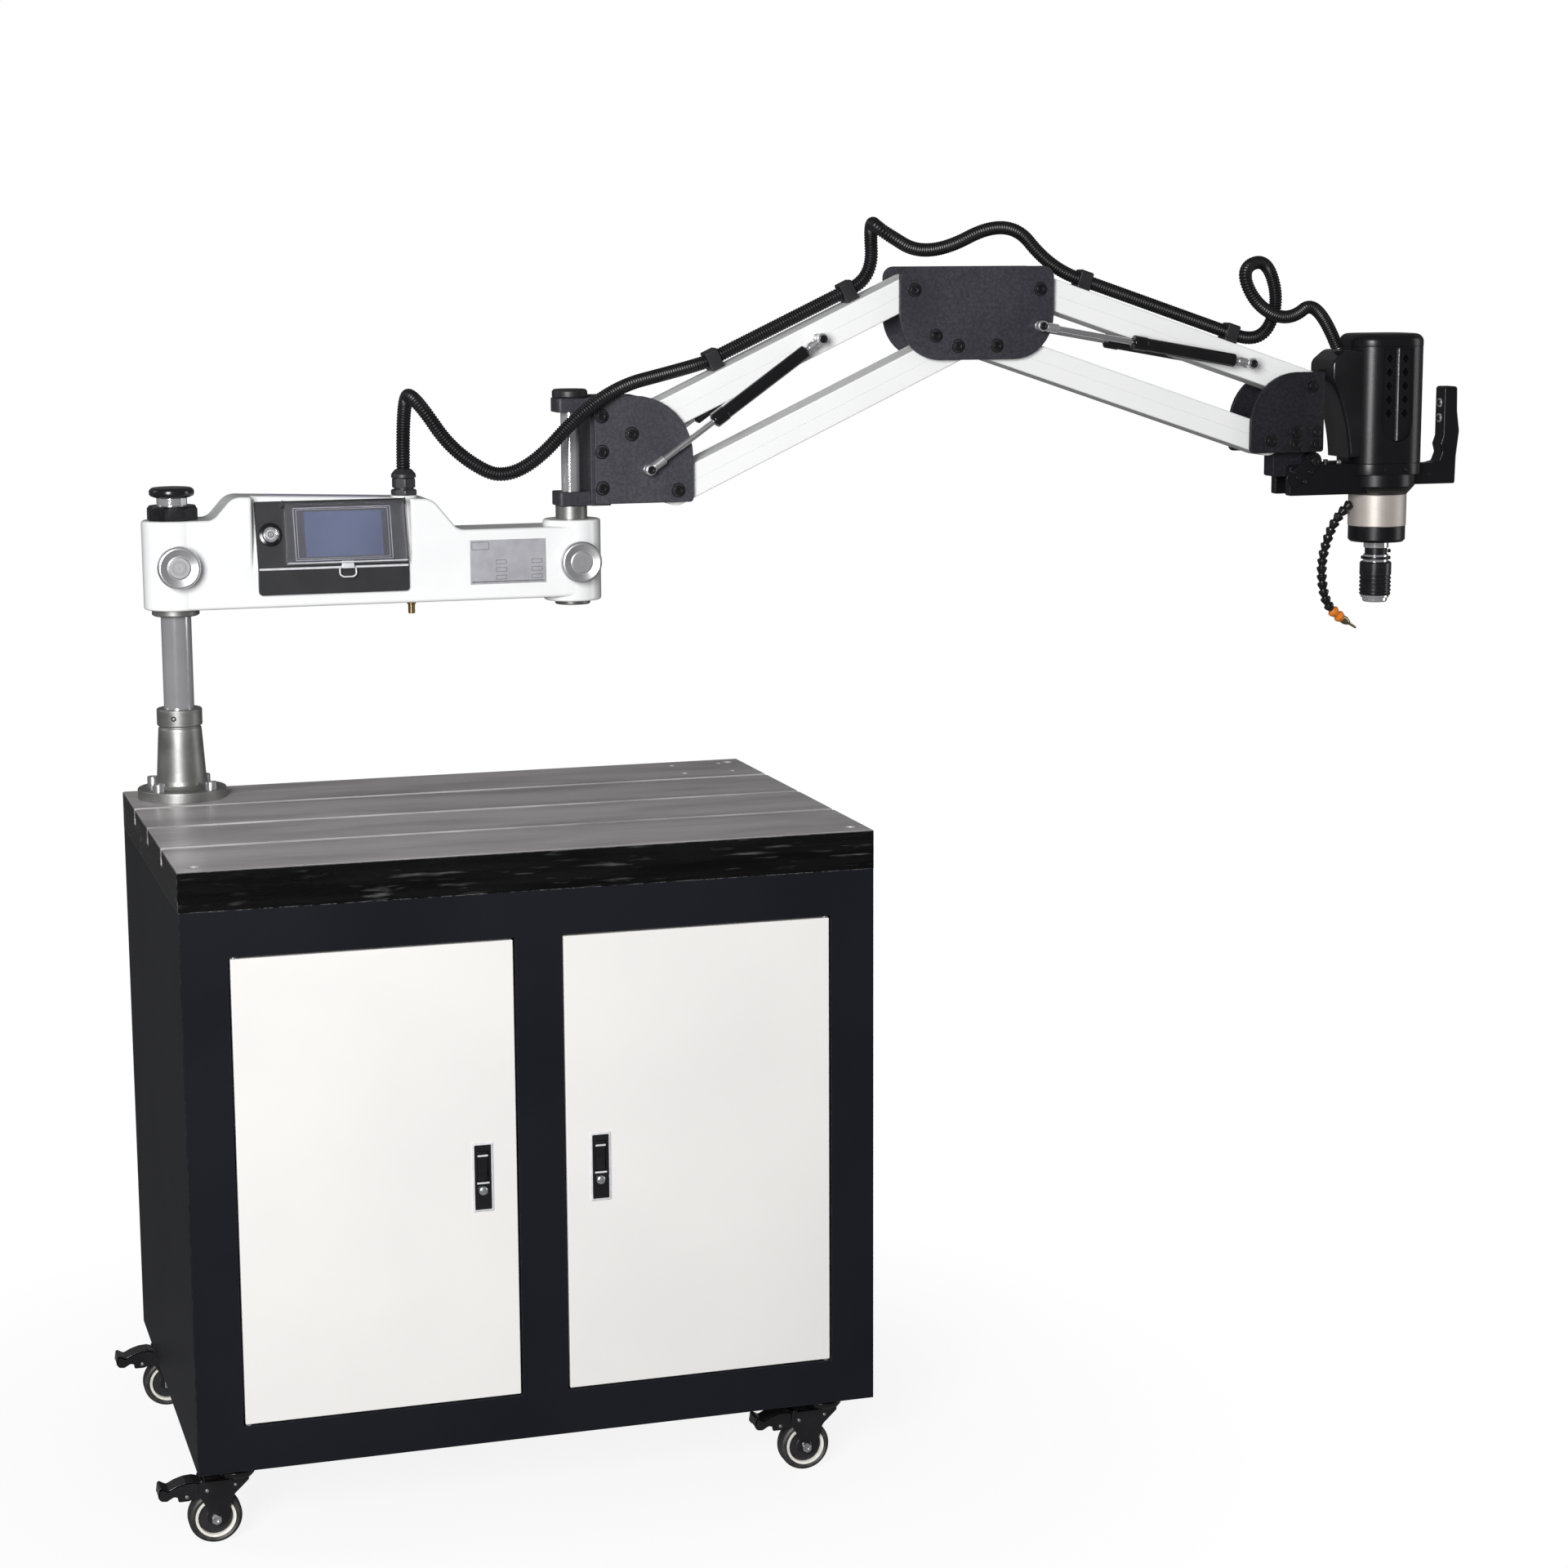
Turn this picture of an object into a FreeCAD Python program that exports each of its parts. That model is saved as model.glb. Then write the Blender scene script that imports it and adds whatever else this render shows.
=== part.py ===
"""Electric arm tapping machine on a wheeled cabinet: a swing arm on a column, two sprung
parallelogram arms and a tapping head.  All lengths are millimetres, +Z is up, +X runs along
the cabinet's front and -Y faces the operator.  The origin is on the floor under the middle
of the table.
"""

import FreeCAD, Part

import math
import os

V = FreeCAD.Vector
os.makedirs("parts", exist_ok=True)

# ------------------------------------------------------------------ driving dimensions
FIT = 0.05            # radial clearance of a pin or shaft that turns in its bore
OPEN_FIT = 0.3        # radial clearance at a linkage pivot that closes a loop
RUNNING = 0.3         # gap between faces that move past each other

CASTER_H = 120.0      # floor to cabinet floor
CABINET_H = 805.0
TABLE_W = 1000.0
TABLE_D = 692.0
TABLE_T = 57.0
SHEET = 3.0           # cabinet sheet
RAIL = 66.0           # width of the face frame round the doors
POST = 68.0           # width of the middle post
RETURN = 27.0         # depth of the folded edge round each door opening
DOOR_GAP = 2.5
DOOR_T = 20.0
DOOR_SHEET = 2.0
DOOR_PIVOT = 5.0      # hinge pin's distance from the door's outer edge and from its face
LATCH_W = 24.5
LATCH_H = 94.0
LATCH_DEPTH = 26.0
LATCH_X = 86.0        # from the cabinet's middle
LATCH_DROP = 466.0    # below the table's top
LEVER_W = 15.0
LEVER_H = 44.0
LATCH_BUTTON_R = 7.0

WHEEL_R = 38.0
WHEEL_W = 28.0
CASTER_INSET = 60.0   # swivel axis from the cabinet's sides
CASTER_TRAIL = 32.0   # axle behind the swivel axis
CASTER_PLATE_T = 4.0
AXLE_R = 5.0

SLOT_NECK = 14.0
SLOT_NECK_H = 13.0
SLOT_HEAD = 24.0
SLOT_HEAD_H = 11.0
SLOT_PITCH = 170.0
SLOT_SHIFT = 8.0      # middle slot behind the table's centre line

COLUMN_X = 83.0 - TABLE_W / 2     # column's axis, from the table's left end
COLUMN_Y = TABLE_D / 2 - 78.0     # and from its back
COLUMN_R = 23.0
COLUMN_WALL = 8.0
COLUMN_TOP = 462.0    # heights from here on are above the table's top
FLANGE_R = 67.5
FLANGE_T = 16.0
BASE_CONE_R = 39.0
BASE_TOP_R = 32.5
BASE_H = 112.0
COLLAR_R = 34.5
COLLAR_H = 27.0
BOLT_SQUARE = 79.0    # column flange's bolt square, and its twin at the table's other end
LOCK_NUT_FLAT = 36.5

ARM_BOTTOM = 292.0
ARM_LEFT_TOP = 428.0
ARM_RIGHT_BOTTOM = 284.0
ARM_RIGHT_TOP = 412.0
ARM_DECK = 403.0      # top of the arm's plain stretch
HOUSING_TOP = 463.0   # top of its control housing, at its left end
HOUSING_FALL = 11.0   # how far the housing's top slopes down to the right
ARM_HALF_W = 45.0
ARM_WALL = 8.0
COLUMN_BOSS_R = 47.5
SHAFT_BOSS_R = 45.5
SWING_LENGTH = 624.0  # column axis to second shaft
KNOB_R = 30.0
PANEL_X = (COLUMN_X + 121.0, COLUMN_X + 353.0)
PANEL_T = 6.0
PANEL_BOTTOM = 312.0
PANEL_CREASE = 352.0
PANEL_TOP = 452.0
PANEL_LEAN = 15.0     # degrees that the upper panel leans back
SCREEN_X = (PANEL_X[0] + 76.0, PANEL_X[0] + 216.0)
SCREEN_Z = (366.0, 436.0)
POWER_AT = (PANEL_X[0] + 22.0, 402.0)
POWER_R = 11.5
COVER_X = (PANEL_X[0] + 43.0, PANEL_X[1] - 3.0)

SHAFT_R = 15.0
SHAFT_TOP = 602.0
LUG_R = 26.0
LOWER_LUG = (433.0, 455.0)
UPPER_LUG = (579.5, 601.5)

LINK = 520.0          # pivot to pivot
LINK_HALF_H = 25.0
LINK_HALF_W = 32.0
LINK_WALL = 4.0
PIN_R = 7.0
PLATE_T = 8.0
PLATE_GAP = 72.0      # between the two plates of a pair
PIVOT_DX = 75.0       # second pivot from the first, sideways
PIVOT_DZ = 90.0       # and downwards
LOWER_REST = 25.0     # degrees that the lower arm rises
UPPER_REST = 18.5     # degrees that the upper arm falls
FIRST_PIVOT = (89.0, 545.0)   # from the second shaft's axis, and above the table
ELBOW_SPAN = 217.0    # between the elbow's two top pivots

SPRING_Y = 57.0       # gas springs' axes from the arm's middle plane
SPRING_R = 11.0
SPRING_BODY = 190.0
SPRING_EYE = 31.0     # eye to the start of the cylinder
SPRING_ROD_R = 5.0
LOWER_SPRING_AT = 342.0       # along the link from its lower pivot
UPPER_SPRING_AT = 394.0
LOWER_SPRING_FOOT = (26.0, -56.0)   # from the base's top pivot
UPPER_SPRING_FOOT = (-2.0, -59.0)   # from the elbow's right top pivot

TILT_FROM_END = (9.6, -125.8)       # head's tilt axis from the end plates' top pivot
SPINDLE_FROM_TILT = 140.0
YOKE_T = 17.0
YOKE_GAP = 37.0
YOKE_H = 52.0
COVER_HALF_W = 66.0
COVER_HALF_D = 60.0
COVER_CORNER = 45.0
COVER_BOTTOM = 448.0
COVER_TOP = 664.0
LID_H = 22.0
FAIRING_HALF_W = 43.0 # motor's side fairing, towards the arm
NECK_R = 62.0         # motor's lower collar
NECK_BOTTOM = 428.0
RING_R = 49.5
RING_TOP = 413.5
RING_BOTTOM = 359.0
SEAL_BOTTOM = 332.0
SPINDLE_R = 21.3
SLEEVE_R = 27.0
SLEEVE_TOP = 297.0
SLEEVE_BOTTOM = 235.0
SLEEVE_STROKE = 4.0
SPINDLE_BOTTOM = 227.6
TAP_BORE_R = 9.5
TAP_BORE_DEPTH = 30.0
SECTOR_LEAN = 38.0    # degrees that the index plate leans
GRIP_REACH = 115.0    # spindle's axis to the grip
GRIP_T = 25.0
GRIP_HALF_W = 16.0
GRIP_BUTTONS = (566.0, 540.0)
GRIP_BUTTON_R = 5.0
HOSE_R = 7.0
HOSE_ROUTE = [(-50.0, 398.0), (-72.0, 380.0), (-90.0, 349.0), (-104.0, 300.0), (-100.0, 250.0),
              (-86.0, 215.0), (-60.0, 199.0)]       # from the spindle's axis, and above the table

CONDUIT_R = 11.0
CONDUIT_LIFT = 42.0   # conduit's axis above a link's axis
LOWER_CLIPS = (179.0, 428.0)        # along the lower top link
UPPER_CLIPS = (83.0, 364.0)         # along the upper top link
CLIP_W = 22.0
ENTRY_FROM_SPINDLE = (-84.0, 664.0) # where the conduit enters the motor's fairing
HINGE_R = 3.0         # clear cover's hinge barrel
HINGE_PIN_R = 1.5
EAR_T = 2.4

# ------------------------------------------------------------------ what follows from them
TOP = CASTER_H + CABINET_H + TABLE_T          # table's working face
FRONT = -TABLE_D / 2
SHAFT_X = COLUMN_X + SWING_LENGTH
PLATE_IN = PLATE_GAP / 2
PLATE_OUT = PLATE_IN + PLATE_T
A1 = (SHAFT_X + FIRST_PIVOT[0], TOP + FIRST_PIVOT[1])
B1 = (A1[0] + PIVOT_DX, A1[1] - PIVOT_DZ)


def along(start, degrees, distance):
    """The point at that distance from start, in the arm's upright plane."""
    a = math.radians(degrees)
    return (start[0] + distance * math.cos(a), start[1] + distance * math.sin(a))


A2 = along(A1, LOWER_REST, LINK)
B2 = along(B1, LOWER_REST, LINK)
C1 = (A2[0] + ELBOW_SPAN, A2[1])
D1 = (C1[0] - PIVOT_DX, C1[1] - PIVOT_DZ)
C2 = along(C1, -UPPER_REST, LINK)
D2 = along(D1, -UPPER_REST, LINK)
LOWER_STUD = along(A1, LOWER_REST, LOWER_SPRING_AT)
LOWER_FOOT = (A1[0] + LOWER_SPRING_FOOT[0], A1[1] + LOWER_SPRING_FOOT[1])
UPPER_STUD = along(C1, -UPPER_REST, UPPER_SPRING_AT)
UPPER_FOOT = (C1[0] + UPPER_SPRING_FOOT[0], C1[1] + UPPER_SPRING_FOOT[1])
TILT = (C2[0] + TILT_FROM_END[0], C2[1] + TILT_FROM_END[1])
SPINDLE_X = TILT[0] + SPINDLE_FROM_TILT
GRIP_X0 = SPINDLE_X + GRIP_REACH
GRIP_X1 = GRIP_X0 + GRIP_T
LATCH_Z = TOP - LATCH_DROP
DOOR_IN = POST / 2 + DOOR_GAP
DOOR_OUT = TABLE_W / 2 - RAIL - DOOR_GAP
DOOR_BOTTOM = CASTER_H + RAIL + DOOR_GAP
DOOR_TOP = CASTER_H + CABINET_H - RAIL - DOOR_GAP
CASTER_X = TABLE_W / 2 - CASTER_INSET
CASTER_Y = TABLE_D / 2 - CASTER_INSET


# ------------------------------------------------------------------ forms
def box(x0, x1, y0, y1, z0, z1):
    return Part.makeBox(x1 - x0, y1 - y0, z1 - z0, V(x0, y0, z0))


def rod(radius, start, end):
    """A round bar between two points."""
    a = V(*start)
    b = V(*end)
    return Part.makeCylinder(radius, (b - a).Length, a, b - a)


def upright(radius, x, y, z0, z1):
    return rod(radius, (x, y, z0), (x, y, z1))


def across(radius, xz, y0, y1):
    """A round bar along Y, at an (x, z) point, with y counted from the arm's plane."""
    return rod(radius, (xz[0], COLUMN_Y + y0, xz[1]), (xz[0], COLUMN_Y + y1, xz[1]))


def outline(corners, place):
    """A closed wire through corners (a, b, radius), with each corner rounded by its radius.
    place turns (a, b) into a point of space."""
    edges = []
    count = len(corners)
    ends = []
    for i in range(count):
        before = V(*corners[i - 1][:2], 0)
        here = V(*corners[i][:2], 0)
        after = V(*corners[(i + 1) % count][:2], 0)
        radius = corners[i][2]
        u = (before - here).normalize()
        w = (after - here).normalize()
        if radius <= 0:
            ends.append((here, here, here))
            continue
        half = u.getAngle(w) / 2
        reach = radius / math.tan(half)
        middle = here + (u + w).normalize() * (radius / math.sin(half) - radius)
        ends.append((here + u * reach, middle, here + w * reach))
    for i, (first, middle, last) in enumerate(ends):
        if first != last:
            arc = Part.Arc(place(first), place(middle), place(last))
            edges.append(arc.toShape())
        start = place(last)
        stop = place(ends[(i + 1) % count][0])
        if (stop - start).Length > 1e-6:
            edges.append(Part.LineSegment(start, stop).toShape())
    return Part.Wire(edges)


def side_profile(corners, y0, y1):
    """A slab whose outline lies in the XZ plane, between two y counted from the arm's plane."""
    wire = outline(corners, lambda p: V(p.x, COLUMN_Y + y0, p.y))
    return Part.Face(wire).extrude(V(0, y1 - y0, 0))


def end_profile(corners, x0, x1):
    """A slab whose outline (y, z) lies across X."""
    wire = outline(corners, lambda p: V(x0, p.x, p.y))
    return Part.Face(wire).extrude(V(x1 - x0, 0, 0))


def plan_profile(corners, z0, z1):
    wire = outline(corners, lambda p: V(p.x, p.y, z0))
    return Part.Face(wire).extrude(V(0, 0, z1 - z0))


def rectangle(x0, x1, y0, y1, radius):
    return [(x0, y0, radius), (x1, y0, radius), (x1, y1, radius), (x0, y1, radius)]


def turned(profile, x, y):
    """A body of revolution round a vertical axis; profile is a closed list of (r, z)."""
    points = [V(x + r, y, z) for r, z in profile]
    face = Part.Face(Part.makePolygon(points + points[:1]))
    return face.revolve(V(x, y, 0), V(0, 0, 1), 360)


def turned_along(profile, start, direction):
    """A body of revolution round any axis; profile is a closed list of (r, distance)."""
    points = [V(r, 0, z) for r, z in profile]
    face = Part.Face(Part.makePolygon(points + points[:1]))
    solid = face.revolve(V(0, 0, 0), V(0, 0, 1), 360)
    turn = FreeCAD.Rotation(V(0, 0, 1), V(*direction))
    solid.Placement = FreeCAD.Placement(V(*start), turn)
    return solid


def join(shapes):
    shapes = list(shapes)
    return shapes[0].fuse(shapes[1:]).removeSplitter() if len(shapes) > 1 else shapes[0]


def mirrored_pair(shape):
    """The shape and its twin on the other side of the arm's plane."""
    return [shape, shape.mirror(V(0, COLUMN_Y, 0), V(0, 1, 0))]


def socket_screw(radius, height, at, direction, key):
    """A socket head with a hexagon recess; at is the middle of its seat."""
    axis = V(*direction)
    head = Part.makeCylinder(radius, height, V(*at), axis)
    points = [V(key * math.cos(math.radians(a)), key * math.sin(math.radians(a)), 0)
              for a in range(0, 361, 60)]
    recess = Part.Face(Part.makePolygon(points)).extrude(V(0, 0, height))
    turn = FreeCAD.Rotation(V(0, 0, 1), axis)
    recess.Placement = FreeCAD.Placement(V(*at) + axis * (height * 0.45), turn)
    return head.cut(recess)


def side_screws(points, radius, height, face=None):
    """Socket screws on both outer faces of a plate pair, at (x, z) points."""
    seat = PLATE_OUT if face is None else face
    heads = []
    for x, z in points:
        for side in (-1, 1):
            at = (x, COLUMN_Y + side * seat, z)
            heads.append(socket_screw(radius, height, at, (0, side, 0), radius * 0.5))
    return heads


def bent_tube(points, radius):
    """A tube through points: straight runs joined by tangent arcs, as large as the runs allow."""
    route = [V(*p) for p in points]
    edges = []
    radii = []
    last = route[0]
    for i in range(1, len(route) - 1):
        u = route[i - 1] - route[i]
        w = route[i + 1] - route[i]
        run = min(u.Length, w.Length) * 0.45
        u.normalize()
        w.normalize()
        half = u.getAngle(w) / 2
        bend = run * math.tan(half)
        first = route[i] + u * run
        final = route[i] + w * run
        middle = route[i] + (u + w).normalize() * (bend / math.sin(half) - bend)
        edges.append(Part.LineSegment(last, first).toShape())
        edges.append(Part.Arc(first, middle, final).toShape())
        radii.append(round(bend))
        last = final
    edges.append(Part.LineSegment(last, route[-1]).toShape())
    path = Part.Wire(edges)
    start = Part.Circle(route[0], route[1] - route[0], radius).toShape()
    tube = path.makePipeShell([Part.Wire([start])], True, True)
    expected = math.pi * radius ** 2 * path.Length
    print("  tube length %.0f, radii %s, volume ratio %.4f" % (path.Length, radii, tube.Volume / expected))
    return tube


def save(name, *shapes):
    """Writes one node: every solid of the given shapes, in one STEP file."""
    solids = []
    for shape in shapes:
        solids += shape if isinstance(shape, list) else [shape]
    flat = []
    for shape in solids:
        flat += shape.Solids
    body = flat[0] if len(flat) == 1 else Part.Compound(flat)
    valid = all(s.isValid() for s in flat)
    print("%-26s solids %2d volume %12.1f%s" % (name, len(flat), body.Volume, "" if valid else "  INVALID"))
    body.exportStep("parts/%s.step" % name)


# ------------------------------------------------------------------ cabinet and doors
def door_opening(side, grow=0.0):
    """The x and z limits of a door opening; side is -1 at the left."""
    inner = POST / 2 - grow
    outer = TABLE_W / 2 - RAIL + grow
    x0, x1 = sorted((side * inner, side * outer))
    return x0, x1, CASTER_H + RAIL - grow, CASTER_H + CABINET_H - RAIL + grow


def hinge_xy(side):
    return side * (DOOR_OUT - DOOR_PIVOT), FRONT + DOOR_PIVOT


def cabinet():
    """Folded sheet shell with a face frame, and a return flange round each door opening."""
    half = TABLE_W / 2
    z1 = CASTER_H + CABINET_H
    shell = box(-half, half, FRONT, -FRONT, CASTER_H, z1)
    shell = shell.cut(box(-half + SHEET, half - SHEET, FRONT + SHEET, -FRONT - SHEET,
                          CASTER_H + SHEET, z1 - SHEET))
    pin_r = 3.0 + FIT
    for side in (-1, 1):
        x0, x1, z0, z2 = door_opening(side)
        g0, g1, h0, h1 = door_opening(side, SHEET)
        ring = box(g0, g1, FRONT + SHEET, FRONT + RETURN, h0, h1)
        shell = shell.fuse(ring)
        shell = shell.cut(box(x0, x1, FRONT - 1, FRONT + RETURN + 1, z0, z2))
        px, py = hinge_xy(side)
        shell = shell.cut(upright(pin_r, px, py, z0 - SHEET - 3, z2 + SHEET + 3))
    return shell.removeSplitter()


def door(side):
    """A folded pan, its pivot pins and the housing of its flush latch."""
    x0, x1 = sorted((side * DOOR_IN, side * DOOR_OUT))
    y1 = FRONT + DOOR_T
    pan = box(x0, x1, FRONT, y1, DOOR_BOTTOM, DOOR_TOP)
    pan = pan.cut(box(x0 + DOOR_SHEET, x1 - DOOR_SHEET, FRONT + DOOR_SHEET, y1 + 1,
                      DOOR_BOTTOM + DOOR_SHEET, DOOR_TOP - DOOR_SHEET))
    lx, lz = latch_centre(side)
    pan = pan.cut(box(lx - LATCH_W / 2, lx + LATCH_W / 2, FRONT - 1, FRONT + DOOR_SHEET + 1,
                      lz - LATCH_H / 2, lz + LATCH_H / 2))
    px, py = hinge_xy(side)
    pins = []
    for z, way in ((DOOR_BOTTOM, -1), (DOOR_TOP, 1)):
        shoulder = upright(4.5, px, py, *sorted((z, z + way * (DOOR_GAP - RUNNING))))
        pin = upright(3.0, px, py, *sorted((z + way * (DOOR_GAP - RUNNING), z + way * 7.0)))
        pins.append(join([shoulder, pin]))
    return [pan] + pins


def latch_centre(side):
    return side * LATCH_X, LATCH_Z


def latch_lever_box(side, grow):
    lx, lz = latch_centre(side)
    return (lx - LEVER_W / 2 - grow, lx + LEVER_W / 2 + grow,
            lz - 6.0 - grow, lz - 6.0 + LEVER_H + grow)


def lever_hinge(side):
    """The (y, z) of the lever's hinge axis."""
    return FRONT + 3.7, latch_lever_box(side, 0.0)[3] - 4.3


def latch_button_z(side):
    return latch_centre(side)[1] - 20.0


def latch_housing(side):
    """A flush frame 1.2 mm proud of the door, hollowed for its lever and button."""
    lx, lz = latch_centre(side)
    rim = 1.2
    body = box(lx - LATCH_W / 2 + 0.1, lx + LATCH_W / 2 - 0.1, FRONT, FRONT + LATCH_DEPTH,
               lz - LATCH_H / 2 + 0.1, lz + LATCH_H / 2 - 0.1)
    bezel = box(lx - LATCH_W / 2 - rim, lx + LATCH_W / 2 + rim, FRONT - rim, FRONT,
                lz - LATCH_H / 2 - rim, lz + LATCH_H / 2 + rim)
    body = body.fuse(bezel)
    x0, x1, z0, z1 = latch_lever_box(side, 0.4)
    body = body.cut(box(x0, x1, FRONT - 5, FRONT + 14, z0, z1))
    hole = rod(LATCH_BUTTON_R + 0.2, (lx, FRONT - 5, latch_button_z(side)),
               (lx, FRONT + 18, latch_button_z(side)))
    tongue = box(lx - side * 3 - 3, lx - side * 3 + 3, FRONT + LATCH_DEPTH, FRONT + LATCH_DEPTH + 3,
                 lz - 20, lz + 20)
    return body.cut(hole).fuse(tongue).removeSplitter()


def latch_lever(side):
    """The pull lever, hinged in its rounded top, with a finger scoop."""
    x0, x1, z0, z1 = latch_lever_box(side, 0.0)
    y, z = lever_hinge(side)
    half = y - (FRONT - 0.6)
    lever = box(x0, x1, y - half, y + half, z0, z)
    lever = lever.fuse(rod(half, (x0, y, z), (x1, y, z))).removeSplitter()
    scoop = rod(9.0, (x0 - 1, FRONT - 6.5, z0 + 9), (x1 + 1, FRONT - 6.5, z0 + 9))
    return lever.cut(scoop)


def latch_button(side):
    lx = latch_centre(side)[0]
    z = latch_button_z(side)
    profile = [(0, 0), (4.6, 0), (LATCH_BUTTON_R - 0.6, 0.6), (LATCH_BUTTON_R, 1.6),
               (LATCH_BUTTON_R, 13), (0, 13)]
    return turned_along(profile, (lx, FRONT - 3.4, z), (0, 1, 0))


# ------------------------------------------------------------------ casters
def caster_places():
    return {"front_left": (-1, -1), "front_right": (1, -1),
            "back_left": (-1, 1), "back_right": (1, 1)}


def caster_axes(sx, sy):
    """Swivel (x, y), axle (x, z) and pedal pivot (x, z); every wheel trails to the left."""
    x = sx * CASTER_X
    y = sy * CASTER_Y
    return (x, y), (x - CASTER_TRAIL, WHEEL_R), (x - CASTER_TRAIL - 12, WHEEL_R + 44)


def caster_plates():
    """Mounting plates with the upper race of each swivel, and their hexagon screws."""
    solids = []
    for sx, sy in caster_places().values():
        (x, y), _, _ = caster_axes(sx, sy)
        plate = plan_profile(rectangle(x - 46, x + 46, y - 32, y + 32, 6),
                             CASTER_H - CASTER_PLATE_T, CASTER_H)
        race = turned([(0, CASTER_H - 14), (20, CASTER_H - 14), (27, CASTER_H - CASTER_PLATE_T),
                       (0, CASTER_H - CASTER_PLATE_T)], x, y)
        king_pin = upright(6.0, x, y, CASTER_H - 30, CASTER_H - 14)
        solids.append(join([plate, race, king_pin]))
        for dx in (-36, 36):
            for dy in (-22, 22):
                solids.append(upright(5.5, x + dx, y + dy, CASTER_H - CASTER_PLATE_T - 5,
                                      CASTER_H - CASTER_PLATE_T))
    return solids


def caster_fork(sx, sy):
    """Pressed crown with two cheeks that carry the axle."""
    (x, y), (ax, az), (px, pz) = caster_axes(sx, sy)
    crown_z = CASTER_H - 14 - RUNNING
    cheek_y = WHEEL_W / 2 + 2.5
    crown = turned([(6.0 + FIT, crown_z - 12), (22, crown_z - 12), (27, crown_z - 6), (27, crown_z),
                    (6.0 + FIT, crown_z)], x, y)
    deck = box(ax - 16, x + 10, y - cheek_y - 3, y + cheek_y + 3, crown_z - 12, crown_z - 8)
    deck = deck.cut(upright(20, x, y, 0, crown_z + 1))
    corners = [(x + 22, crown_z - 8, 4), (x - 6, crown_z - 34, 12), (ax + 12, az - 9, 9),
               (ax - 10, az - 9, 9), (ax - 12, az + 16, 8), (px - 12, pz - 6, 5),
               (px - 10, crown_z - 8, 4)]
    solids = [crown, deck]
    for side in (-1, 1):
        y0 = cheek_y if side > 0 else -cheek_y - 3
        wire = outline(corners, lambda p: V(p.x, y + y0, p.y))
        cheek = Part.Face(wire).extrude(V(0, 3, 0))
        solids.append(cheek)
    fork = join(solids)
    fork = fork.cut(rod(AXLE_R, (ax, y - 40, az), (ax, y + 40, az)))
    axle = rod(AXLE_R, (ax, y - cheek_y - 3, az), (ax, y + cheek_y + 3, az))
    nuts = [rod(7.5, (ax, y + s * (cheek_y + 3), az), (ax, y + s * (cheek_y + 7), az)) for s in (-1, 1)]
    pin = rod(3.0, (px, y - cheek_y - 4.5, pz), (px, y + cheek_y + 4.5, pz))
    fork = fork.cut(rod(3.0, (px, y - 40, pz), (px, y + 40, pz)))
    return [fork, join([axle] + nuts), pin]


def caster_wheel(sx, sy):
    """A tyre on a rim whose web is dished between hub and tyre."""
    (x, y), (ax, az), _ = caster_axes(sx, sy)
    half = WHEEL_W / 2
    tyre = turned_along([(29, -half + 2), (34, -half), (36.5, -half + 2), (WHEEL_R, -half + 6),
                         (WHEEL_R, half - 6), (36.5, half - 2), (34, half), (29, half - 2)],
                        (ax, y, az), (0, 1, 0))
    rim = turned_along([(AXLE_R + FIT, -half - 1.5), (11, -half - 1.5), (12, -half + 5), (25, -half + 5),
                        (26.5, -half), (29, -half), (29, half), (26.5, half), (25, half - 5),
                        (12, half - 5), (11, half + 1.5), (AXLE_R + FIT, half + 1.5)],
                       (ax, y, az), (0, 1, 0))
    return [tyre, rim]


def brake_pedal(sx, sy):
    """A lever over the wheel, hooked up at its toe, with a shoe that drops on the tyre."""
    (x, y), (ax, az), (px, pz) = caster_axes(sx, sy)
    half = WHEEL_W / 2 + 1.5
    toe = ax - 82
    corners = [(px + 12, pz + 5, 2), (px - 12, pz + 6, 3), (toe + 12, pz + 13, 4), (toe, pz + 21, 2),
               (toe - 3, pz + 17, 2), (toe + 7, pz + 8, 4), (px - 12, pz - 3, 3), (px + 12, pz - 3, 2)]
    wire = outline(corners, lambda p: V(p.x, y - half, p.y))
    pedal = Part.Face(wire).extrude(V(0, 2 * half, 0))
    ear = rod(5.0, (px, y - half, pz), (px, y + half, pz))
    pedal = pedal.fuse(ear)
    pedal = pedal.cut(rod(3.0 + FIT, (px, y - 40, pz), (px, y + 40, pz)))
    return pedal.removeSplitter()


# ------------------------------------------------------------------ table and column
def t_slot_table():
    """Ground cast iron plate with three T-slots and a second bolt square for the column."""
    half = TABLE_W / 2
    plate = box(-half, half, FRONT, -FRONT, TOP - TABLE_T, TOP)
    edges = [e for e in plate.Edges if abs(e.BoundBox.ZMin - TOP) < 1e-6 and e.BoundBox.ZLength < 1e-6]
    plate = plate.makeChamfer(1.5, edges)
    neck_z = TOP - SLOT_NECK_H
    for i in (-1, 0, 1):
        y = SLOT_SHIFT + i * SLOT_PITCH
        neck = box(-half - 1, half + 1, y - SLOT_NECK / 2, y + SLOT_NECK / 2, neck_z - 1, TOP + 1)
        head = box(-half - 1, half + 1, y - SLOT_HEAD / 2, y + SLOT_HEAD / 2, neck_z - SLOT_HEAD_H, neck_z)
        plate = plate.cut(neck).cut(head)
    for sx in (-1, 1):
        for sy in (-1, 1):
            x = -COLUMN_X + sx * BOLT_SQUARE / 2
            y = COLUMN_Y + sy * BOLT_SQUARE / 2
            plate = plate.cut(upright(5.1, x, y, TOP - 28, TOP + 1))
    for x, y in corner_screws():
        plate = plate.cut(upright(8.0, x, y, TOP - 8, TOP + 1))
        plate = plate.cut(upright(5.0, x, y, TOP - TABLE_T - 1, TOP))
    return plate


def corner_screws():
    """Counterbored screws at the table's corners; the column's foot takes the fourth."""
    x = TABLE_W / 2 - 26
    y = TABLE_D / 2 - 32
    return [(-x, -y), (x, -y), (x, y)]


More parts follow.
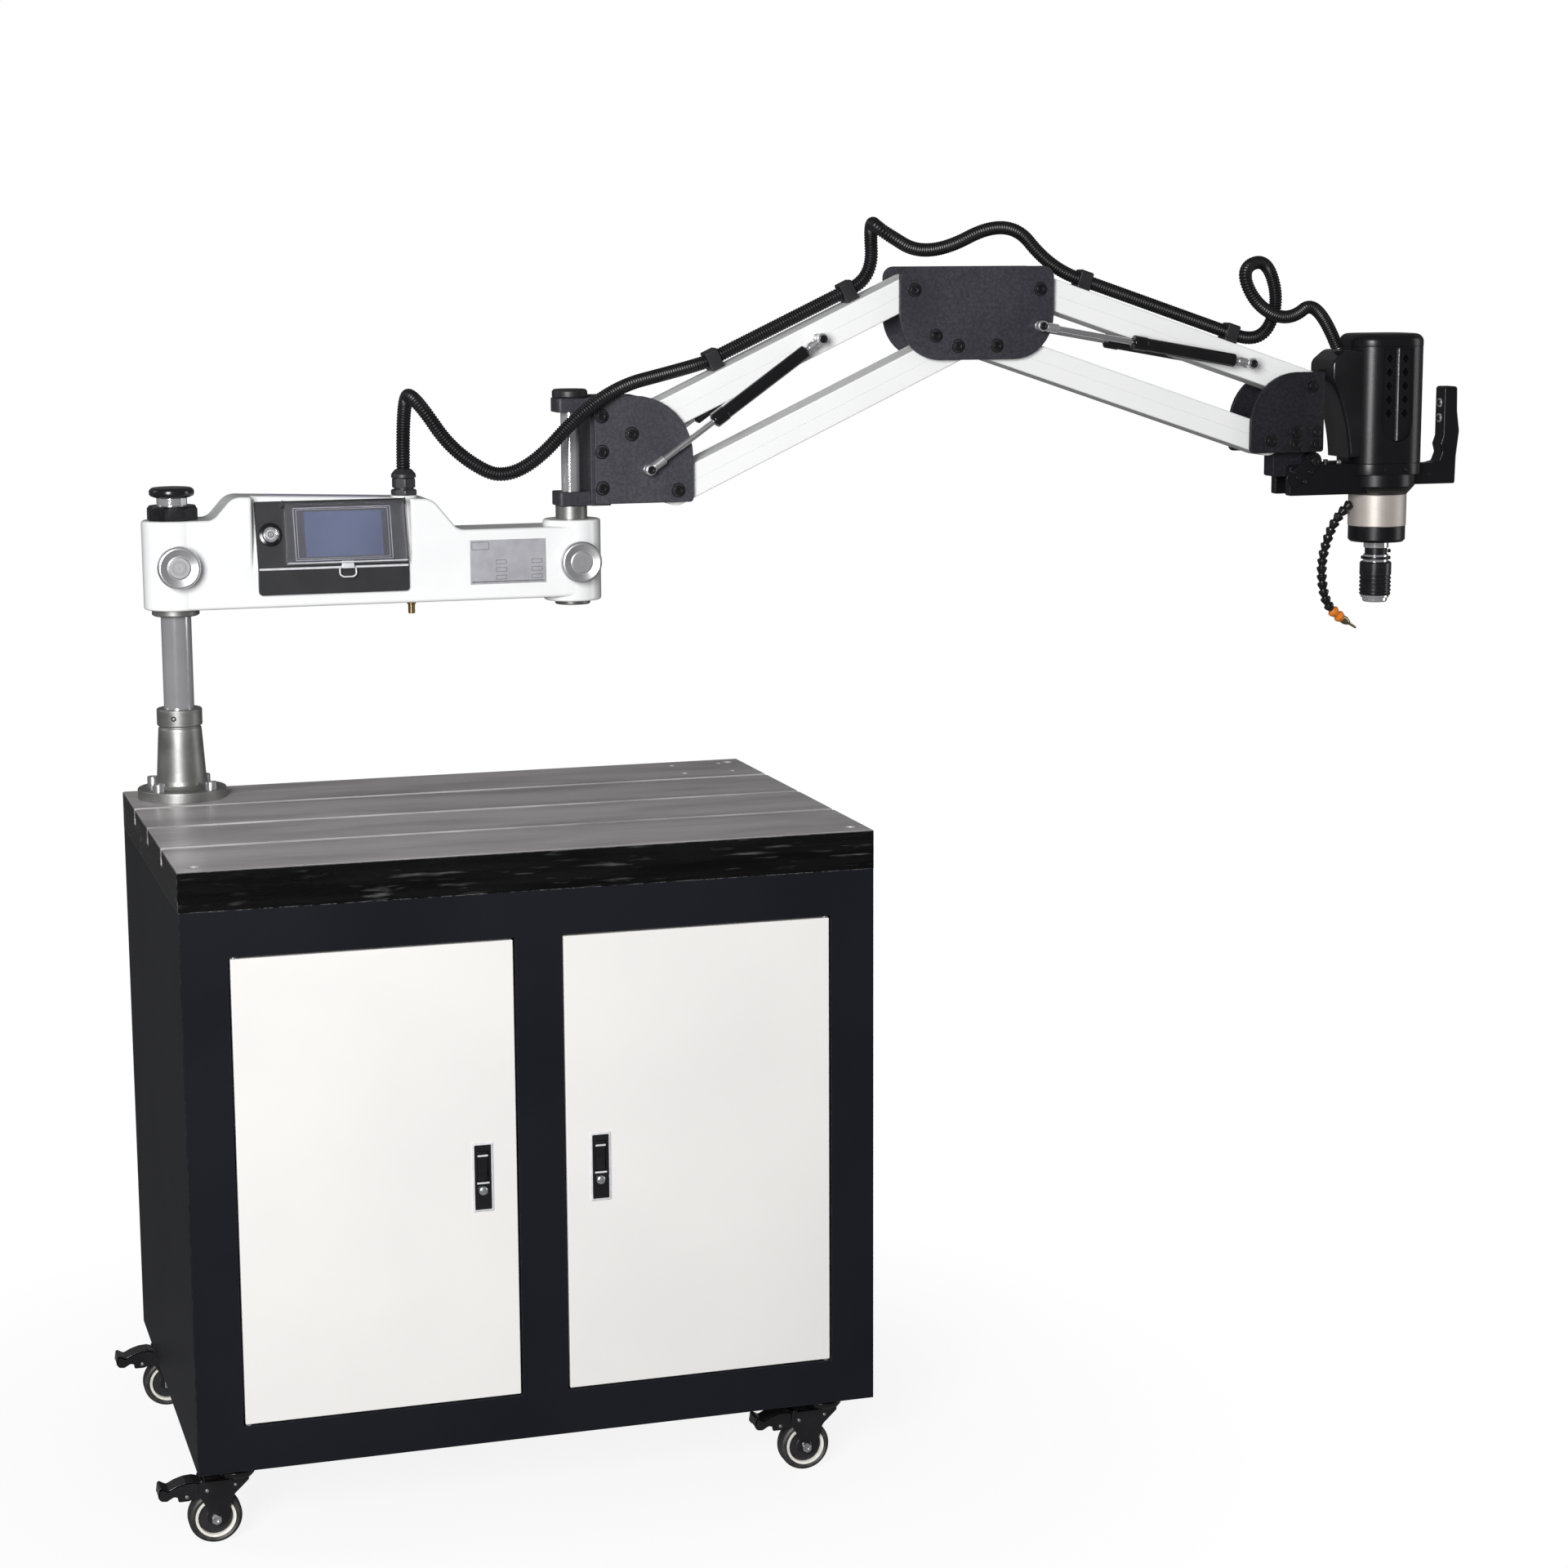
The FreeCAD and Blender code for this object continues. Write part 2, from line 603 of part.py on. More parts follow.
def column_base():
    """Turned foot: flange, taper and split collar, with four socket screws."""
    r = COLUMN_R
    foot = turned([(r, TOP), (FLANGE_R, TOP), (FLANGE_R, TOP + FLANGE_T - 2), (FLANGE_R - 2, TOP + FLANGE_T),
                   (BASE_CONE_R + 5, TOP + FLANGE_T), (BASE_CONE_R + 1, TOP + FLANGE_T + 2),
                   (BASE_CONE_R - 1, TOP + FLANGE_T + 7), (BASE_TOP_R, TOP + BASE_H), (r, TOP + BASE_H)],
                  COLUMN_X, COLUMN_Y)
    z0 = TOP + BASE_H
    z1 = z0 + COLLAR_H
    collar = turned([(r, z0), (COLLAR_R - 1.5, z0), (COLLAR_R, z0 + 1.5), (COLLAR_R, z1 - 1.5),
                     (COLLAR_R - 1.5, z1), (r, z1)], COLUMN_X, COLUMN_Y)
    z = TOP + BASE_H + COLLAR_H / 2
    collar = collar.cut(rod(4.0, (COLUMN_X - 14, COLUMN_Y, z), (COLUMN_X - 14, COLUMN_Y - 50, z)))
    ring_z = TOP + ARM_BOTTOM - RUNNING
    thrust = turned([(r, ring_z - 10), (33, ring_z - 10), (36, ring_z - 8), (36, ring_z), (r, ring_z)],
                    COLUMN_X, COLUMN_Y)
    screws = []
    for sx in (-1, 1):
        for sy in (-1, 1):
            at = (COLUMN_X + sx * BOLT_SQUARE / 2, COLUMN_Y + sy * BOLT_SQUARE / 2, TOP + FLANGE_T)
            screws.append(socket_screw(9.0, 12.0, at, (0, 0, 1), 5.0))
    for x, y in corner_screws():
        screws.append(socket_screw(7.8, 6.0, (x, y, TOP - 8), (0, 0, 1), 3.5))
    return [foot, collar, thrust] + screws


def column():
    outer = upright(COLUMN_R, COLUMN_X, COLUMN_Y, TOP, TOP + COLUMN_TOP)
    bore = upright(COLUMN_R - COLUMN_WALL, COLUMN_X, COLUMN_Y, TOP - 1, TOP + COLUMN_TOP - 30)
    thread = upright(8.0 + FIT, COLUMN_X, COLUMN_Y, TOP, TOP + COLUMN_TOP + 1)
    return outer.cut(bore).cut(thread)


def column_lock_nut():
    """Octagonal ring on the column above the arm."""
    z0 = TOP + ARM_LEFT_TOP + RUNNING
    r = LOCK_NUT_FLAT / math.cos(math.radians(22.5))
    turns = [math.radians(22.5 + a) for a in range(0, 361, 45)]
    points = [V(COLUMN_X + r * math.cos(a), COLUMN_Y + r * math.sin(a), z0) for a in turns]
    nut = Part.Face(Part.makePolygon(points)).extrude(V(0, 0, 21.5))
    cone = turned([(0, z0), (LOCK_NUT_FLAT + 0.6, z0), (LOCK_NUT_FLAT + 3.2, z0 + 2.5),
                   (LOCK_NUT_FLAT + 3.2, z0 + 17), (LOCK_NUT_FLAT - 1.5, z0 + 21.5), (0, z0 + 21.5)],
                  COLUMN_X, COLUMN_Y)
    return nut.common(cone).cut(upright(COLUMN_R, COLUMN_X, COLUMN_Y, z0 - 1, z0 + 30))


def column_cap_knob():
    """Mushroom knob on a stem that screws into the column's top."""
    z = TOP + COLUMN_TOP
    return turned([(0, z - 26), (8, z - 26), (8, z), (27, z + RUNNING), (33, z + 3), (34, z + 6),
                   (34, z + 11), (30, z + 15), (10, z + 16.5), (0, z + 16.5)], COLUMN_X, COLUMN_Y)


# ------------------------------------------------------------------ swing arm
def lean(height):
    """How far back from the arm's front face the leaning panel's seat lies, at that height."""
    return (height - PANEL_CREASE) * math.tan(math.radians(PANEL_LEAN))


def swing_arm():
    """Casting: two bored bosses, a beam, and a control housing with a leaning front seat."""
    z = TOP
    right = COLUMN_X + 449
    corners = [(COLUMN_X, z + ARM_BOTTOM, 0), (SHAFT_X, z + ARM_BOTTOM, 0), (SHAFT_X, z + ARM_DECK, 0),
               (right - 5, z + ARM_DECK, 26), (right - 52, z + HOUSING_TOP - HOUSING_FALL, 26),
               (COLUMN_X + 92, z + HOUSING_TOP, 28), (COLUMN_X + 62, z + ARM_LEFT_TOP, 22),
               (COLUMN_X, z + ARM_LEFT_TOP, 0)]
    beam = side_profile(corners, -ARM_HALF_W, ARM_HALF_W)
    edges = [e for e in beam.Edges if e.BoundBox.YLength < 1e-6 and e.BoundBox.XLength > 1
             and e.BoundBox.ZMax < z + HOUSING_TOP + 1]
    beam = beam.makeFillet(5.0, edges)
    left = upright(COLUMN_BOSS_R, COLUMN_X, COLUMN_Y, z + ARM_BOTTOM, z + ARM_LEFT_TOP)
    left = left.makeFillet(4.0, [e for e in left.Edges if e.BoundBox.ZLength < 1e-6])
    far = upright(SHAFT_BOSS_R, SHAFT_X, COLUMN_Y, z + ARM_RIGHT_BOTTOM, z + ARM_RIGHT_TOP)
    far = far.makeFillet(4.0, [e for e in far.Edges if e.BoundBox.ZLength < 1e-6])
    boss = upright(20, gland_x(), COLUMN_Y, z + HOUSING_TOP - 23, z + gland_seat())
    arm = beam.fuse([left, far, boss])
    floor = z + ARM_BOTTOM + ARM_WALL
    roof = z + HOUSING_TOP - ARM_WALL
    deck = z + ARM_DECK - ARM_WALL
    shoulder = z + ARM_LEFT_TOP - ARM_WALL
    inside = [(COLUMN_X + 62, floor, 0), (SHAFT_X - 62, floor, 0), (SHAFT_X - 62, deck, 0),
              (right - 20, deck, 10), (right - 66, roof - HOUSING_FALL, 10), (COLUMN_X + 110, roof - 2, 10),
              (COLUMN_X + 76, shoulder, 10), (COLUMN_X + 62, shoulder, 0)]
    nearest = -ARM_HALF_W + ARM_WALL + lean(PANEL_TOP)
    arm = arm.cut(side_profile(inside, nearest, ARM_HALF_W - ARM_WALL))
    x0, x1 = PANEL_X
    front = COLUMN_Y - ARM_HALF_W
    seat = end_profile([(front - 1, z + PANEL_BOTTOM, 0), (front, z + PANEL_BOTTOM, 0),
                        (front, z + PANEL_CREASE, 0), (front + lean(PANEL_TOP + 14), z + PANEL_TOP + 14, 0),
                        (front - 1, z + PANEL_TOP + 14, 0)], x0 - 6, x1 + 6)
    arm = arm.cut(seat)
    arm = arm.cut(upright(COLUMN_R + FIT, COLUMN_X, COLUMN_Y, z + 200, z + 500))
    arm = arm.cut(upright(SHAFT_R, SHAFT_X, COLUMN_Y, z + 200, z + 500))
    for x, height in knob_places():
        arm = arm.cut(across(6.0 + FIT, (x, height), -80, -10))
    return arm


def knob_places():
    return (COLUMN_X, TOP + 360.0), (SHAFT_X, TOP + 348.0)


def clamp_knob(place, boss_r, shaft_r):
    """Domed disc on a neck, with the clamping screw that reaches the shaft."""
    x, height = place
    seat = COLUMN_Y - boss_r - RUNNING - 1.2
    profile = [(0, 0), (13, 0), (13, 5), (KNOB_R - 3, 7), (KNOB_R, 10), (KNOB_R, 18), (KNOB_R - 3, 21),
               (22, 22.5), (20.5, 22), (0, 22)]
    disc = turned_along(profile, (x, seat, height), (0, -1, 0))
    stem = rod(6.0, (x, seat, height), (x, COLUMN_Y - shaft_r - RUNNING, height))
    return join([disc, stem])


def panel_point(x, height, out):
    a = math.radians(PANEL_LEAN)
    front = COLUMN_Y - ARM_HALF_W
    return (x, front + lean(height) - out * math.cos(a), TOP + height + out * math.sin(a))


def leaning_box(x0, x1, low, high, near, far):
    """A block on the leaning panel: heights along the panel, near and far square to it."""
    turns = ((low, near), (low, far), (high, far), (high, near))
    return end_profile([panel_point(0, h, o)[1:] + (0,) for h, o in turns], x0, x1)


def control_panel():
    """Bent bezel with the touch screen and the hole of the power switch."""
    x0, x1 = PANEL_X
    z = TOP
    front = COLUMN_Y - ARM_HALF_W
    lower = end_profile([(front, z + PANEL_BOTTOM, 0), (front - PANEL_T, z + PANEL_BOTTOM, 2),
                         (front - PANEL_T, z + PANEL_CREASE, 0), (front, z + PANEL_CREASE, 0)], x0, x1)
    upper = leaning_box(x0, x1, PANEL_CREASE, PANEL_TOP, 0, PANEL_T)
    wedge = end_profile([(front, z + PANEL_CREASE, 0), (front - PANEL_T, z + PANEL_CREASE, 0),
                         panel_point(0, PANEL_CREASE, PANEL_T)[1:] + (0,)], x0, x1)
    bezel = lower.fuse([upper, wedge]).removeSplitter()
    bezel = bezel.cut(rod(POWER_R + 0.2, panel_point(*POWER_AT, 0.5), panel_point(*POWER_AT, 12)))
    x, y, z = cover_hinge()
    for ear_x in (COVER_X[0] - RUNNING - EAR_T, COVER_X[1] + RUNNING):
        ear = leaning_box(ear_x, ear_x + EAR_T, PANEL_TOP - 11, PANEL_TOP - 1, 0, PANEL_T + RUNNING + 10)
        bezel = bezel.fuse(ear)
    bezel = bezel.cut(rod(HINGE_PIN_R + FIT, (x0, y, z), (x1, y, z))).removeSplitter()
    screen = leaning_box(SCREEN_X[0], SCREEN_X[1], SCREEN_Z[0], SCREEN_Z[1], PANEL_T, PANEL_T + 1.5)
    return [bezel, screen]


def power_button():
    """Metal push switch that travels along the panel's normal."""
    start = panel_point(*POWER_AT, 3.5)
    direction = V(*panel_point(*POWER_AT, 4.5)) - V(*start)
    profile = [(0, 0), (POWER_R, 0), (POWER_R, 4.5), (POWER_R - 1, 5.5), (0, 5.5)]
    return turned_along(profile, start, tuple(direction))


def panel_cover():
    """Clear tray over the screen, hinged along its top edge, with its snap latch below."""
    x0, x1 = COVER_X
    near = PANEL_T + RUNNING
    far = near + 13.0
    wall = 2.5
    tray = leaning_box(x0, x1, PANEL_CREASE + 3, PANEL_TOP - 5, near, far)
    tray = tray.cut(leaning_box(x0 + wall, x1 - wall, PANEL_CREASE + 3 + wall, PANEL_TOP - 5 - wall,
                                near - 1, far - wall))
    _, y, z = cover_hinge()
    barrel = rod(HINGE_R, (x0, y, z), (x1, y, z))
    pin = rod(HINGE_PIN_R, (x0 - RUNNING - EAR_T, y, z), (x1 + RUNNING + EAR_T, y, z))
    tray = join([tray, barrel, pin])
    mid = (x0 + x1) / 2
    tab = leaning_box(mid - 13, mid + 13, PANEL_CREASE - 9, PANEL_CREASE + 3, near + 6.5, near + 9.5)
    return [tray, tab]


def cover_hinge():
    return panel_point(0, PANEL_TOP - 5, PANEL_T + RUNNING + 6)


def arm_fittings():
    """Conduit gland on the housing and the brass drain under the arm."""
    x = gland_x()
    z = TOP + gland_seat()
    hexagon = [V(x + 19 * math.cos(math.radians(a)), COLUMN_Y + 19 * math.sin(math.radians(a)), z)
               for a in range(0, 361, 60)]
    nut = Part.Face(Part.makePolygon(hexagon)).extrude(V(0, 0, 12))
    dome = turned([(0, z + 12), (17, z + 12), (17, z + 30), (14, z + 40), (0, z + 40)], x, COLUMN_Y)
    gland = nut.fuse(dome).removeSplitter()
    low = TOP + ARM_BOTTOM
    drain = turned([(0, low), (7, low), (7, low - 6), (5, low - 7), (5, low - 13), (0, low - 13)],
                   x + 8, COLUMN_Y)
    return [gland, drain]


def gland_x():
    return COLUMN_X + 357.0


def gland_seat():
    """Height of the gland's boss, just proud of the housing's sloping top."""
    return HOUSING_TOP - HOUSING_FALL + 4


def pivot_shaft():
    """Second shaft: bottom ring, shaft, thrust collar and cap."""
    x = SHAFT_X
    z = TOP
    shaft = upright(SHAFT_R, x, COLUMN_Y, z + ARM_RIGHT_BOTTOM - 7, z + SHAFT_TOP + 1)
    low = z + ARM_RIGHT_BOTTOM
    ring = turned([(SHAFT_R, low - 7), (27, low - 7), (28, low - 6), (28, low), (SHAFT_R, low)], x, COLUMN_Y)
    seat = z + ARM_RIGHT_TOP
    top = z + LOWER_LUG[0] - RUNNING
    collar = turned([(SHAFT_R, seat), (25, seat), (25, top), (SHAFT_R, top)], x, COLUMN_Y)
    cap_z = z + UPPER_LUG[1] + RUNNING
    end = z + SHAFT_TOP + 1
    cap = turned([(SHAFT_R, cap_z), (27, cap_z), (28, cap_z + 2), (28, cap_z + 11), (26, cap_z + 13.5),
                  (0, cap_z + 13.5), (0, end), (SHAFT_R, end)], x, COLUMN_Y)
    return [shaft, ring, collar, cap]


# ------------------------------------------------------------------ arm base
def base_bracket():
    """Two lugs on the shaft and the spine that the side plates bolt to."""
    x = SHAFT_X
    z = TOP
    spine = box(x + 19, x + 56, COLUMN_Y - PLATE_IN, COLUMN_Y + PLATE_IN, z + LOWER_LUG[0], z + UPPER_LUG[1])
    lugs = []
    for z0, z1 in (LOWER_LUG, UPPER_LUG):
        lug = upright(LUG_R, x, COLUMN_Y, z + z0, z + z1)
        lug = lug.fuse(box(x, x + 25, COLUMN_Y - LUG_R, COLUMN_Y + LUG_R, z + z0, z + z1))
        lugs.append(lug)
    bracket = join([spine] + lugs)
    bracket = bracket.cut(upright(SHAFT_R + FIT, x, COLUMN_Y, z, z + 700))
    window = side_profile([(x + 15, z + LOWER_LUG[1] + 8, 0), (x + 28, z + LOWER_LUG[1] + 8, 0),
                           (x + 28, z + UPPER_LUG[0] - 8, 0), (x + 15, z + UPPER_LUG[0] - 8, 0)], -60, 60)
    return bracket.cut(window)


def pivot_pins(points):
    """A pin through both plates at each (x, z), with a washer each side of the link."""
    solids = []
    for xz in points:
        pin = across(PIN_R, xz, -PLATE_OUT, PLATE_OUT)
        solids.append(pin)
        for side in (-1, 1):
            y0, y1 = sorted((side * PLATE_IN, side * (LINK_HALF_W + RUNNING)))
            washer = across(14.0, xz, y0, y1).cut(across(PIN_R, xz, y0 - 1, y1 + 1))
            solids.append(washer)
    return solids


def plate_pair(corners, holes):
    plate = side_profile(corners, PLATE_IN, PLATE_OUT)
    for xz in holes:
        plate = plate.cut(across(PIN_R, xz, PLATE_IN - 1, PLATE_OUT + 1))
    outer = [e for e in plate.Edges if e.BoundBox.YLength < 1e-6
             and abs(e.BoundBox.YMin - COLUMN_Y - PLATE_OUT) < 1e-6 and not round_hole(e)]
    return mirrored_pair(plate.makeChamfer(1.0, outer))


def round_hole(edge):
    return isinstance(edge.Curve, Part.Circle) and abs(edge.Curve.Radius - PIN_R) < 1e-6


def base_plates():
    x0 = SHAFT_X + 29.5
    x1 = A1[0] + 100
    z0 = A1[1] - 109
    z1 = A1[1] + 59.7
    plates = plate_pair([(x0, z0, 5), (x1, z0, 6), (x1, z1, 96), (x0, z1, 6)], [A1, B1])
    screws = side_screws([(SHAFT_X + 40.5, TOP + h) for h in (574.0, 518.0, 461.0)] + [A1, B1], 8.0, 5.0)
    return plates + pivot_pins([A1, B1]) + screws


# ------------------------------------------------------------------ links
def link(start, degrees, far_clearance, stud_at=None):
    """A box link with solid rounded ends, bored for its pins, and the spring studs it carries."""
    h = LINK_HALF_H
    w = LINK_HALF_W
    corners = [(-h, -h, h - 0.01), (LINK + h, -h, h - 0.01), (LINK + h, h, h - 0.01), (-h, h, h - 0.01)]
    wire = outline(corners, lambda p: V(p.x, -w, p.y))
    body = Part.Face(wire).extrude(V(0, 2 * w, 0))
    body = body.cut(box(h + 15, LINK - h - 15, -w + LINK_WALL, w - LINK_WALL, -h + LINK_WALL, h - LINK_WALL))
    body = body.cut(rod(PIN_R + FIT, (0, -w - 1, 0), (0, w + 1, 0)))
    body = body.cut(rod(PIN_R + far_clearance, (LINK, -w - 1, 0), (LINK, w + 1, 0)))
    solids = [body]
    if stud_at is not None:
        for side in (-1, 1):
            y0, y1 = sorted((side * w, side * (SPRING_Y + 7)))
            solids.append(rod(5.0, (stud_at, y0, 0), (stud_at, y1, 0)))
    turn = FreeCAD.Rotation(V(0, -1, 0), degrees)
    place = FreeCAD.Placement(V(start[0], COLUMN_Y, start[1]), turn)
    for solid in solids:
        solid.Placement = place
    return solids


# ------------------------------------------------------------------ gas springs
def spring_place(stud, foot):
    """Placement whose +X runs from the stud on the link to the foot on the plate."""
    dx = foot[0] - stud[0]
    dz = foot[1] - stud[1]
    turn = FreeCAD.Rotation(V(0, -1, 0), math.degrees(math.atan2(dz, dx)))
    return FreeCAD.Placement(V(stud[0], COLUMN_Y, stud[1]), turn), math.hypot(dx, dz)


def eye(x, y, bore):
    ring = rod(9.0, (x, y - 6, 0), (x, y + 6, 0))
    return ring.cut(rod(bore, (x, y - 7, 0), (x, y + 7, 0))) if bore else ring


def gas_cylinders(stud, foot):
    place, _ = spring_place(stud, foot)
    solids = []
    for side in (-1, 1):
        y = side * SPRING_Y
        tube = rod(SPRING_R, (SPRING_EYE, y, 0), (SPRING_EYE + SPRING_BODY, y, 0))
        shank = rod(5.0, (8, y, 0), (SPRING_EYE, y, 0))
        body = join([eye(0, y, 0), shank, tube])
        body = body.cut(rod(5.0 + FIT, (0, y - 8, 0), (0, y + 8, 0)))
        body = body.cut(rod(SPRING_ROD_R + FIT, (SPRING_EYE + 8, y, 0), (SPRING_EYE + SPRING_BODY + 1, y, 0)))
        body.Placement = place
        solids.append(body)
    return solids


def gas_rods(stud, foot):
    """Rod, end fitting and the ball stud that stands just off the plate."""
    place, length = spring_place(stud, foot)
    solids = []
    for side in (-1, 1):
        y = side * SPRING_Y
        bar = rod(SPRING_ROD_R, (SPRING_EYE + 52, y, 0), (length, y, 0))
        fitting = rod(7.5, (length - 28, y, 0), (length - 7, y, 0))
        stud_y = sorted((side * (PLATE_OUT + RUNNING), side * (SPRING_Y + 8)))
        ball = rod(5.0, (length, stud_y[0], 0), (length, stud_y[1], 0))
        seat = sorted((side * (PLATE_OUT + RUNNING), side * (PLATE_OUT + 3)))
        base = rod(8.0, (length, seat[0], 0), (length, seat[1], 0))
        body = join([bar, fitting, eye(length, y, 0), ball, base])
        body.Placement = place
        solids.append(body)
    return solids


# ------------------------------------------------------------------ elbow and end plates
def elbow_plates():
    x0 = A2[0] - 24.6
    x1 = C1[0] + 23.7
    z0 = A2[1] - 112.3
    z1 = A2[1] + 37.2
    pivots = [A2, B2, C1, D1]
    plates = plate_pair([(x0, z0, 70), (x1, z0, 70), (x1, z1, 18), (x0, z1, 18)], pivots)
    stop = (A2[0] + 36.6, A2[1] - 73.0)
    return plates + pivot_pins(pivots) + side_screws(pivots + [stop], 8.0, 5.0)


def end_screw_places():
    x = C2[0] - 29.0
    z = C2[1] - 77.0
    return [(x + dx, z + dz) for dx in (0.0, 39.0) for dz in (0.0, -20.5)]


def end_plates():
    x0 = C2[0] - 112.4
    x1 = C2[0] + 22.6
    z0 = C2[1] - 110.0
    z1 = C2[1] + 24.0
    pivots = [C2, D2]
    plates = plate_pair([(x0, z0, 9), (x1, z0, 5), (x1, z1, 5), (x0, z1, 85)], pivots)
    return plates + pivot_pins(pivots) + side_screws(pivots + end_screw_places(), 8.0, 5.0) + [hanger()]


def hanger():
    """Block between the end plates whose lower tongue carries the head's tilt pin."""
    x0 = TILT[0] - 49
    x1 = TILT[0] + 11
    z0 = TILT[1] + 20
    upper = box(x0, x1, COLUMN_Y - PLATE_IN, COLUMN_Y + PLATE_IN, z0, z0 + 38)
    half = YOKE_GAP / 2 - RUNNING - 0.2
    tongue = side_profile([(TILT[0] - 67, TILT[1] - 26, 4), (TILT[0] + 13, TILT[1] - 26, 8),
                           (TILT[0] + 13, z0, 0), (TILT[0] - 67, z0, 4)], -half, half)
    block = upper.fuse(tongue).removeSplitter()
    return block.cut(across(PIN_R + FIT, TILT, -60, 60))


# ------------------------------------------------------------------ tapping head
def head_yoke():
    """Two side bars from the tilt pin to the motor's collar, and the indexed sector plate."""
    inner = YOKE_GAP / 2
    outer = inner + YOKE_T
    z0 = TILT[1] - 58
    z1 = z0 + YOKE_H
    bar = side_profile([(TILT[0] - 44, z0, 3), (SPINDLE_X, z0, 0), (SPINDLE_X, z1, 0), (TILT[0] - 44, z1, 8)],
                       inner, outer)
    bar = bar.fuse(across(15.0, TILT, inner, outer))
    bar = bar.cut(motor_collar_envelope(0.0)).cut(cover_envelope(0.0))
    bars = mirrored_pair(bar.removeSplitter())
    a = math.radians(SECTOR_LEAN)
    sector = []
    for u, w, r in ((-62, -14, 13), (12.5, -12.5, 12.4), (12.5, 12.5, 12.4), (-62, 14, 13)):
        sector.append((TILT[0] + u * math.cos(a) - w * math.sin(a),
                       TILT[1] + u * math.sin(a) + w * math.cos(a), r))
    plate = side_profile(sector, -outer - 5, -outer)
    slot = [(TILT[0] - 42, TILT[1] - 20), (TILT[0] - 37, TILT[1] - 12)]
    for xz in slot:
        plate = plate.cut(across(4.0, xz, -outer - 6, -outer + 1))
    pin = across(PIN_R, TILT, -outer - 5, outer)
    plate = plate.cut(across(PIN_R, TILT, -outer - 6, -outer + 1))
    bars = [b.cut(across(PIN_R, TILT, -80, 80)) for b in bars]
    heads = [socket_screw(8.0, 5.0, (TILT[0], COLUMN_Y - outer - 5, TILT[1]), (0, -1, 0), 4.0)]
    for dx, dz in ((-9, -18), (-32, -27), (-19, -34)):
        at = (TILT[0] + dx, COLUMN_Y - outer - 5, TILT[1] + dz)
        heads.append(socket_screw(4.0, 3.0, at, (0, -1, 0), 2.0))
    return bars + [plate, pin] + heads


def motor_collar_envelope(grow):
    x, y = SPINDLE_X, COLUMN_Y
    return turned([(0, TOP + RING_TOP), (RING_R + grow, TOP + RING_TOP), (NECK_R + grow, TOP + NECK_BOTTOM),
                   (NECK_R + grow, TOP + COVER_BOTTOM), (0, TOP + COVER_BOTTOM)], x, y)


def cover_envelope(grow):
    x, y = SPINDLE_X, COLUMN_Y
    w = COVER_HALF_W + grow
    d = COVER_HALF_D + grow
    return plan_profile(rectangle(x - w, x + w, y - d, y + d, COVER_CORNER + grow),
                        TOP + COVER_BOTTOM, TOP + COVER_TOP)


def motor_housing():
    """Lower collar with its cone, the side fairing by the arm, and the dark ring under the torque ring."""
    x = SPINDLE_X
    z = TOP
    collar = motor_collar_envelope(0.0)
    seal = turned([(SPINDLE_R + RUNNING, z + SEAL_BOTTOM), (45, z + SEAL_BOTTOM), (48.5, z + SEAL_BOTTOM + 4),
                   (48.5, z + RING_BOTTOM), (0, z + RING_BOTTOM), (0, z + SEAL_BOTTOM + 12),
                   (SPINDLE_R + RUNNING, z + SEAL_BOTTOM + 12)], x, COLUMN_Y)
    y = COLUMN_Y - FAIRING_HALF_W
    start = V(x - 112, y, z + 620)
    waist = V(x - 84, y, z + 548)
    points = [V(x - 76, y, z + 478), V(x, y, z + 478), V(x, y, z + 659), V(x - 84, y, z + 659), start]
    loop = [Part.Arc(start, waist, points[0]).toShape()]
    for a, b in zip(points, points[1:]):
        loop.append(Part.LineSegment(a, b).toShape())
    fairing = Part.Face(Part.Wire(loop)).extrude(V(0, 2 * FAIRING_HALF_W, 0))
    fairing = fairing.cut(cover_envelope(0.0))
    return [collar, seal] + fairing.Solids


def motor_cover():
    """Rounded hood with a domed lid and a U-shaped recess: centre ridge and two rows of vents."""
    x, y = SPINDLE_X, COLUMN_Y
    z = TOP
    hood = cover_envelope(0.0)
    w = COVER_HALF_W + 1.0
    d = COVER_HALF_D + 1.0
    lid = plan_profile(rectangle(x - w, x + w, y - d, y + d, COVER_CORNER + 1), z + COVER_TOP,
                       z + COVER_TOP + LID_H)
    top_edges = [e for e in lid.Edges if abs(e.BoundBox.ZMin - z - COVER_TOP - LID_H) < 1e-6]
    lid = lid.makeFillet(13.0, top_edges)
    hood = hood.fuse(lid)
    front = y - COVER_HALF_D
    corners = [(x - 26, z + 504, 26), (x + 32, z + 504, 26), (x + 32, z + 700, 0), (x - 26, z + 700, 0)]
    recess = side_profile(corners, -COVER_HALF_D - 5, -COVER_HALF_D + 5)
    hood = hood.cut(recess)
    ridge = box(x + 2.2, x + 3.8, front + 1.5, front + 5, z + 506, z + COVER_TOP)
    hood = hood.fuse(ridge)
    hood = hood.cut(box(x - 40, x + 40, y - 40, y + 40, z + COVER_BOTTOM - 1, z + COVER_TOP - 20))
    for row in range(5):
        height = z + 552 + row * 23
        for dx in (-12, 18):
            middle = x + dx
            diamond = [(middle, height - 6.5, 0), (middle + 4, height, 0), (middle, height + 6.5, 0),
                       (middle - 4, height, 0)]
            hood = hood.cut(side_profile(diamond, -COVER_HALF_D, -COVER_HALF_D + 12))
    return hood


def torque_ring():
    x, y = SPINDLE_X, COLUMN_Y
    z0 = TOP + RING_BOTTOM
    z1 = TOP + RING_TOP
    r = RING_R
    return turned([(0, z0), (r - 1, z0), (r, z0 + 1), (r, z1 - 1), (r - 1, z1), (0, z1)], x, y)


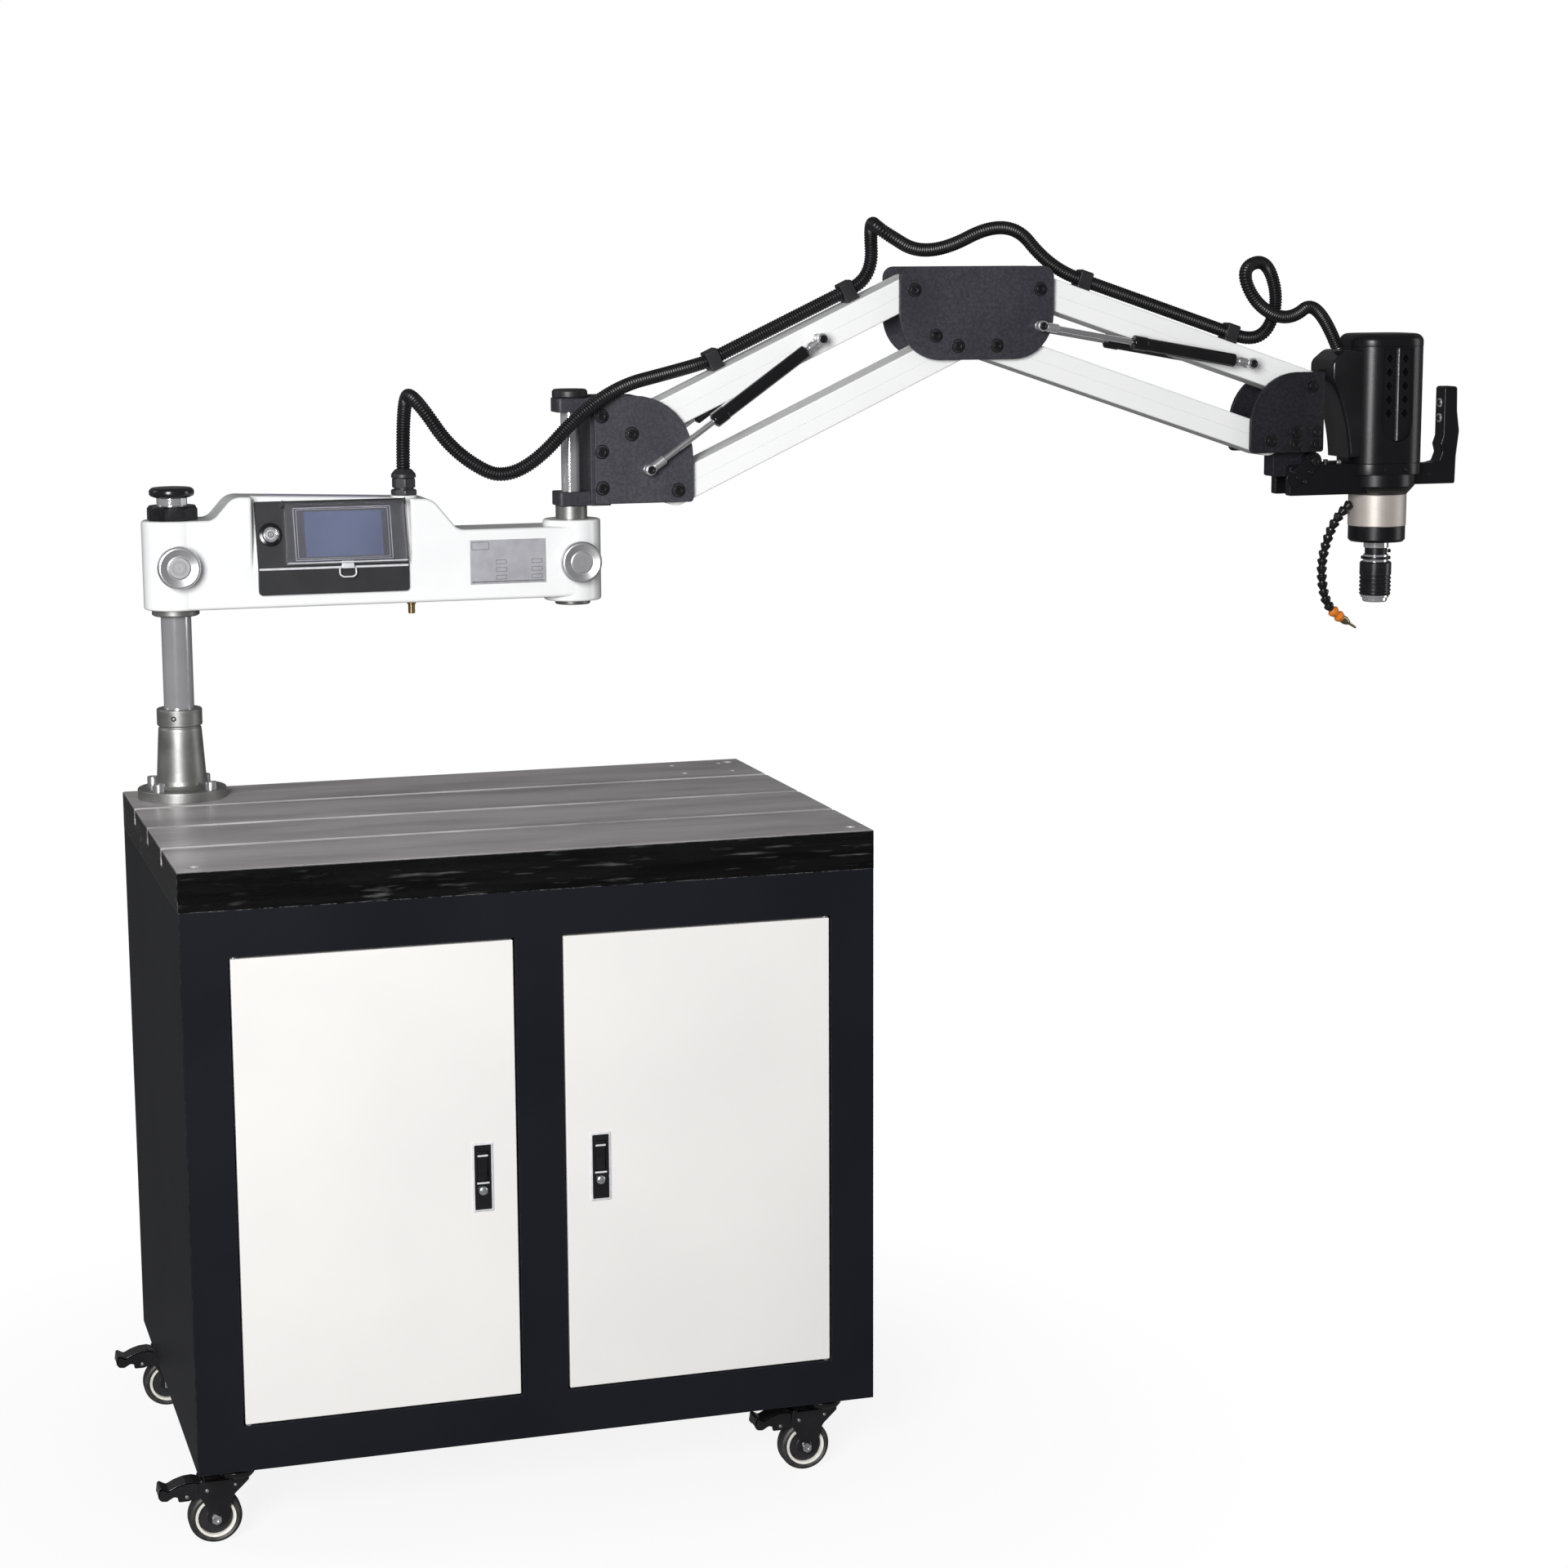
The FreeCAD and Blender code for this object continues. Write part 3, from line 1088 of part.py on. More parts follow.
def spindle():
    """Output spindle with the tap adapter's bore in its nose."""
    x, y = SPINDLE_X, COLUMN_Y
    z = TOP
    r = SPINDLE_R
    top = z + SEAL_BOTTOM + 12 - RUNNING
    low = z + SPINDLE_BOTTOM
    end = low + TAP_BORE_DEPTH
    body = turned([(TAP_BORE_R, low), (r - 2, low), (r, low + 2), (r, z + 309), (r - 2.5, z + 310),
                   (r - 2.5, z + 320), (r, z + 321), (r, top), (0, top), (0, end), (TAP_BORE_R, end)], x, y)
    rest = z + SLEEVE_TOP + SLEEVE_STROKE + RUNNING
    flange = turned([(r, rest), (SLEEVE_R - 1.5, rest), (SLEEVE_R - 1.5, rest + 4.5), (r, rest + 4.5)], x, y)
    return body.fuse(flange).removeSplitter()


def chuck_sleeve():
    """Grooved sleeve round the spindle's nose."""
    x, y = SPINDLE_X, COLUMN_Y
    z0 = TOP + SLEEVE_BOTTOM
    z1 = TOP + SLEEVE_TOP
    bore = SPINDLE_R + RUNNING
    sleeve = turned([(bore, z0), (SLEEVE_R - 2, z0), (SLEEVE_R, z0 + 2), (SLEEVE_R, z1 - 3),
                     (SLEEVE_R - 2, z1), (bore, z1)], x, y)
    for h in (12, 22, 32, 42, 52):
        groove = turned([(SLEEVE_R - 1.5, z0 + h), (SLEEVE_R + 1, z0 + h), (SLEEVE_R + 1, z0 + h + 3.5),
                         (SLEEVE_R - 1.5, z0 + h + 3.5)], x, y)
        sleeve = sleeve.cut(groove)
    return sleeve


def handle():
    """Side handle: a foot on the motor hood and an upright grip with a wavy back."""
    z = TOP
    x0 = SPINDLE_X + COVER_HALF_W
    x1 = GRIP_X0
    x2 = GRIP_X1
    corners = [(x0, z + 428, 0), (x2, z + 428, 3), (x2 + 1, z + 475, 30), (x2 + 6, z + 518, 20),
               (x2 + 1, z + 552, 30), (x2, z + 594, 5), (x1, z + 594, 5), (x1, z + 512, 20),
               (x1 - 3, z + 494, 10), (x1 - 16, z + 465, 4), (x0, z + 465, 0)]
    grip = side_profile(corners, -GRIP_HALF_W, GRIP_HALF_W)
    bore = GRIP_BUTTON_R + 0.2
    for height in GRIP_BUTTONS:
        grip = grip.cut(rod(bore, (x1 - 1, COLUMN_Y, z + height), (x1 + 9, COLUMN_Y, z + height)))
    profile = [(bore, 0), (8.0, 0), (7.0, 2.2), (bore, 2.2)]
    rings = [turned_along(profile, (x1, COLUMN_Y, z + h), (-1, 0, 0)) for h in GRIP_BUTTONS]
    return [grip] + rings


def grip_button(height):
    start = (GRIP_X0 + 5, COLUMN_Y, TOP + height)
    r = GRIP_BUTTON_R
    return turned_along([(0, 0), (r, 0), (r, 8.0), (r - 1, 9.0), (0, 9.4)], start, (-1, 0, 0))


def coolant_hose():
    """Jointed coolant hose from the torque ring, with its nozzle."""
    points = [(SPINDLE_X + dx, COLUMN_Y, TOP + h) for dx, h in HOSE_ROUTE]
    hose = bent_tube(points, HOSE_R)
    hose = hose.cut(upright(RING_R, SPINDLE_X, COLUMN_Y, TOP + RING_BOTTOM, TOP + RING_TOP))
    tail = V(*points[-1])
    way = (tail - V(*points[-2])).normalize()
    nozzle = turned_along([(0, 0), (5.5, 0), (5.5, 8), (2.2, 30), (0, 30)], tuple(tail), tuple(way))
    return [hose.Solids[0], nozzle]


# ------------------------------------------------------------------ conduit
def clip(start, degrees, distance):
    """Saddle clip on a link's top, with the conduit's hole."""
    w = CLIP_W / 2
    h = LINK_HALF_H
    r = CONDUIT_R + 4
    top = CONDUIT_LIFT + r
    corners = [(-17, h, 0), (17, h, 0), (17, h + 6, 2), (r, CONDUIT_LIFT, 0), (r, top, 6), (-r, top, 6),
               (-r, CONDUIT_LIFT, 0), (-17, h + 6, 2)]
    wire = outline(corners, lambda p: V(distance - w, p.x, p.y))
    body = Part.Face(wire).extrude(V(CLIP_W, 0, 0))
    body = body.cut(rod(CONDUIT_R, (distance - w - 1, 0, CONDUIT_LIFT), (distance + w + 1, 0, CONDUIT_LIFT)))
    turn = FreeCAD.Rotation(V(0, -1, 0), degrees)
    body.Placement = FreeCAD.Placement(V(start[0], COLUMN_Y, start[1]), turn)
    return body


def run_end(start, degrees, distance):
    """A point of a straight conduit run, in space."""
    a = math.radians(degrees)
    return V(start[0] + distance * math.cos(a) - CONDUIT_LIFT * math.sin(a), COLUMN_Y,
             start[1] + distance * math.sin(a) + CONDUIT_LIFT * math.cos(a))


def trimmed(tube, end, way):
    """A conduit loop, cut square just short of the fitting that way leads into from its end."""
    a = V(*end) - V(*way) * RUNNING
    b = V(*end) + V(*way) * CLIP_W
    return tube.cut(rod(2 * CONDUIT_R, tuple(a), tuple(b)))


def link_way(degrees):
    a = math.radians(degrees)
    return V(math.cos(a), 0, math.sin(a))


def conduit_run(start, degrees, clips):
    a = run_end(start, degrees, clips[0] - CLIP_W / 2)
    b = run_end(start, degrees, clips[1] + CLIP_W / 2)
    return [rod(CONDUIT_R, tuple(a), tuple(b))] + [clip(start, degrees, c) for c in clips]


def spaced(points):
    """Route points (x, y from the arm's plane, height above the table) in space."""
    return [(x, COLUMN_Y + y, TOP + h) for x, y, h in points]


BASE_LOOP = [(-59, 0, 613), (-50, -66, 608), (8, -68, 520), (102, -70, 471), (238, -68, 614),
             (396, 0, 644)]
ELBOW_LOOP = [(711, 0, 785), (704, -6, 876), (696, -70, 862), (790, -40, 814), (941, -10, 882),
              (1018, 0, 798)]
HEAD_LOOP = [(1399, 0, 670), (1432, -4, 735), (1406, -8, 812), (1340, -44, 796), (1366, -50, 735),
             (1435, -34, 707), (1498, -14, 747)]


def main():
    save("cabinet", cabinet())
    for side, name in ((-1, "left"), (1, "right")):
        save(name + "_door", door(side), latch_housing(side))
        save(name + "_latch_lever", latch_lever(side))
        save(name + "_latch_button", latch_button(side))
    save("caster_plates", caster_plates())
    for name, (sx, sy) in caster_places().items():
        save("caster_fork_" + name, caster_fork(sx, sy))
        save("caster_wheel_" + name, caster_wheel(sx, sy))
        save("brake_pedal_" + name, brake_pedal(sx, sy))
    save("t_slot_table", t_slot_table())
    save("column_base", column_base())
    save("column", column())
    save("column_lock_nut", column_lock_nut())
    save("column_cap_knob", column_cap_knob())

    save("swing_arm", swing_arm())
    places = knob_places()
    save("column_clamp_knob", clamp_knob(places[0], COLUMN_BOSS_R, COLUMN_R))
    save("shaft_clamp_knob", clamp_knob(places[1], SHAFT_BOSS_R, SHAFT_R))
    save("control_panel", control_panel())
    save("power_button", power_button())
    save("panel_cover", panel_cover())
    save("arm_fittings", arm_fittings())
    save("pivot_shaft", pivot_shaft())

    save("base_bracket", base_bracket())
    save("base_plates", base_plates())
    save("lower_top_link", link(A1, LOWER_REST, FIT, LOWER_SPRING_AT))
    save("lower_bottom_link", link(B1, LOWER_REST, OPEN_FIT))
    save("lower_spring_cylinders", gas_cylinders(LOWER_STUD, LOWER_FOOT))
    save("lower_spring_rods", gas_rods(LOWER_STUD, LOWER_FOOT))
    save("elbow_plates", elbow_plates())
    save("upper_top_link", link(C1, -UPPER_REST, FIT, UPPER_SPRING_AT))
    save("upper_bottom_link", link(D1, -UPPER_REST, OPEN_FIT))
    save("upper_spring_cylinders", gas_cylinders(UPPER_STUD, UPPER_FOOT))
    save("upper_spring_rods", gas_rods(UPPER_STUD, UPPER_FOOT))
    save("end_plates", end_plates())

    save("head_yoke", head_yoke())
    save("motor_housing", motor_housing())
    save("motor_cover", motor_cover())
    save("torque_ring", torque_ring())
    save("spindle", spindle())
    save("chuck_sleeve", chuck_sleeve())
    save("handle", handle())
    save("handle_button_top", grip_button(GRIP_BUTTONS[0]))
    save("handle_button_bottom", grip_button(GRIP_BUTTONS[1]))
    save("coolant_hose", coolant_hose())

    save("conduit_lower_run", conduit_run(A1, LOWER_REST, LOWER_CLIPS))
    save("conduit_upper_run", conduit_run(C1, -UPPER_REST, UPPER_CLIPS))
    gland_top = (gland_x(), COLUMN_Y, TOP + gland_seat() + 40)
    first = tuple(run_end(A1, LOWER_REST, LOWER_CLIPS[0] - CLIP_W / 2))
    second = tuple(run_end(A1, LOWER_REST, LOWER_CLIPS[1] + CLIP_W / 2))
    third = tuple(run_end(C1, -UPPER_REST, UPPER_CLIPS[0] - CLIP_W / 2))
    fourth = tuple(run_end(C1, -UPPER_REST, UPPER_CLIPS[1] + CLIP_W / 2))
    entry = (SPINDLE_X + ENTRY_FROM_SPINDLE[0], COLUMN_Y, TOP + ENTRY_FROM_SPINDLE[1])
    lower_way = link_way(LOWER_REST)
    upper_way = link_way(-UPPER_REST)
    base_loop = bent_tube([gland_top] + spaced(BASE_LOOP) + [first], CONDUIT_R)
    base_loop = trimmed(trimmed(base_loop, gland_top, (0, 0, -1)), first, lower_way)
    save("conduit_base_loop", base_loop)
    elbow_loop = bent_tube([second] + spaced(ELBOW_LOOP) + [third], CONDUIT_R)
    elbow_loop = trimmed(trimmed(elbow_loop, second, -lower_way), third, upper_way)
    save("conduit_elbow_loop", elbow_loop)
    head_loop = bent_tube([fourth] + spaced(HEAD_LOOP) + [entry], CONDUIT_R)
    head_loop = trimmed(trimmed(head_loop, fourth, -upper_way), entry, (0, 0, -1))
    save("conduit_head_loop", head_loop)


if __name__ == "__main__":
    main()
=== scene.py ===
"""Looks of an electric arm tapping machine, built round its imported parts.

A wheeled cabinet carries a slotted cast iron table and a column.  On the column turns a white swing arm
with the control panel, and from its far end two sprung parallelogram arms hold an upright tapping head.

Lengths are millimetres in the part's own frame (origin on the floor under the middle of the table, +X
along the front, +Y to the back, +Z up) until a piece is made, where MM turns them into metres.
"""

import logging
import math
from collections.abc import Callable, Iterable, Sequence
from dataclasses import dataclass
from enum import Enum
from functools import cache

import bmesh
import bpy
import numpy as np
from mathutils import Matrix, Vector
from mathutils.geometry import tessellate_polygon


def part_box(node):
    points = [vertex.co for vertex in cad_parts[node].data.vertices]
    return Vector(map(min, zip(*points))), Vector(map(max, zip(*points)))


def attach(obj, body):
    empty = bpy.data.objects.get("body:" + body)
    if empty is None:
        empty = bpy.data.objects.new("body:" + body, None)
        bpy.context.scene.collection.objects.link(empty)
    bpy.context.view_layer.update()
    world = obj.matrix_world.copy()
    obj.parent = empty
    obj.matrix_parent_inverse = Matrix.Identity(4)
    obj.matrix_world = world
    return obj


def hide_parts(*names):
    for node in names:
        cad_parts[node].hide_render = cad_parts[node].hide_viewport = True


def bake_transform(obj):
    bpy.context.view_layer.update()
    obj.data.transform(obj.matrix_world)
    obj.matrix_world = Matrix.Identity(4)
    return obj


Array = np.ndarray
Corner = tuple[float, float, float]
Point = tuple[float, float, float]
Colour = tuple[float, float, float]

LOG = logging.getLogger("tapping_machine")
MM = 0.001
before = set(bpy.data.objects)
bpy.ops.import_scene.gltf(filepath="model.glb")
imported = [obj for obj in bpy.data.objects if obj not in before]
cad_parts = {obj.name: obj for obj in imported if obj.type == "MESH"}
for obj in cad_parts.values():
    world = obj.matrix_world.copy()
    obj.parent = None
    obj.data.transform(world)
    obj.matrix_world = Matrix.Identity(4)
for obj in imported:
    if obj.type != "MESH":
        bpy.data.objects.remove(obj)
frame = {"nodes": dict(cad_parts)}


# ------------------------------------------------------------------ places taken from the frame
def corners_of(node: str) -> tuple[Array, Array]:
    """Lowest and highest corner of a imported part, in millimetres."""
    low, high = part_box(node)
    return np.array(low) / MM, np.array(high) / MM


TABLE_LOW, TABLE_HIGH = corners_of("t_slot_table")
COLUMN_LOW, COLUMN_HIGH = corners_of("column")
SHAFT_LOW, SHAFT_HIGH = corners_of("pivot_shaft")
TOP = float(TABLE_HIGH[2])
FRONT = float(TABLE_LOW[1])
COLUMN_X = float(COLUMN_LOW[0] + COLUMN_HIGH[0]) / 2
PLANE_Y = float(COLUMN_LOW[1] + COLUMN_HIGH[1]) / 2
SHAFT_X = float(SHAFT_LOW[0] + SHAFT_HIGH[0]) / 2

LINK = 520.0             # between the two pivots of a link
LINK_HALF_H = 25.0
LINK_HALF_W = 32.0
LOWER_REST = 25.0        # degrees that the lower links rise at rest
UPPER_REST = -18.5       # degrees that the upper links fall at rest
PLATE_IN = 36.0          # side plates' inner and outer faces, from the arm's upright plane
PLATE_OUT = 44.0
SPRING_Y = 57.0          # gas springs' axes from that plane
LOWER_STUD_AT = 342.0    # springs' studs, along their links
UPPER_STUD_AT = 394.0
LOWER_FOOT = (26.0, -56.0)     # springs' feet, from the pivots A1 and C1
UPPER_FOOT = (-2.0, -59.0)
FIRST_PIVOT = (89.0, 545.0)    # A1 from the shaft's axis and the table's top
PIVOT_RUN = 75.0         # from a top link's pivot to its bottom link's
PIVOT_DROP = 90.0
ELBOW_SPAN = 217.0       # between the elbow plates' two top pivots
TILT_FROM_END = (9.6, -125.8)  # head's tilt axis, from the last top pivot
SPINDLE_FROM_TILT = 140.0
CONDUIT_R = 11.0
CONDUIT_LIFT = 42.0      # conduit's axis above a link's axis
PANEL_LEAN = math.radians(15.0)
PANEL_CREASE = 352.0     # height above the table at which the panel starts to lean
ARM_HALF_W = 45.0


def along(start: tuple[float, float], degrees: float, distance: float) -> tuple[float, float]:
    """The (x, z) at a distance from start, in the arm's upright plane."""
    turn = math.radians(degrees)
    return start[0] + distance * math.cos(turn), start[1] + distance * math.sin(turn)


A1 = (SHAFT_X + FIRST_PIVOT[0], TOP + FIRST_PIVOT[1])
B1 = (A1[0] + PIVOT_RUN, A1[1] - PIVOT_DROP)
A2 = along(A1, LOWER_REST, LINK)
C1 = (A2[0] + ELBOW_SPAN, A2[1])
B2 = (A2[0] + PIVOT_RUN, A2[1] - PIVOT_DROP)
D1 = (C1[0] - PIVOT_RUN, C1[1] - PIVOT_DROP)
C2 = along(C1, UPPER_REST, LINK)
D2 = (C2[0] - PIVOT_RUN, C2[1] - PIVOT_DROP)
TILT = (C2[0] + TILT_FROM_END[0], C2[1] + TILT_FROM_END[1])
SPINDLE_X = TILT[0] + SPINDLE_FROM_TILT


# ------------------------------------------------------------------ outlines
class Plane(Enum):
    """Where an outline (a, b) lies, and along which axis its slab is deep."""

    SIDE = "a is x, b is z, deep along y"
    END = "a is y, b is z, deep along x"
    PLAN = "a is x, b is y, deep along z"

    def place(self, flat: Array, depth: float) -> Array:
        """Outline points at one depth, as points of space."""
        level = np.full(len(flat), depth)
        a, b = flat[:, 0], flat[:, 1]
        order = {Plane.SIDE: (a, level, b), Plane.END: (level, a, b), Plane.PLAN: (a, b, level)}
        return np.stack(order[self], 1)


def outline(corners: Sequence[Corner], closed: bool = True, step: float = 9.0) -> Array:
    """Points of a path whose corners are rounded by tangent arcs.

    Args:
        corners: each corner as (a, b, radius).
        closed: whether the last corner leads back to the first.
        step: degrees of arc between points.

    Returns:
        The points, one row each.
    """
    spots = np.array([c[:2] for c in corners], float)
    last = len(corners) - 1
    made: list[Array] = []
    for i, (_, _, radius) in enumerate(corners):
        if radius <= 0 or (not closed and i in (0, last)):
            made.append(spots[i][None])
            continue
        back, on = spots[i - 1] - spots[i], spots[(i + 1) % len(spots)] - spots[i]
        back, on = back / np.linalg.norm(back), on / np.linalg.norm(on)
        half = math.acos(float(np.clip(back @ on, -1, 1))) / 2
        centre = spots[i] + (back + on) / np.linalg.norm(back + on) * radius / math.sin(half)
        first = spots[i] + back * radius / math.tan(half) - centre
        final = spots[i] + on * radius / math.tan(half) - centre
        turn = math.atan2(first[0] * final[1] - first[1] * final[0], float(first @ final))
        count = max(3, int(abs(math.degrees(turn)) / step) + 1)
        t = np.linspace(0, turn, count)
        c, s = np.cos(t), np.sin(t)
        made.append(centre + np.stack([first[0] * c - first[1] * s, first[0] * s + first[1] * c], 1))
    path = np.vstack(made)
    keep = np.linalg.norm(path - np.roll(path, 1, 0), axis=1) > 1e-4
    keep[0] = keep[0] or not closed
    return path[keep]


def rectangle(a0: float, a1: float, b0: float, b1: float, radius: float) -> list[Corner]:
    """The four corners of a rectangle, all of one radius."""
    return [(a0, b0, radius), (a1, b0, radius), (a1, b1, radius), (a0, b1, radius)]


def inset(flat: Array, distance: float) -> Array:
    """A counter-clockwise outline with every side moved inwards by a distance."""
    before = flat - np.roll(flat, 1, 0)
    after = np.roll(flat, -1, 0) - flat
    out_before = np.stack([before[:, 1], -before[:, 0]], 1) / np.linalg.norm(before, axis=1)[:, None]
    out_after = np.stack([after[:, 1], -after[:, 0]], 1) / np.linalg.norm(after, axis=1)[:, None]
    meet = 1 + np.clip((out_before * out_after).sum(1), -0.6, 1)
    return flat - distance * (out_before + out_after) / meet[:, None]


# ------------------------------------------------------------------ shapes
@dataclass
class Shape:
    """A mesh in the making: points in millimetres, and faces grouped by corner count and finish."""

    points: Array
    faces: list[tuple[Array, int]]

    def moved(self, x: float = 0.0, y: float = 0.0, z: float = 0.0) -> "Shape":
        """The same shape, shifted."""
        return Shape(self.points + np.array([x, y, z]), self.faces)

    def through(self, matrix: Array, offset: Sequence[float] = (0.0, 0.0, 0.0)) -> "Shape":
        """The shape with every point p at matrix p + offset."""
        return Shape(self.points @ np.asarray(matrix, float).T + np.asarray(offset, float), self.faces)

    def twin(self) -> "Shape":
        """The mirror image on the other side of the arm's upright plane."""
        flipped = self.points * np.array([1, -1, 1]) + np.array([0, 2 * PLANE_Y, 0])
        return Shape(flipped, [(f[:, ::-1], n) for f, n in self.faces])

    def in_finish(self, number: int) -> "Shape":
        """The shape with all faces in one finish."""
        return Shape(self.points, [(f, number) for f, _ in self.faces])

    def finish_where(self, number: int, test: Callable[[Array], Array]) -> "Shape":
        """The shape with the faces whose centres pass the test in another finish."""
        made = []
        for rows, old in self.faces:
            chosen = test(self.points[rows].mean(1))
            made += [(part, n) for part, n in ((rows[~chosen], old), (rows[chosen], number)) if len(part)]
        return Shape(self.points, made)


def joined(shapes: Iterable[Shape]) -> Shape:
    """Several shapes as one, unwelded."""
    points: list[Array] = []
    faces: list[tuple[Array, int]] = []
    count = 0
    for shape in shapes:
        points.append(shape.points)
        faces += [(rows + count, number) for rows, number in shape.faces]
        count += len(shape.points)
    return Shape(np.vstack(points), faces)


def pair(shape: Shape) -> Shape:
    """A shape and its twin across the arm's plane."""
    return joined([shape, shape.twin()])


def lofted(rings: Array, loop: bool = False) -> Shape:
    """A skin over rings of points: quads from ring to ring, every ring closed on itself.

    Args:
        rings: array (ring, point, 3).
        loop: joins the last ring to the first instead of capping both ends.
    """
    rings = np.asarray(rings, float)
    count, size, _ = rings.shape
    i = np.arange(count if loop else count - 1)[:, None]
    j = np.arange(size)[None, :]
    here, there, on = i * size, (i + 1) % count * size, (j + 1) % size
    quads = np.stack([here + j, here + on, there + on, there + j], -1).reshape(-1, 4)
    faces = [(quads, 0)]
    if not loop:
        faces += [(np.arange(size)[None, ::-1], 0), (np.arange(size)[None] + (count - 1) * size, 0)]
    return Shape(rings.reshape(-1, 3), faces)


def slab(corners: Sequence[Corner] | Array, low: float, high: float, plane: Plane, rim: float = 1.0) -> Shape:
    """A plate of any outline, its two rims rounded by quarter circles of the radius rim."""
    flat = corners if isinstance(corners, np.ndarray) else outline(corners)
    area = (flat[:, 0] * np.roll(flat[:, 1], -1) - flat[:, 1] * np.roll(flat[:, 0], -1)).sum()
    flat = flat if area > 0 else flat[::-1]
    if rim <= 0:
        return lofted(np.stack([plane.place(flat, low), plane.place(flat, high)]))
    quarter = np.radians(np.linspace(0, 90, 3 if rim < 2.5 else 6))
    lower = [plane.place(inset(flat, rim * (1 - math.sin(t))), low + rim * (1 - math.cos(t))) for t in quarter]
    upper = [plane.place(inset(flat, rim * (1 - math.sin(t))), high - rim * (1 - math.cos(t)))
             for t in quarter[::-1]]
    return lofted(np.stack(lower + upper))


def block(x0: float, x1: float, y0: float, y1: float, z0: float, z1: float, rim: float = 1.0) -> Shape:
    """A box with rounded edges."""
    return slab(rectangle(x0, x1, y0, y1, rim), z0, z1, Plane.PLAN, rim)


def basis(axis: Sequence[float]) -> Array:
    """Three columns: two directions square to the axis, and the axis."""
    w = np.asarray(axis, float) / np.linalg.norm(axis)
    u = np.cross(w, (0, 0, 1)) if abs(w[2]) < 0.9 else np.cross(w, (0, 1, 0))
    u = u / np.linalg.norm(u)
    return np.stack([u, np.cross(w, u), w], 1)


def turned(profile: Sequence[Sequence[float]], at: Point = (0, 0, 0), axis: Point = (0, 0, 1),
           count: int = 48, step: float = 15.0) -> Shape:
    """A body of revolution: the point r (cos t u + sin t v) + h w for each (r, h) of the profile.

    Args:
        profile: (r, h) or (r, h, rounding) corners.  A profile that starts and ends on the axis gets a
            pole at each end; one that stays off the axis is closed on itself.
        at: where h is 0.
        axis: the direction of h.
        count: points round the axis.
        step: degrees of arc between points where a corner is rounded.
    """
    corners = [(*p, 0.0) if len(p) == 2 else tuple(p) for p in profile]
    ring = corners[0][0] > 0 or corners[-1][0] > 0
    path = outline(corners, closed=ring, step=step)
    t = np.linspace(0, 2 * math.pi, count, endpoint=False)
    body = path if ring else path[1:-1]
    circle = np.stack([np.cos(t), np.sin(t), np.zeros(count)], 1)
    rings = body[:, 0][:, None, None] * circle + body[:, 1][:, None, None] * np.array([0, 0, 1.0])
    shape = lofted(rings, loop=ring)
    if not ring:
        size = len(shape.points)
        poles = np.array([[0, 0, path[0, 1]], [0, 0, path[-1, 1]]])
        j = np.arange(count)
        on = (j + 1) % count
        end = (len(body) - 1) * count
        fans = [np.stack([np.full(count, size), on, j], 1), np.stack([np.full(count, size + 1), end + j, end + on], 1)]
        shape = Shape(np.vstack([shape.points, poles]), [shape.faces[0]] + [(f, 0) for f in fans])
    return shape.through(basis(axis), at)


def rod(radius: float, start: Point, end: Point, rim: float = 0.6, count: int = 32) -> Shape:
    """A round bar between two points, with softened ends."""
    way = np.subtract(end, start)
    length = float(np.linalg.norm(way))
    rim = min(rim, radius * 0.45, length * 0.45)
    return turned([(0, 0), (radius, 0, rim), (radius, length, rim), (0, length)], start, tuple(way), count, 30)


def tube(path: Array, radius: float | Array, count: int = 16) -> Shape:
    """A round skin along a path of points, by frames carried from point to point without twist."""
    ahead = np.gradient(path, axis=0)
    ahead /= np.linalg.norm(ahead, axis=1)[:, None]
    side = np.cross(ahead[0], (0, 0, 1) if abs(ahead[0][2]) < 0.9 else (0, 1, 0))
    sides = []
    for direction in ahead:
        side = side - direction * (side @ direction)
        side = side / np.linalg.norm(side)
        sides.append(side)
    u = np.array(sides)
    v = np.cross(ahead, u)
    t = np.linspace(0, 2 * math.pi, count, endpoint=False)
    r = np.broadcast_to(np.asarray(radius, float), (len(path),))[:, None, None]
    round_about = np.cos(t)[None, :, None] * u[:, None] + np.sin(t)[None, :, None] * v[:, None]
    return lofted(path[:, None] + r * round_about)


def socket_screw(at: Point, axis: Point, radius: float, height: float, key: float | None = None) -> Shape:
    """A cap screw: rings of 24 points whose radius becomes key / cos(angle from the flat) in its socket."""
    t = np.linspace(0, 2 * math.pi, 24, endpoint=False)
    key = radius * 0.42 if key is None else key
    flat = key / np.cos((t + math.pi / 6) % (math.pi / 3) - math.pi / 6)
    ones = np.ones(24)
    rim = min(0.9, height * 0.2)
    levels = [(radius * ones, 0), (radius * ones, height - rim), ((radius - rim * 0.3) * ones, height - rim * 0.3),
              ((radius - rim) * ones, height), ((key * 1.3) * ones, height), (flat * 1.05, height - 0.2),
              (flat, height - 0.5), (flat, height * 0.45)]
    rings = np.stack([np.stack([r * np.cos(t), r * np.sin(t), np.full(24, h)], 1) for r, h in levels])
    return lofted(rings).through(basis(axis), at)


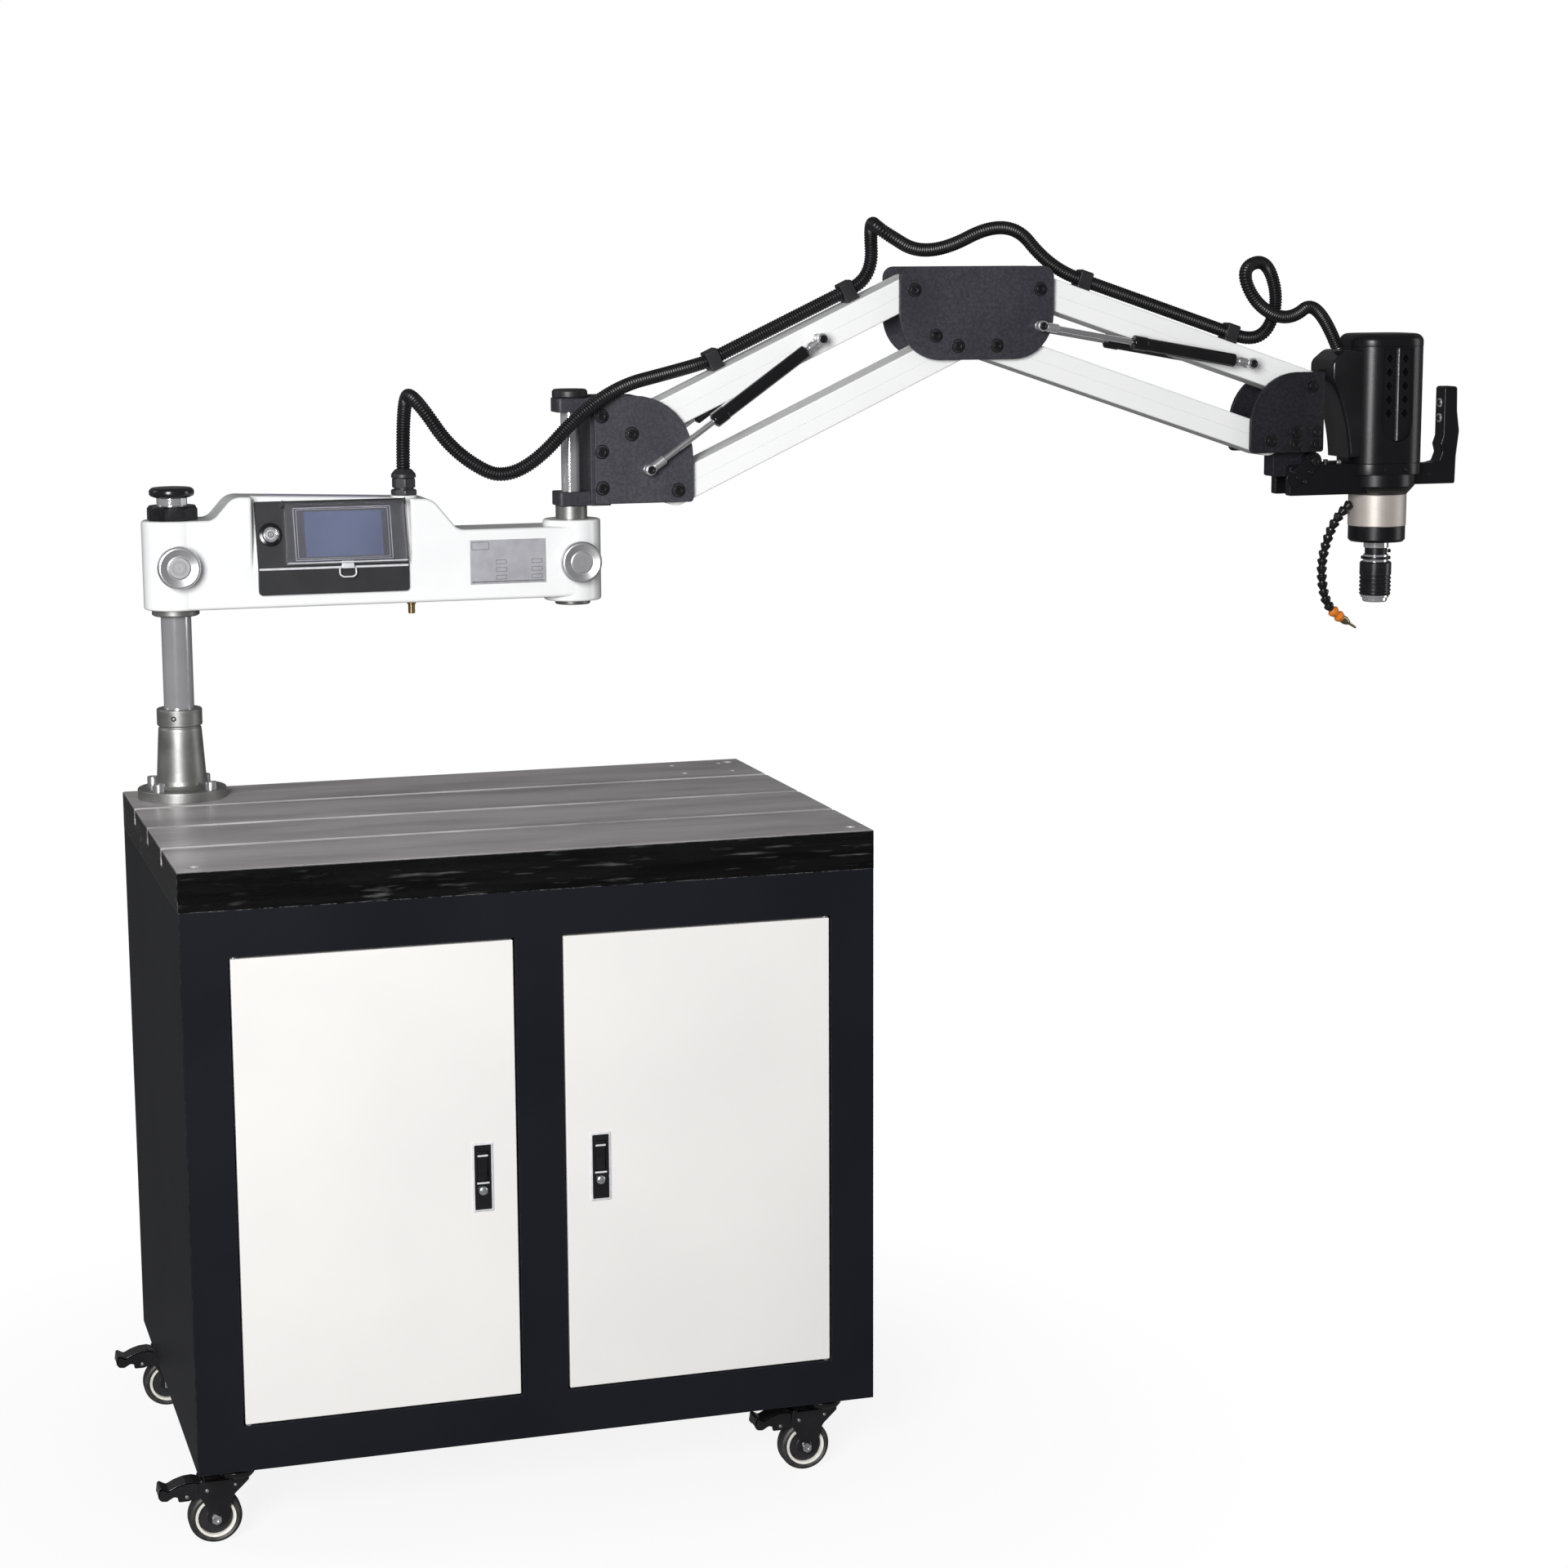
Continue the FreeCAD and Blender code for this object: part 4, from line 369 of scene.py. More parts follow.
def hexagon(at: Point, axis: Point, flats: float, height: float, bore: float = 0.0) -> Shape:
    """A nut or bolt head of a size across flats, its corners taken off by a cone; bore sinks its top."""
    t = np.linspace(0, 2 * math.pi, 48, endpoint=False)
    six = flats / 2 / np.cos((t + math.pi / 6) % (math.pi / 3) - math.pi / 6)
    cone = np.minimum(six, flats * 0.53)
    levels = [(cone, 0), (six, flats * 0.03), (six, height - flats * 0.05), (cone * 0.97, height)]
    if bore:
        levels += [(np.full(48, bore + 0.4), height), (np.full(48, bore), height - 0.5),
                   (np.full(48, bore), height * 0.4)]
    rings = np.stack([np.stack([r * np.cos(t), r * np.sin(t), np.full(48, h)], 1) for r, h in levels])
    return lofted(rings).through(basis(axis), at)


def cells(xs: Sequence[float], ys: Sequence[float], zs: Sequence[float],
          solid: Callable[[Array, Array, Array], Array]) -> Shape:
    """The welded skin of all grid cells whose centres the test calls solid.

    Args:
        xs, ys, zs: the grid's planes along each axis, in rising order.
        solid: takes arrays of centre coordinates and tells which cells are filled.
    """
    planes = [np.asarray(a, float) for a in (xs, ys, zs)]
    middles = np.meshgrid(*[(a[1:] + a[:-1]) / 2 for a in planes], indexing="ij")
    full = np.pad(solid(*middles), 1)
    sizes = [len(a) for a in planes]
    number = np.arange(np.prod(sizes)).reshape(sizes)
    quads = []
    for axis in range(3):
        others = [a for a in range(3) if a != axis]
        core = [slice(1, -1)] * 3
        core[axis] = slice(None)
        inside = full[tuple(core)]
        edge = np.argwhere(np.diff(inside.astype(int), axis=axis) != 0)
        step = np.eye(3, dtype=int)
        turns = (0 * step[0], step[others[0]], step[others[0]] + step[others[1]], step[others[1]])
        quads.append(np.stack([number[tuple((edge + turn).T)] for turn in turns], 1))
    rows = np.vstack(quads)
    used, rows = np.unique(rows, return_inverse=True)
    spots = np.stack(np.meshgrid(*planes, indexing="ij"), -1).reshape(-1, 3)[used]
    return Shape(spots, [(rows.reshape(-1, 4), 0)])


def in_link(shape: Shape, start: tuple[float, float], degrees: float) -> Shape:
    """A shape drawn along a level link (x along it, y from the arm's plane), put in its place."""
    c, s = math.cos(math.radians(degrees)), math.sin(math.radians(degrees))
    return shape.through([[c, 0, -s], [0, 1, 0], [s, 0, c]], (start[0], PLANE_Y, start[1]))


def drilled(flat: Array, holes: Sequence[Array], low: float, high: float, plane: Plane) -> Shape:
    """A plate with holes of any outline: two triangulated faces, and a wall along each outline."""
    loops = [flat, *holes]
    rows = np.array(tessellate_polygon([[Vector((*p, 0.0)) for p in loop] for loop in loops]))
    points = np.vstack(loops)
    walls, start, count = [], 0, len(points)
    for loop in loops:
        i = start + np.arange(len(loop))
        j = np.roll(i, -1)
        walls.append(np.stack([i, j, j + count, i + count], 1))
        start += len(loop)
    return Shape(np.vstack([plane.place(points, low), plane.place(points, high)]),
                 [(rows, 0), (rows[:, ::-1] + count, 0), (np.vstack(walls), 0)])


def on_panel(shape: Shape) -> Shape:
    """A shape drawn as (x, distance out of the panel, height above the table), put on the leaning panel."""
    c, s, slope = math.cos(PANEL_LEAN), math.sin(PANEL_LEAN), math.tan(PANEL_LEAN)
    front = PLANE_Y - ARM_HALF_W
    return shape.through([[1, 0, 0], [0, -c, slope], [0, s, 1]], (0, front - PANEL_CREASE * slope, TOP))


def pierced(corners: Sequence[Corner] | Array, centre: tuple[float, float], radius: float, low: float, high: float,
            plane: Plane, rim: float = 0.8) -> Shape:
    """A plate with one round hole: each point of its outline has a partner on the hole, straight inwards."""
    flat = corners if isinstance(corners, np.ndarray) else outline(corners)
    ahead = np.roll(flat, -1, 0)
    counts = np.maximum(1, (np.linalg.norm(ahead - flat, axis=1) / 3.0).astype(int))
    share = np.concatenate([np.arange(c) / c for c in counts])[:, None]
    flat = np.repeat(flat, counts, 0) * (1 - share) + np.repeat(ahead, counts, 0) * share
    way = flat - np.array(centre)
    way /= np.linalg.norm(way, axis=1)[:, None]
    hole = np.array(centre) + radius * way
    near = flat - rim * way
    lip = hole + 0.5 * way
    levels = [(near, low), (flat, low + rim), (flat, high - rim), (near, high), (lip, high), (hole, high - 0.5),
              (hole, low + 0.5), (lip, low)]
    return lofted(np.stack([plane.place(points, depth) for points, depth in levels]), loop=True)


# ------------------------------------------------------------------ shader trees
class Tree:
    """A shader tree that is being wired."""

    def __init__(self, tree: bpy.types.NodeTree) -> None:
        """Takes the tree to work on."""
        self.tree = tree

    def add(self, kind: str, inputs: dict | None = None, **settings: object) -> bpy.types.Node:
        """Places a node and fills or links its inputs.

        Args:
            kind: the node's type, without the words ShaderNode.
            inputs: a value or another node's output for each input, by its name or number.
            settings: the node's own properties.

        Returns:
            The new node.
        """
        node = self.tree.nodes.new("ShaderNode" + kind)
        for key, value in settings.items():
            setattr(node, key, value)
        return self.filled(node, inputs or {})

    def filled(self, node: bpy.types.Node, inputs: dict) -> bpy.types.Node:
        """The node, with each input linked or set."""
        for key, value in inputs.items():
            if isinstance(value, bpy.types.NodeSocket):
                self.tree.links.new(value, node.inputs[key])
            else:
                node.inputs[key].default_value = value
        return node

    def maths(self, operation: str, a: object, b: object = 0.0) -> bpy.types.NodeSocket:
        """One sum of two values."""
        return self.add("Math", {0: a, 1: b}, operation=operation).outputs[0]

    def mixed(self, factor: object, a: object, b: object) -> bpy.types.NodeSocket:
        """A colour between a and b."""
        return self.add("Mix", {0: factor, 6: a, 7: b}, data_type="RGBA").outputs[2]

    def ranged(self, value: object, low: float, high: float, to_low: float = 0.0,
               to_high: float = 1.0) -> bpy.types.NodeSocket:
        """A value carried from one range to another, held at its ends."""
        return self.add("MapRange", {0: value, 1: low, 2: high, 3: to_low, 4: to_high}).outputs[0]

    def noise(self, vector: object, scale: object, detail: float = 3.0) -> bpy.types.NodeSocket:
        """Noise between 0 and 1."""
        return self.add("TexNoise", {"Vector": vector, "Scale": scale, "Detail": detail}).outputs[0]

    def placed(self, group: bpy.types.NodeTree, inputs: dict) -> bpy.types.Node:
        """An effect's node, with its own values."""
        node = self.tree.nodes.new("ShaderNodeGroup")
        node.node_tree = group
        return self.filled(node, inputs)


def effect(name: str, inputs: dict[str, float | Point], outputs: Sequence[str],
           wire: Callable[[Tree, bpy.types.Node], Sequence[bpy.types.NodeSocket]]) -> bpy.types.NodeTree:
    """A node group with named inputs and outputs, all values or vectors."""
    tree = bpy.data.node_groups.new(name, "ShaderNodeTree")
    for label, value in inputs.items():
        kind = "NodeSocketVector" if isinstance(value, tuple) else "NodeSocketFloat"
        tree.interface.new_socket(name=label, in_out="INPUT", socket_type=kind).default_value = value
    for label in outputs:
        tree.interface.new_socket(name=label, in_out="OUTPUT", socket_type="NodeSocketFloat")
    start, end = tree.nodes.new("NodeGroupInput"), tree.nodes.new("NodeGroupOutput")
    for number, socket in enumerate(wire(Tree(tree), start)):
        tree.links.new(socket, end.inputs[number])
    return tree


@cache
def surface_grain() -> bpy.types.NodeTree:
    """Fine noise, drawn out by Stretch, for small bumps and uneven gloss."""
    def wire(t: Tree, i: bpy.types.Node) -> list[bpy.types.NodeSocket]:
        """Stretches the coordinates, then takes noise from them."""
        drawn = t.add("VectorMath", {0: i.outputs["Vector"], 1: i.outputs["Stretch"]}, operation="MULTIPLY")
        fine = t.noise(drawn.outputs[0], i.outputs["Scale"], 3.0)
        return [t.ranged(fine, 0.3, 0.7), fine]

    return effect("surface_grain", {"Vector": (0.0, 0.0, 0.0), "Scale": 1000.0, "Stretch": (1.0, 1.0, 1.0)},
                  ("Mask", "Height"), wire)


@cache
def clouds() -> bpy.types.NodeTree:
    """Large soft patches, of which Share tells how much of the surface they take."""
    def wire(t: Tree, i: bpy.types.Node) -> list[bpy.types.NodeSocket]:
        """Noise compared with the share left bare."""
        drawn = t.add("VectorMath", {0: i.outputs["Vector"], 1: i.outputs["Stretch"]}, operation="MULTIPLY")
        large = t.noise(drawn.outputs[0], i.outputs["Scale"], 5.0)
        bare = t.maths("SUBTRACT", 0.82, t.maths("MULTIPLY", i.outputs["Share"], 0.6))
        return [t.ranged(t.maths("SUBTRACT", large, bare), -0.12, 0.12)]

    return effect("clouds", {"Vector": (0.0, 0.0, 0.0), "Scale": 15.0, "Stretch": (1.0, 1.0, 1.0), "Share": 0.5},
                  ("Mask",), wire)


@cache
def edge_wear() -> bpy.types.NodeTree:
    """Lighter edges, for wear and for painted edge highlights: the normal turns within Radius, and noise breaks the
    line up.
    """
    def wire(t: Tree, i: bpy.types.Node) -> list[bpy.types.NodeSocket]:
        """One less the product of the rounded normal and the true one, times broken noise."""
        rounded = t.add("Bevel", {"Radius": i.outputs["Radius"]}, samples=4)
        true = t.add("NewGeometry")
        dot = t.add("VectorMath", {0: rounded.outputs[0], 1: true.outputs["Normal"]}, operation="DOT_PRODUCT")
        turned_away = t.ranged(dot.outputs["Value"], 0.98, 0.75)
        broken = t.ranged(t.noise(i.outputs["Vector"], i.outputs["Breakup"], 6.0), 0.42, 0.62)
        return [t.maths("MULTIPLY", t.maths("MULTIPLY", turned_away, broken), i.outputs["Amount"])]

    return effect("edge_wear", {"Vector": (0.0, 0.0, 0.0), "Radius": 0.001, "Breakup": 120.0, "Amount": 0.5},
                  ("Mask",), wire)


@cache
def settled_dust() -> bpy.types.NodeTree:
    """Dust on faces that look up, thicker in patches."""
    def wire(t: Tree, i: bpy.types.Node) -> list[bpy.types.NodeSocket]:
        """The upward part of the normal times noise."""
        up = t.add("SeparateXYZ", {0: t.add("NewGeometry").outputs["Normal"]}).outputs[2]
        patch = t.ranged(t.noise(i.outputs["Vector"], 60.0, 6.0), 0.35, 0.75, 0.3, 1.0)
        return [t.maths("MULTIPLY", t.maths("MULTIPLY", t.ranged(up, 0.5, 1.0), patch), i.outputs["Amount"])]

    return effect("settled_dust", {"Vector": (0.0, 0.0, 0.0), "Amount": 0.1}, ("Mask",), wire)


@cache
def turned_marks() -> bpy.types.NodeTree:
    """Rings left by a lathe: noise of the distance from an axis and of the height along it."""
    def wire(t: Tree, i: bpy.types.Node) -> list[bpy.types.NodeSocket]:
        """Splits the place into height along Axis and distance from it, and takes noise of both."""
        spot = t.add("VectorMath", {0: i.outputs["Vector"], 1: i.outputs["Centre"]}, operation="SUBTRACT").outputs[0]
        height = t.add("VectorMath", {0: spot, 1: i.outputs["Axis"]}, operation="DOT_PRODUCT").outputs["Value"]
        flat = t.add("VectorMath", {0: i.outputs["Axis"], "Scale": height}, operation="SCALE").outputs[0]
        away = t.add("VectorMath", {0: spot, 1: flat}, operation="DISTANCE").outputs["Value"]
        place = t.add("CombineXYZ", {0: away, 1: height}).outputs[0]
        marks = t.noise(place, i.outputs["Scale"], 4.0)
        return [t.ranged(marks, 0.3, 0.7), marks]

    return effect("turned_marks", {"Vector": (0.0, 0.0, 0.0), "Centre": (0.0, 0.0, 0.0), "Axis": (0.0, 0.0, 1.0),
                                   "Scale": 900.0}, ("Mask", "Height"), wire)


@cache
def scuffs() -> bpy.types.NodeTree:
    """Scattered rubbed strokes: stretched noise above a limit, inside large patches."""
    def wire(t: Tree, i: bpy.types.Node) -> list[bpy.types.NodeSocket]:
        """Stretched noise, its peaks only, times patches."""
        drawn = t.add("VectorMath", {0: i.outputs["Vector"], 1: i.outputs["Stretch"]}, operation="MULTIPLY")
        strokes = t.ranged(t.noise(drawn.outputs[0], i.outputs["Scale"], 5.0), 0.56, 0.7)
        patch = t.ranged(t.noise(i.outputs["Vector"], 9.0, 3.0), 0.45, 0.62)
        return [t.maths("MULTIPLY", t.maths("MULTIPLY", strokes, patch), i.outputs["Amount"])]

    return effect("scuffs", {"Vector": (0.0, 0.0, 0.0), "Stretch": (1.0, 1.0, 1.0), "Scale": 60.0, "Amount": 0.5},
                  ("Mask",), wire)


# ------------------------------------------------------------------ finishes
STAIN_SCALE = 14.0
STAIN_SHARE = 0.5
STAIN_DEPTH = 0.35       # a stain's colour, as a share of the surface's own
DUST_COLOUR = (0.45, 0.44, 0.42, 1.0)
COAT_ROUGHNESS = 0.06


@dataclass(frozen=True)
class Finish:
    """How a surface looks.  Sizes are millimetres and colours are linear."""

    name: str
    colour: Colour
    roughness: float
    metallic: float = 0.0
    second: Colour | None = None
    cloud_size: float = 70.0
    cloud_share: float = 0.5
    cloud_stretch: Point = (1.0, 1.0, 1.0)
    spread: float = 0.08
    specular: float = 0.5
    coat: float = 0.0
    grain_size: float = 1.0
    grain_depth: float = 0.02
    stretch: Point = (1.0, 1.0, 1.0)
    # Lighter edges in wear_colour: worn edges, and on some finishes also a painted edge highlight.
    edge_rub_and_highlight: float = 0.0
    wear_radius: float = 1.2
    wear_colour: Colour = (0.32, 0.32, 0.33)
    dust: float = 0.0
    scuffed: float = 0.0
    scuff_stretch: Point = (1.0, 1.0, 1.0)
    turned_at: Point | None = None
    turned_about: Point = (0.0, 0.0, 1.0)
    stained: float = 0.0

    def colours(self, t: Tree, spot: bpy.types.NodeSocket) -> object:
        """The surface's colour: clouds of the second colour, then broad stains, scuffs, lighter edges (worn, and on
        some finishes a painted highlight) and dust.
        """
        colour: object = (*self.colour, 1.0)
        if self.second:
            cloud = t.placed(clouds(), {"Vector": spot, "Scale": 1 / (self.cloud_size * MM),
                                        "Share": self.cloud_share, "Stretch": self.cloud_stretch})
            colour = t.mixed(cloud.outputs[0], colour, (*self.second, 1.0))
        if self.stained:
            broad = t.placed(clouds(), {"Vector": spot, "Scale": STAIN_SCALE, "Share": STAIN_SHARE,
                                        "Stretch": (1.0, 1.0, 0.6)})
            colour = t.mixed(t.maths("MULTIPLY", broad.outputs[0], self.stained), colour,
                             (*(c * STAIN_DEPTH for c in self.colour), 1.0))
        if self.scuffed:
            rubbed = t.placed(scuffs(), {"Vector": spot, "Amount": self.scuffed, "Stretch": self.scuff_stretch})
            colour = t.mixed(rubbed.outputs[0], colour, (*self.wear_colour, 1.0))
        if self.edge_rub_and_highlight:
            worn = t.placed(edge_wear(), {"Vector": spot, "Radius": self.wear_radius * MM, "Amount": self.edge_rub_and_highlight})
            colour = t.mixed(worn.outputs[0], colour, (*self.wear_colour, 1.0))
        if self.dust:
            dusty = t.placed(settled_dust(), {"Vector": spot, "Amount": self.dust})
            colour = t.mixed(dusty.outputs[0], colour, DUST_COLOUR)
        return colour

    def grain(self, t: Tree, spot: bpy.types.NodeSocket) -> bpy.types.Node:
        """The node whose Mask and Height roughen the surface."""
        if self.turned_at is None:
            return t.placed(surface_grain(), {"Vector": spot, "Scale": 1 / (self.grain_size * MM),
                                              "Stretch": self.stretch})
        centre = tuple(c * MM for c in self.turned_at)
        return t.placed(turned_marks(), {"Vector": spot, "Centre": centre, "Axis": self.turned_about,
                                         "Scale": 1 / (self.grain_size * MM)})

    @cache
    def material(self) -> bpy.types.Material:
        """The finish as a material, made once."""
        made = bpy.data.materials.new(self.name)
        made.use_nodes = True
        t = Tree(made.node_tree)
        shader = made.node_tree.nodes["Principled BSDF"]
        spot = t.add("TexCoord").outputs["Object"]
        grain = self.grain(t, spot)
        colour = self.colours(t, spot)
        if isinstance(colour, tuple):
            tint = tuple(min(1.0, c * 1.12 + 0.004) for c in self.colour)
            colour = t.mixed(t.maths("MULTIPLY", grain.outputs["Mask"], 0.5), colour, (*tint, 1.0))
        made.node_tree.links.new(colour, shader.inputs["Base Color"])
        rough = t.ranged(grain.outputs["Mask"], 0.0, 1.0, max(0.02, self.roughness - self.spread / 2),
                         self.roughness + self.spread / 2)
        made.node_tree.links.new(rough, shader.inputs["Roughness"])
        bump = t.add("Bump", {"Height": grain.outputs["Height"], "Strength": 1.0,
                              "Distance": self.grain_depth * MM})
        made.node_tree.links.new(bump.outputs[0], shader.inputs["Normal"])
        shader.inputs["Metallic"].default_value = self.metallic
        shader.inputs["Specular IOR Level"].default_value = self.specular
        shader.inputs["Coat Weight"].default_value = self.coat
        shader.inputs["Coat Roughness"].default_value = COAT_ROUGHNESS
        self.refine(t, shader, spot)
        return made

    def refine(self, t: Tree, shader: bpy.types.Node, spot: bpy.types.NodeSocket) -> None:
        """Nothing more on a plain finish."""


@dataclass(frozen=True)
class ClearFinish(Finish):
    """Clear moulded plastic."""

    def refine(self, t: Tree, shader: bpy.types.Node, spot: bpy.types.NodeSocket) -> None:
        """Lets most light through, with a little haze."""
        shader.inputs["Transmission Weight"].default_value = 0.955
        shader.inputs["IOR"].default_value = 1.2


@dataclass(frozen=True)
class LitFinish(Finish):
    """A display that glows a little."""

    glow: float = 0.1

    def refine(self, t: Tree, shader: bpy.types.Node, spot: bpy.types.NodeSocket) -> None:
        """Adds a glow of the same colour, dimmer towards the bottom."""
        height = t.add("SeparateXYZ", {0: spot}).outputs[2]
        dim = t.ranged(height, (TOP + 360) * MM, (TOP + 440) * MM, 0.6, 1.0)
        shade = t.mixed(dim, (0, 0, 0, 1), (*self.colour, 1.0))
        t.tree.links.new(shade, shader.inputs["Emission Color"])
        shader.inputs["Emission Strength"].default_value = self.glow


@dataclass(frozen=True)
class IronTableFinish(Finish):
    """Ground iron on top, black brushed paint on the sides, bright along the edges: partly rubbed metal, partly a
    painted edge highlight.
    """

    top_colour: Colour = (0.32, 0.305, 0.31)
    top_light: Colour = (0.68, 0.655, 0.66)

    def refine(self, t: Tree, shader: bpy.types.Node, spot: bpy.types.NodeSocket) -> None:
        """Mixes the ground face in where the normal looks up and in the slots, with streaks along the table."""
        links = t.tree.links
        up = t.add("SeparateXYZ", {0: t.add("NewGeometry").outputs["Normal"]}).outputs[2]
        place = t.add("SeparateXYZ", {0: spot}).outputs
        deep, wide = (t.ranged(t.maths("ABSOLUTE", place[k]), far * MM - 0.0012, far * MM - 0.0006, 1, 0)
                      for k, far in ((1, -FRONT), (0, float(TABLE_HIGH[0]))))
        cut = t.maths("MULTIPLY", t.maths("MULTIPLY", deep, wide), t.ranged(place[2], (TOP - 40) * MM, (TOP - 39) * MM))
        face = t.maths("MAXIMUM", t.ranged(up, 0.6, 0.95), cut)
        streak = t.placed(surface_grain(), {"Vector": spot, "Scale": 16.0, "Stretch": (0.5, 55.0, 1.0)})
        patch = t.placed(clouds(), {"Vector": spot, "Scale": 5.0, "Stretch": (0.6, 3.0, 1.0), "Share": 0.6})
        tone = t.maths("ADD", t.maths("MULTIPLY", streak.outputs["Mask"], 0.5),
                       t.maths("MULTIPLY", patch.outputs[0], 0.45))
        ground = t.mixed(tone, (*self.top_colour, 1.0), (*self.top_light, 1.0))
        # Lighter along the top's edges: rubbed iron, partly a painted edge highlight.
        rubbed = t.placed(edge_wear(), {"Vector": spot, "Radius": 0.0022, "Breakup": 30.0, "Amount": 1.0})
        ground = t.mixed(rubbed.outputs[0], ground, (0.55, 0.54, 0.53, 1.0))
        side = shader.inputs["Base Color"].links[0].from_socket
        links.new(t.mixed(face, side, ground), shader.inputs["Base Color"])
        paint = shader.inputs["Roughness"].links[0].from_socket
        rough = t.add("Mix", {0: face, 2: paint, 3: t.ranged(streak.outputs["Mask"], 0, 1, 0.3, 0.5)})
        links.new(rough.outputs[0], shader.inputs["Roughness"])
        links.new(t.ranged(face, 0.0, 1.0, 0.0, 0.35), shader.inputs["Metallic"])


BLACK_POWDER = Finish("plate_powder_coat", (0.028, 0.0275, 0.0375), 0.5, second=(0.047, 0.046, 0.059), cloud_size=5,
                      cloud_share=0.5, grain_size=1.0, grain_depth=0.06, spread=0.14, edge_rub_and_highlight=0.8,
                      wear_colour=(0.16, 0.16, 0.17), dust=0.02, stained=0.4)
# The plates' own powder coat made lighter for the base plates: painted light, on the same paint that the other plates
# carry.
LIGHTER_BASE_POWDER = Finish("base_plate_powder_coat", (0.040, 0.039, 0.051), 0.5, second=(0.064, 0.062, 0.077), cloud_size=5,
                     cloud_share=0.5, grain_size=1.0, grain_depth=0.06, spread=0.14, edge_rub_and_highlight=0.8,
                     wear_colour=(0.18, 0.18, 0.19), dust=0.02, stained=0.25)
CABINET_PAINT = Finish("cabinet_navy_coat", (0.0078, 0.0084, 0.0112), 0.42, second=(0.0102, 0.0108, 0.0145),
                       cloud_size=260, cloud_share=0.6, grain_size=1.3, grain_depth=0.02, edge_rub_and_highlight=0.8, specular=0.11,
                       wear_colour=(0.16, 0.17, 0.2), wear_radius=1.6, dust=0.02)
# The same powder coat made darker for the end plates and the hanger block: painted shade.
SHADED_END_POWDER = Finish("end_plate_powder_coat", (0.012, 0.012, 0.0165), 0.5, second=(0.021, 0.021, 0.027), cloud_size=5,
                    grain_size=1.0, grain_depth=0.05, spread=0.14, edge_rub_and_highlight=0.7, wear_colour=(0.14, 0.14, 0.15),
                    specular=0.3, dust=0.01, stained=0.3)
DOOR_PAINT = Finish("door_white_coat", (0.80, 0.787, 0.768), 0.42, second=(0.77, 0.757, 0.74), cloud_size=300,
                    grain_size=1.6, grain_depth=0.02, spread=0.1)
CASTING_WHITE = Finish("casting_white_enamel", (0.90, 0.905, 0.91), 0.2, second=(0.86, 0.865, 0.87), cloud_size=120,
                       grain_size=14.0, grain_depth=0.12, coat=0.4, spread=0.06)
LINK_WHITE = Finish("link_white_coat", (0.945, 0.947, 0.95), 0.36, second=(0.925, 0.927, 0.93), cloud_size=150,
                    grain_size=1.4, grain_depth=0.008)
SPRING_BLACK = Finish("spring_tube_gloss_black", (0.005, 0.005, 0.006), 0.12, second=(0.007, 0.007, 0.008),
                      cloud_size=40, grain_size=1.6, grain_depth=0.004, coat=0.5, spread=0.06, dust=0.008)
DOME_CHROME = Finish("dome_chrome", (0.80, 0.80, 0.82), 0.22, 0.9, second=(0.74, 0.74, 0.76), cloud_size=6,
                     grain_size=1.0, grain_depth=0.002, spread=0.04)
SLEEVE_BLACK = Finish("sleeve_blackened", (0.040, 0.040, 0.045), 0.22, 0.75, second=(0.055, 0.055, 0.06), cloud_size=9,
                      grain_size=0.7, grain_depth=0.006, edge_rub_and_highlight=0.7, wear_radius=0.5)
GLOSS_BLACK = Finish("gloss_black_plastic", (0.0065, 0.0065, 0.0075), 0.2, second=(0.011, 0.011, 0.0125),
                     cloud_size=60, grain_size=1.1, grain_depth=0.012, coat=0.25, spread=0.12, dust=0.012)
SATIN_BLACK = Finish("satin_black_plastic", (0.016, 0.016, 0.018), 0.42, second=(0.022, 0.022, 0.025), cloud_size=40,
                     grain_size=0.8, grain_depth=0.02, dust=0.02)
# The light rims on these screw heads and nuts are partly worn metal and partly a painted highlight along the edges.
OXIDE_BLACK = Finish("blackened_steel", (0.018, 0.018, 0.02), 0.32, 0.6, second=(0.03, 0.03, 0.032), cloud_size=12,
                     grain_size=0.6, grain_depth=0.01, edge_rub_and_highlight=0.9, wear_radius=0.7, wear_colour=(0.36, 0.36, 0.37))
CONDUIT_BLACK = Finish("conduit_polyamide", (0.006, 0.006, 0.007), 0.34, second=(0.010, 0.010, 0.0115), cloud_size=30,
                       grain_size=0.7, grain_depth=0.01, specular=0.4, dust=0.015)
CHROME = Finish("polished_chrome", (0.84, 0.84, 0.87), 0.1, 0.78, second=(0.76, 0.76, 0.79), cloud_size=90,
                grain_size=3.0, grain_depth=0.002, spread=0.05)
ZINC = Finish("zinc_plated_steel", (0.58, 0.58, 0.60), 0.32, 0.85, second=(0.46, 0.46, 0.48), cloud_size=8,
              grain_size=0.7, grain_depth=0.01)
ALUMINIUM = Finish("bright_aluminium", (0.72, 0.72, 0.74), 0.3, 0.8, second=(0.63, 0.63, 0.65), cloud_size=18,
                   grain_size=0.6, grain_depth=0.01)
BRASS = Finish("brass", (0.50, 0.36, 0.17), 0.3, 1.0, second=(0.38, 0.27, 0.13), cloud_size=7, grain_size=0.6,
               grain_depth=0.01)
SILVER_PLATE = Finish("blank_silver_plate", (0.60, 0.60, 0.64), 0.42, 0.6, second=(0.52, 0.52, 0.56), cloud_size=25,
                      grain_size=0.5, grain_depth=0.004, stretch=(0.04, 1.0, 1.0), scuffed=0.25,
                      wear_colour=(0.75, 0.75, 0.77), scuff_stretch=(0.4, 1.0, 6.0))


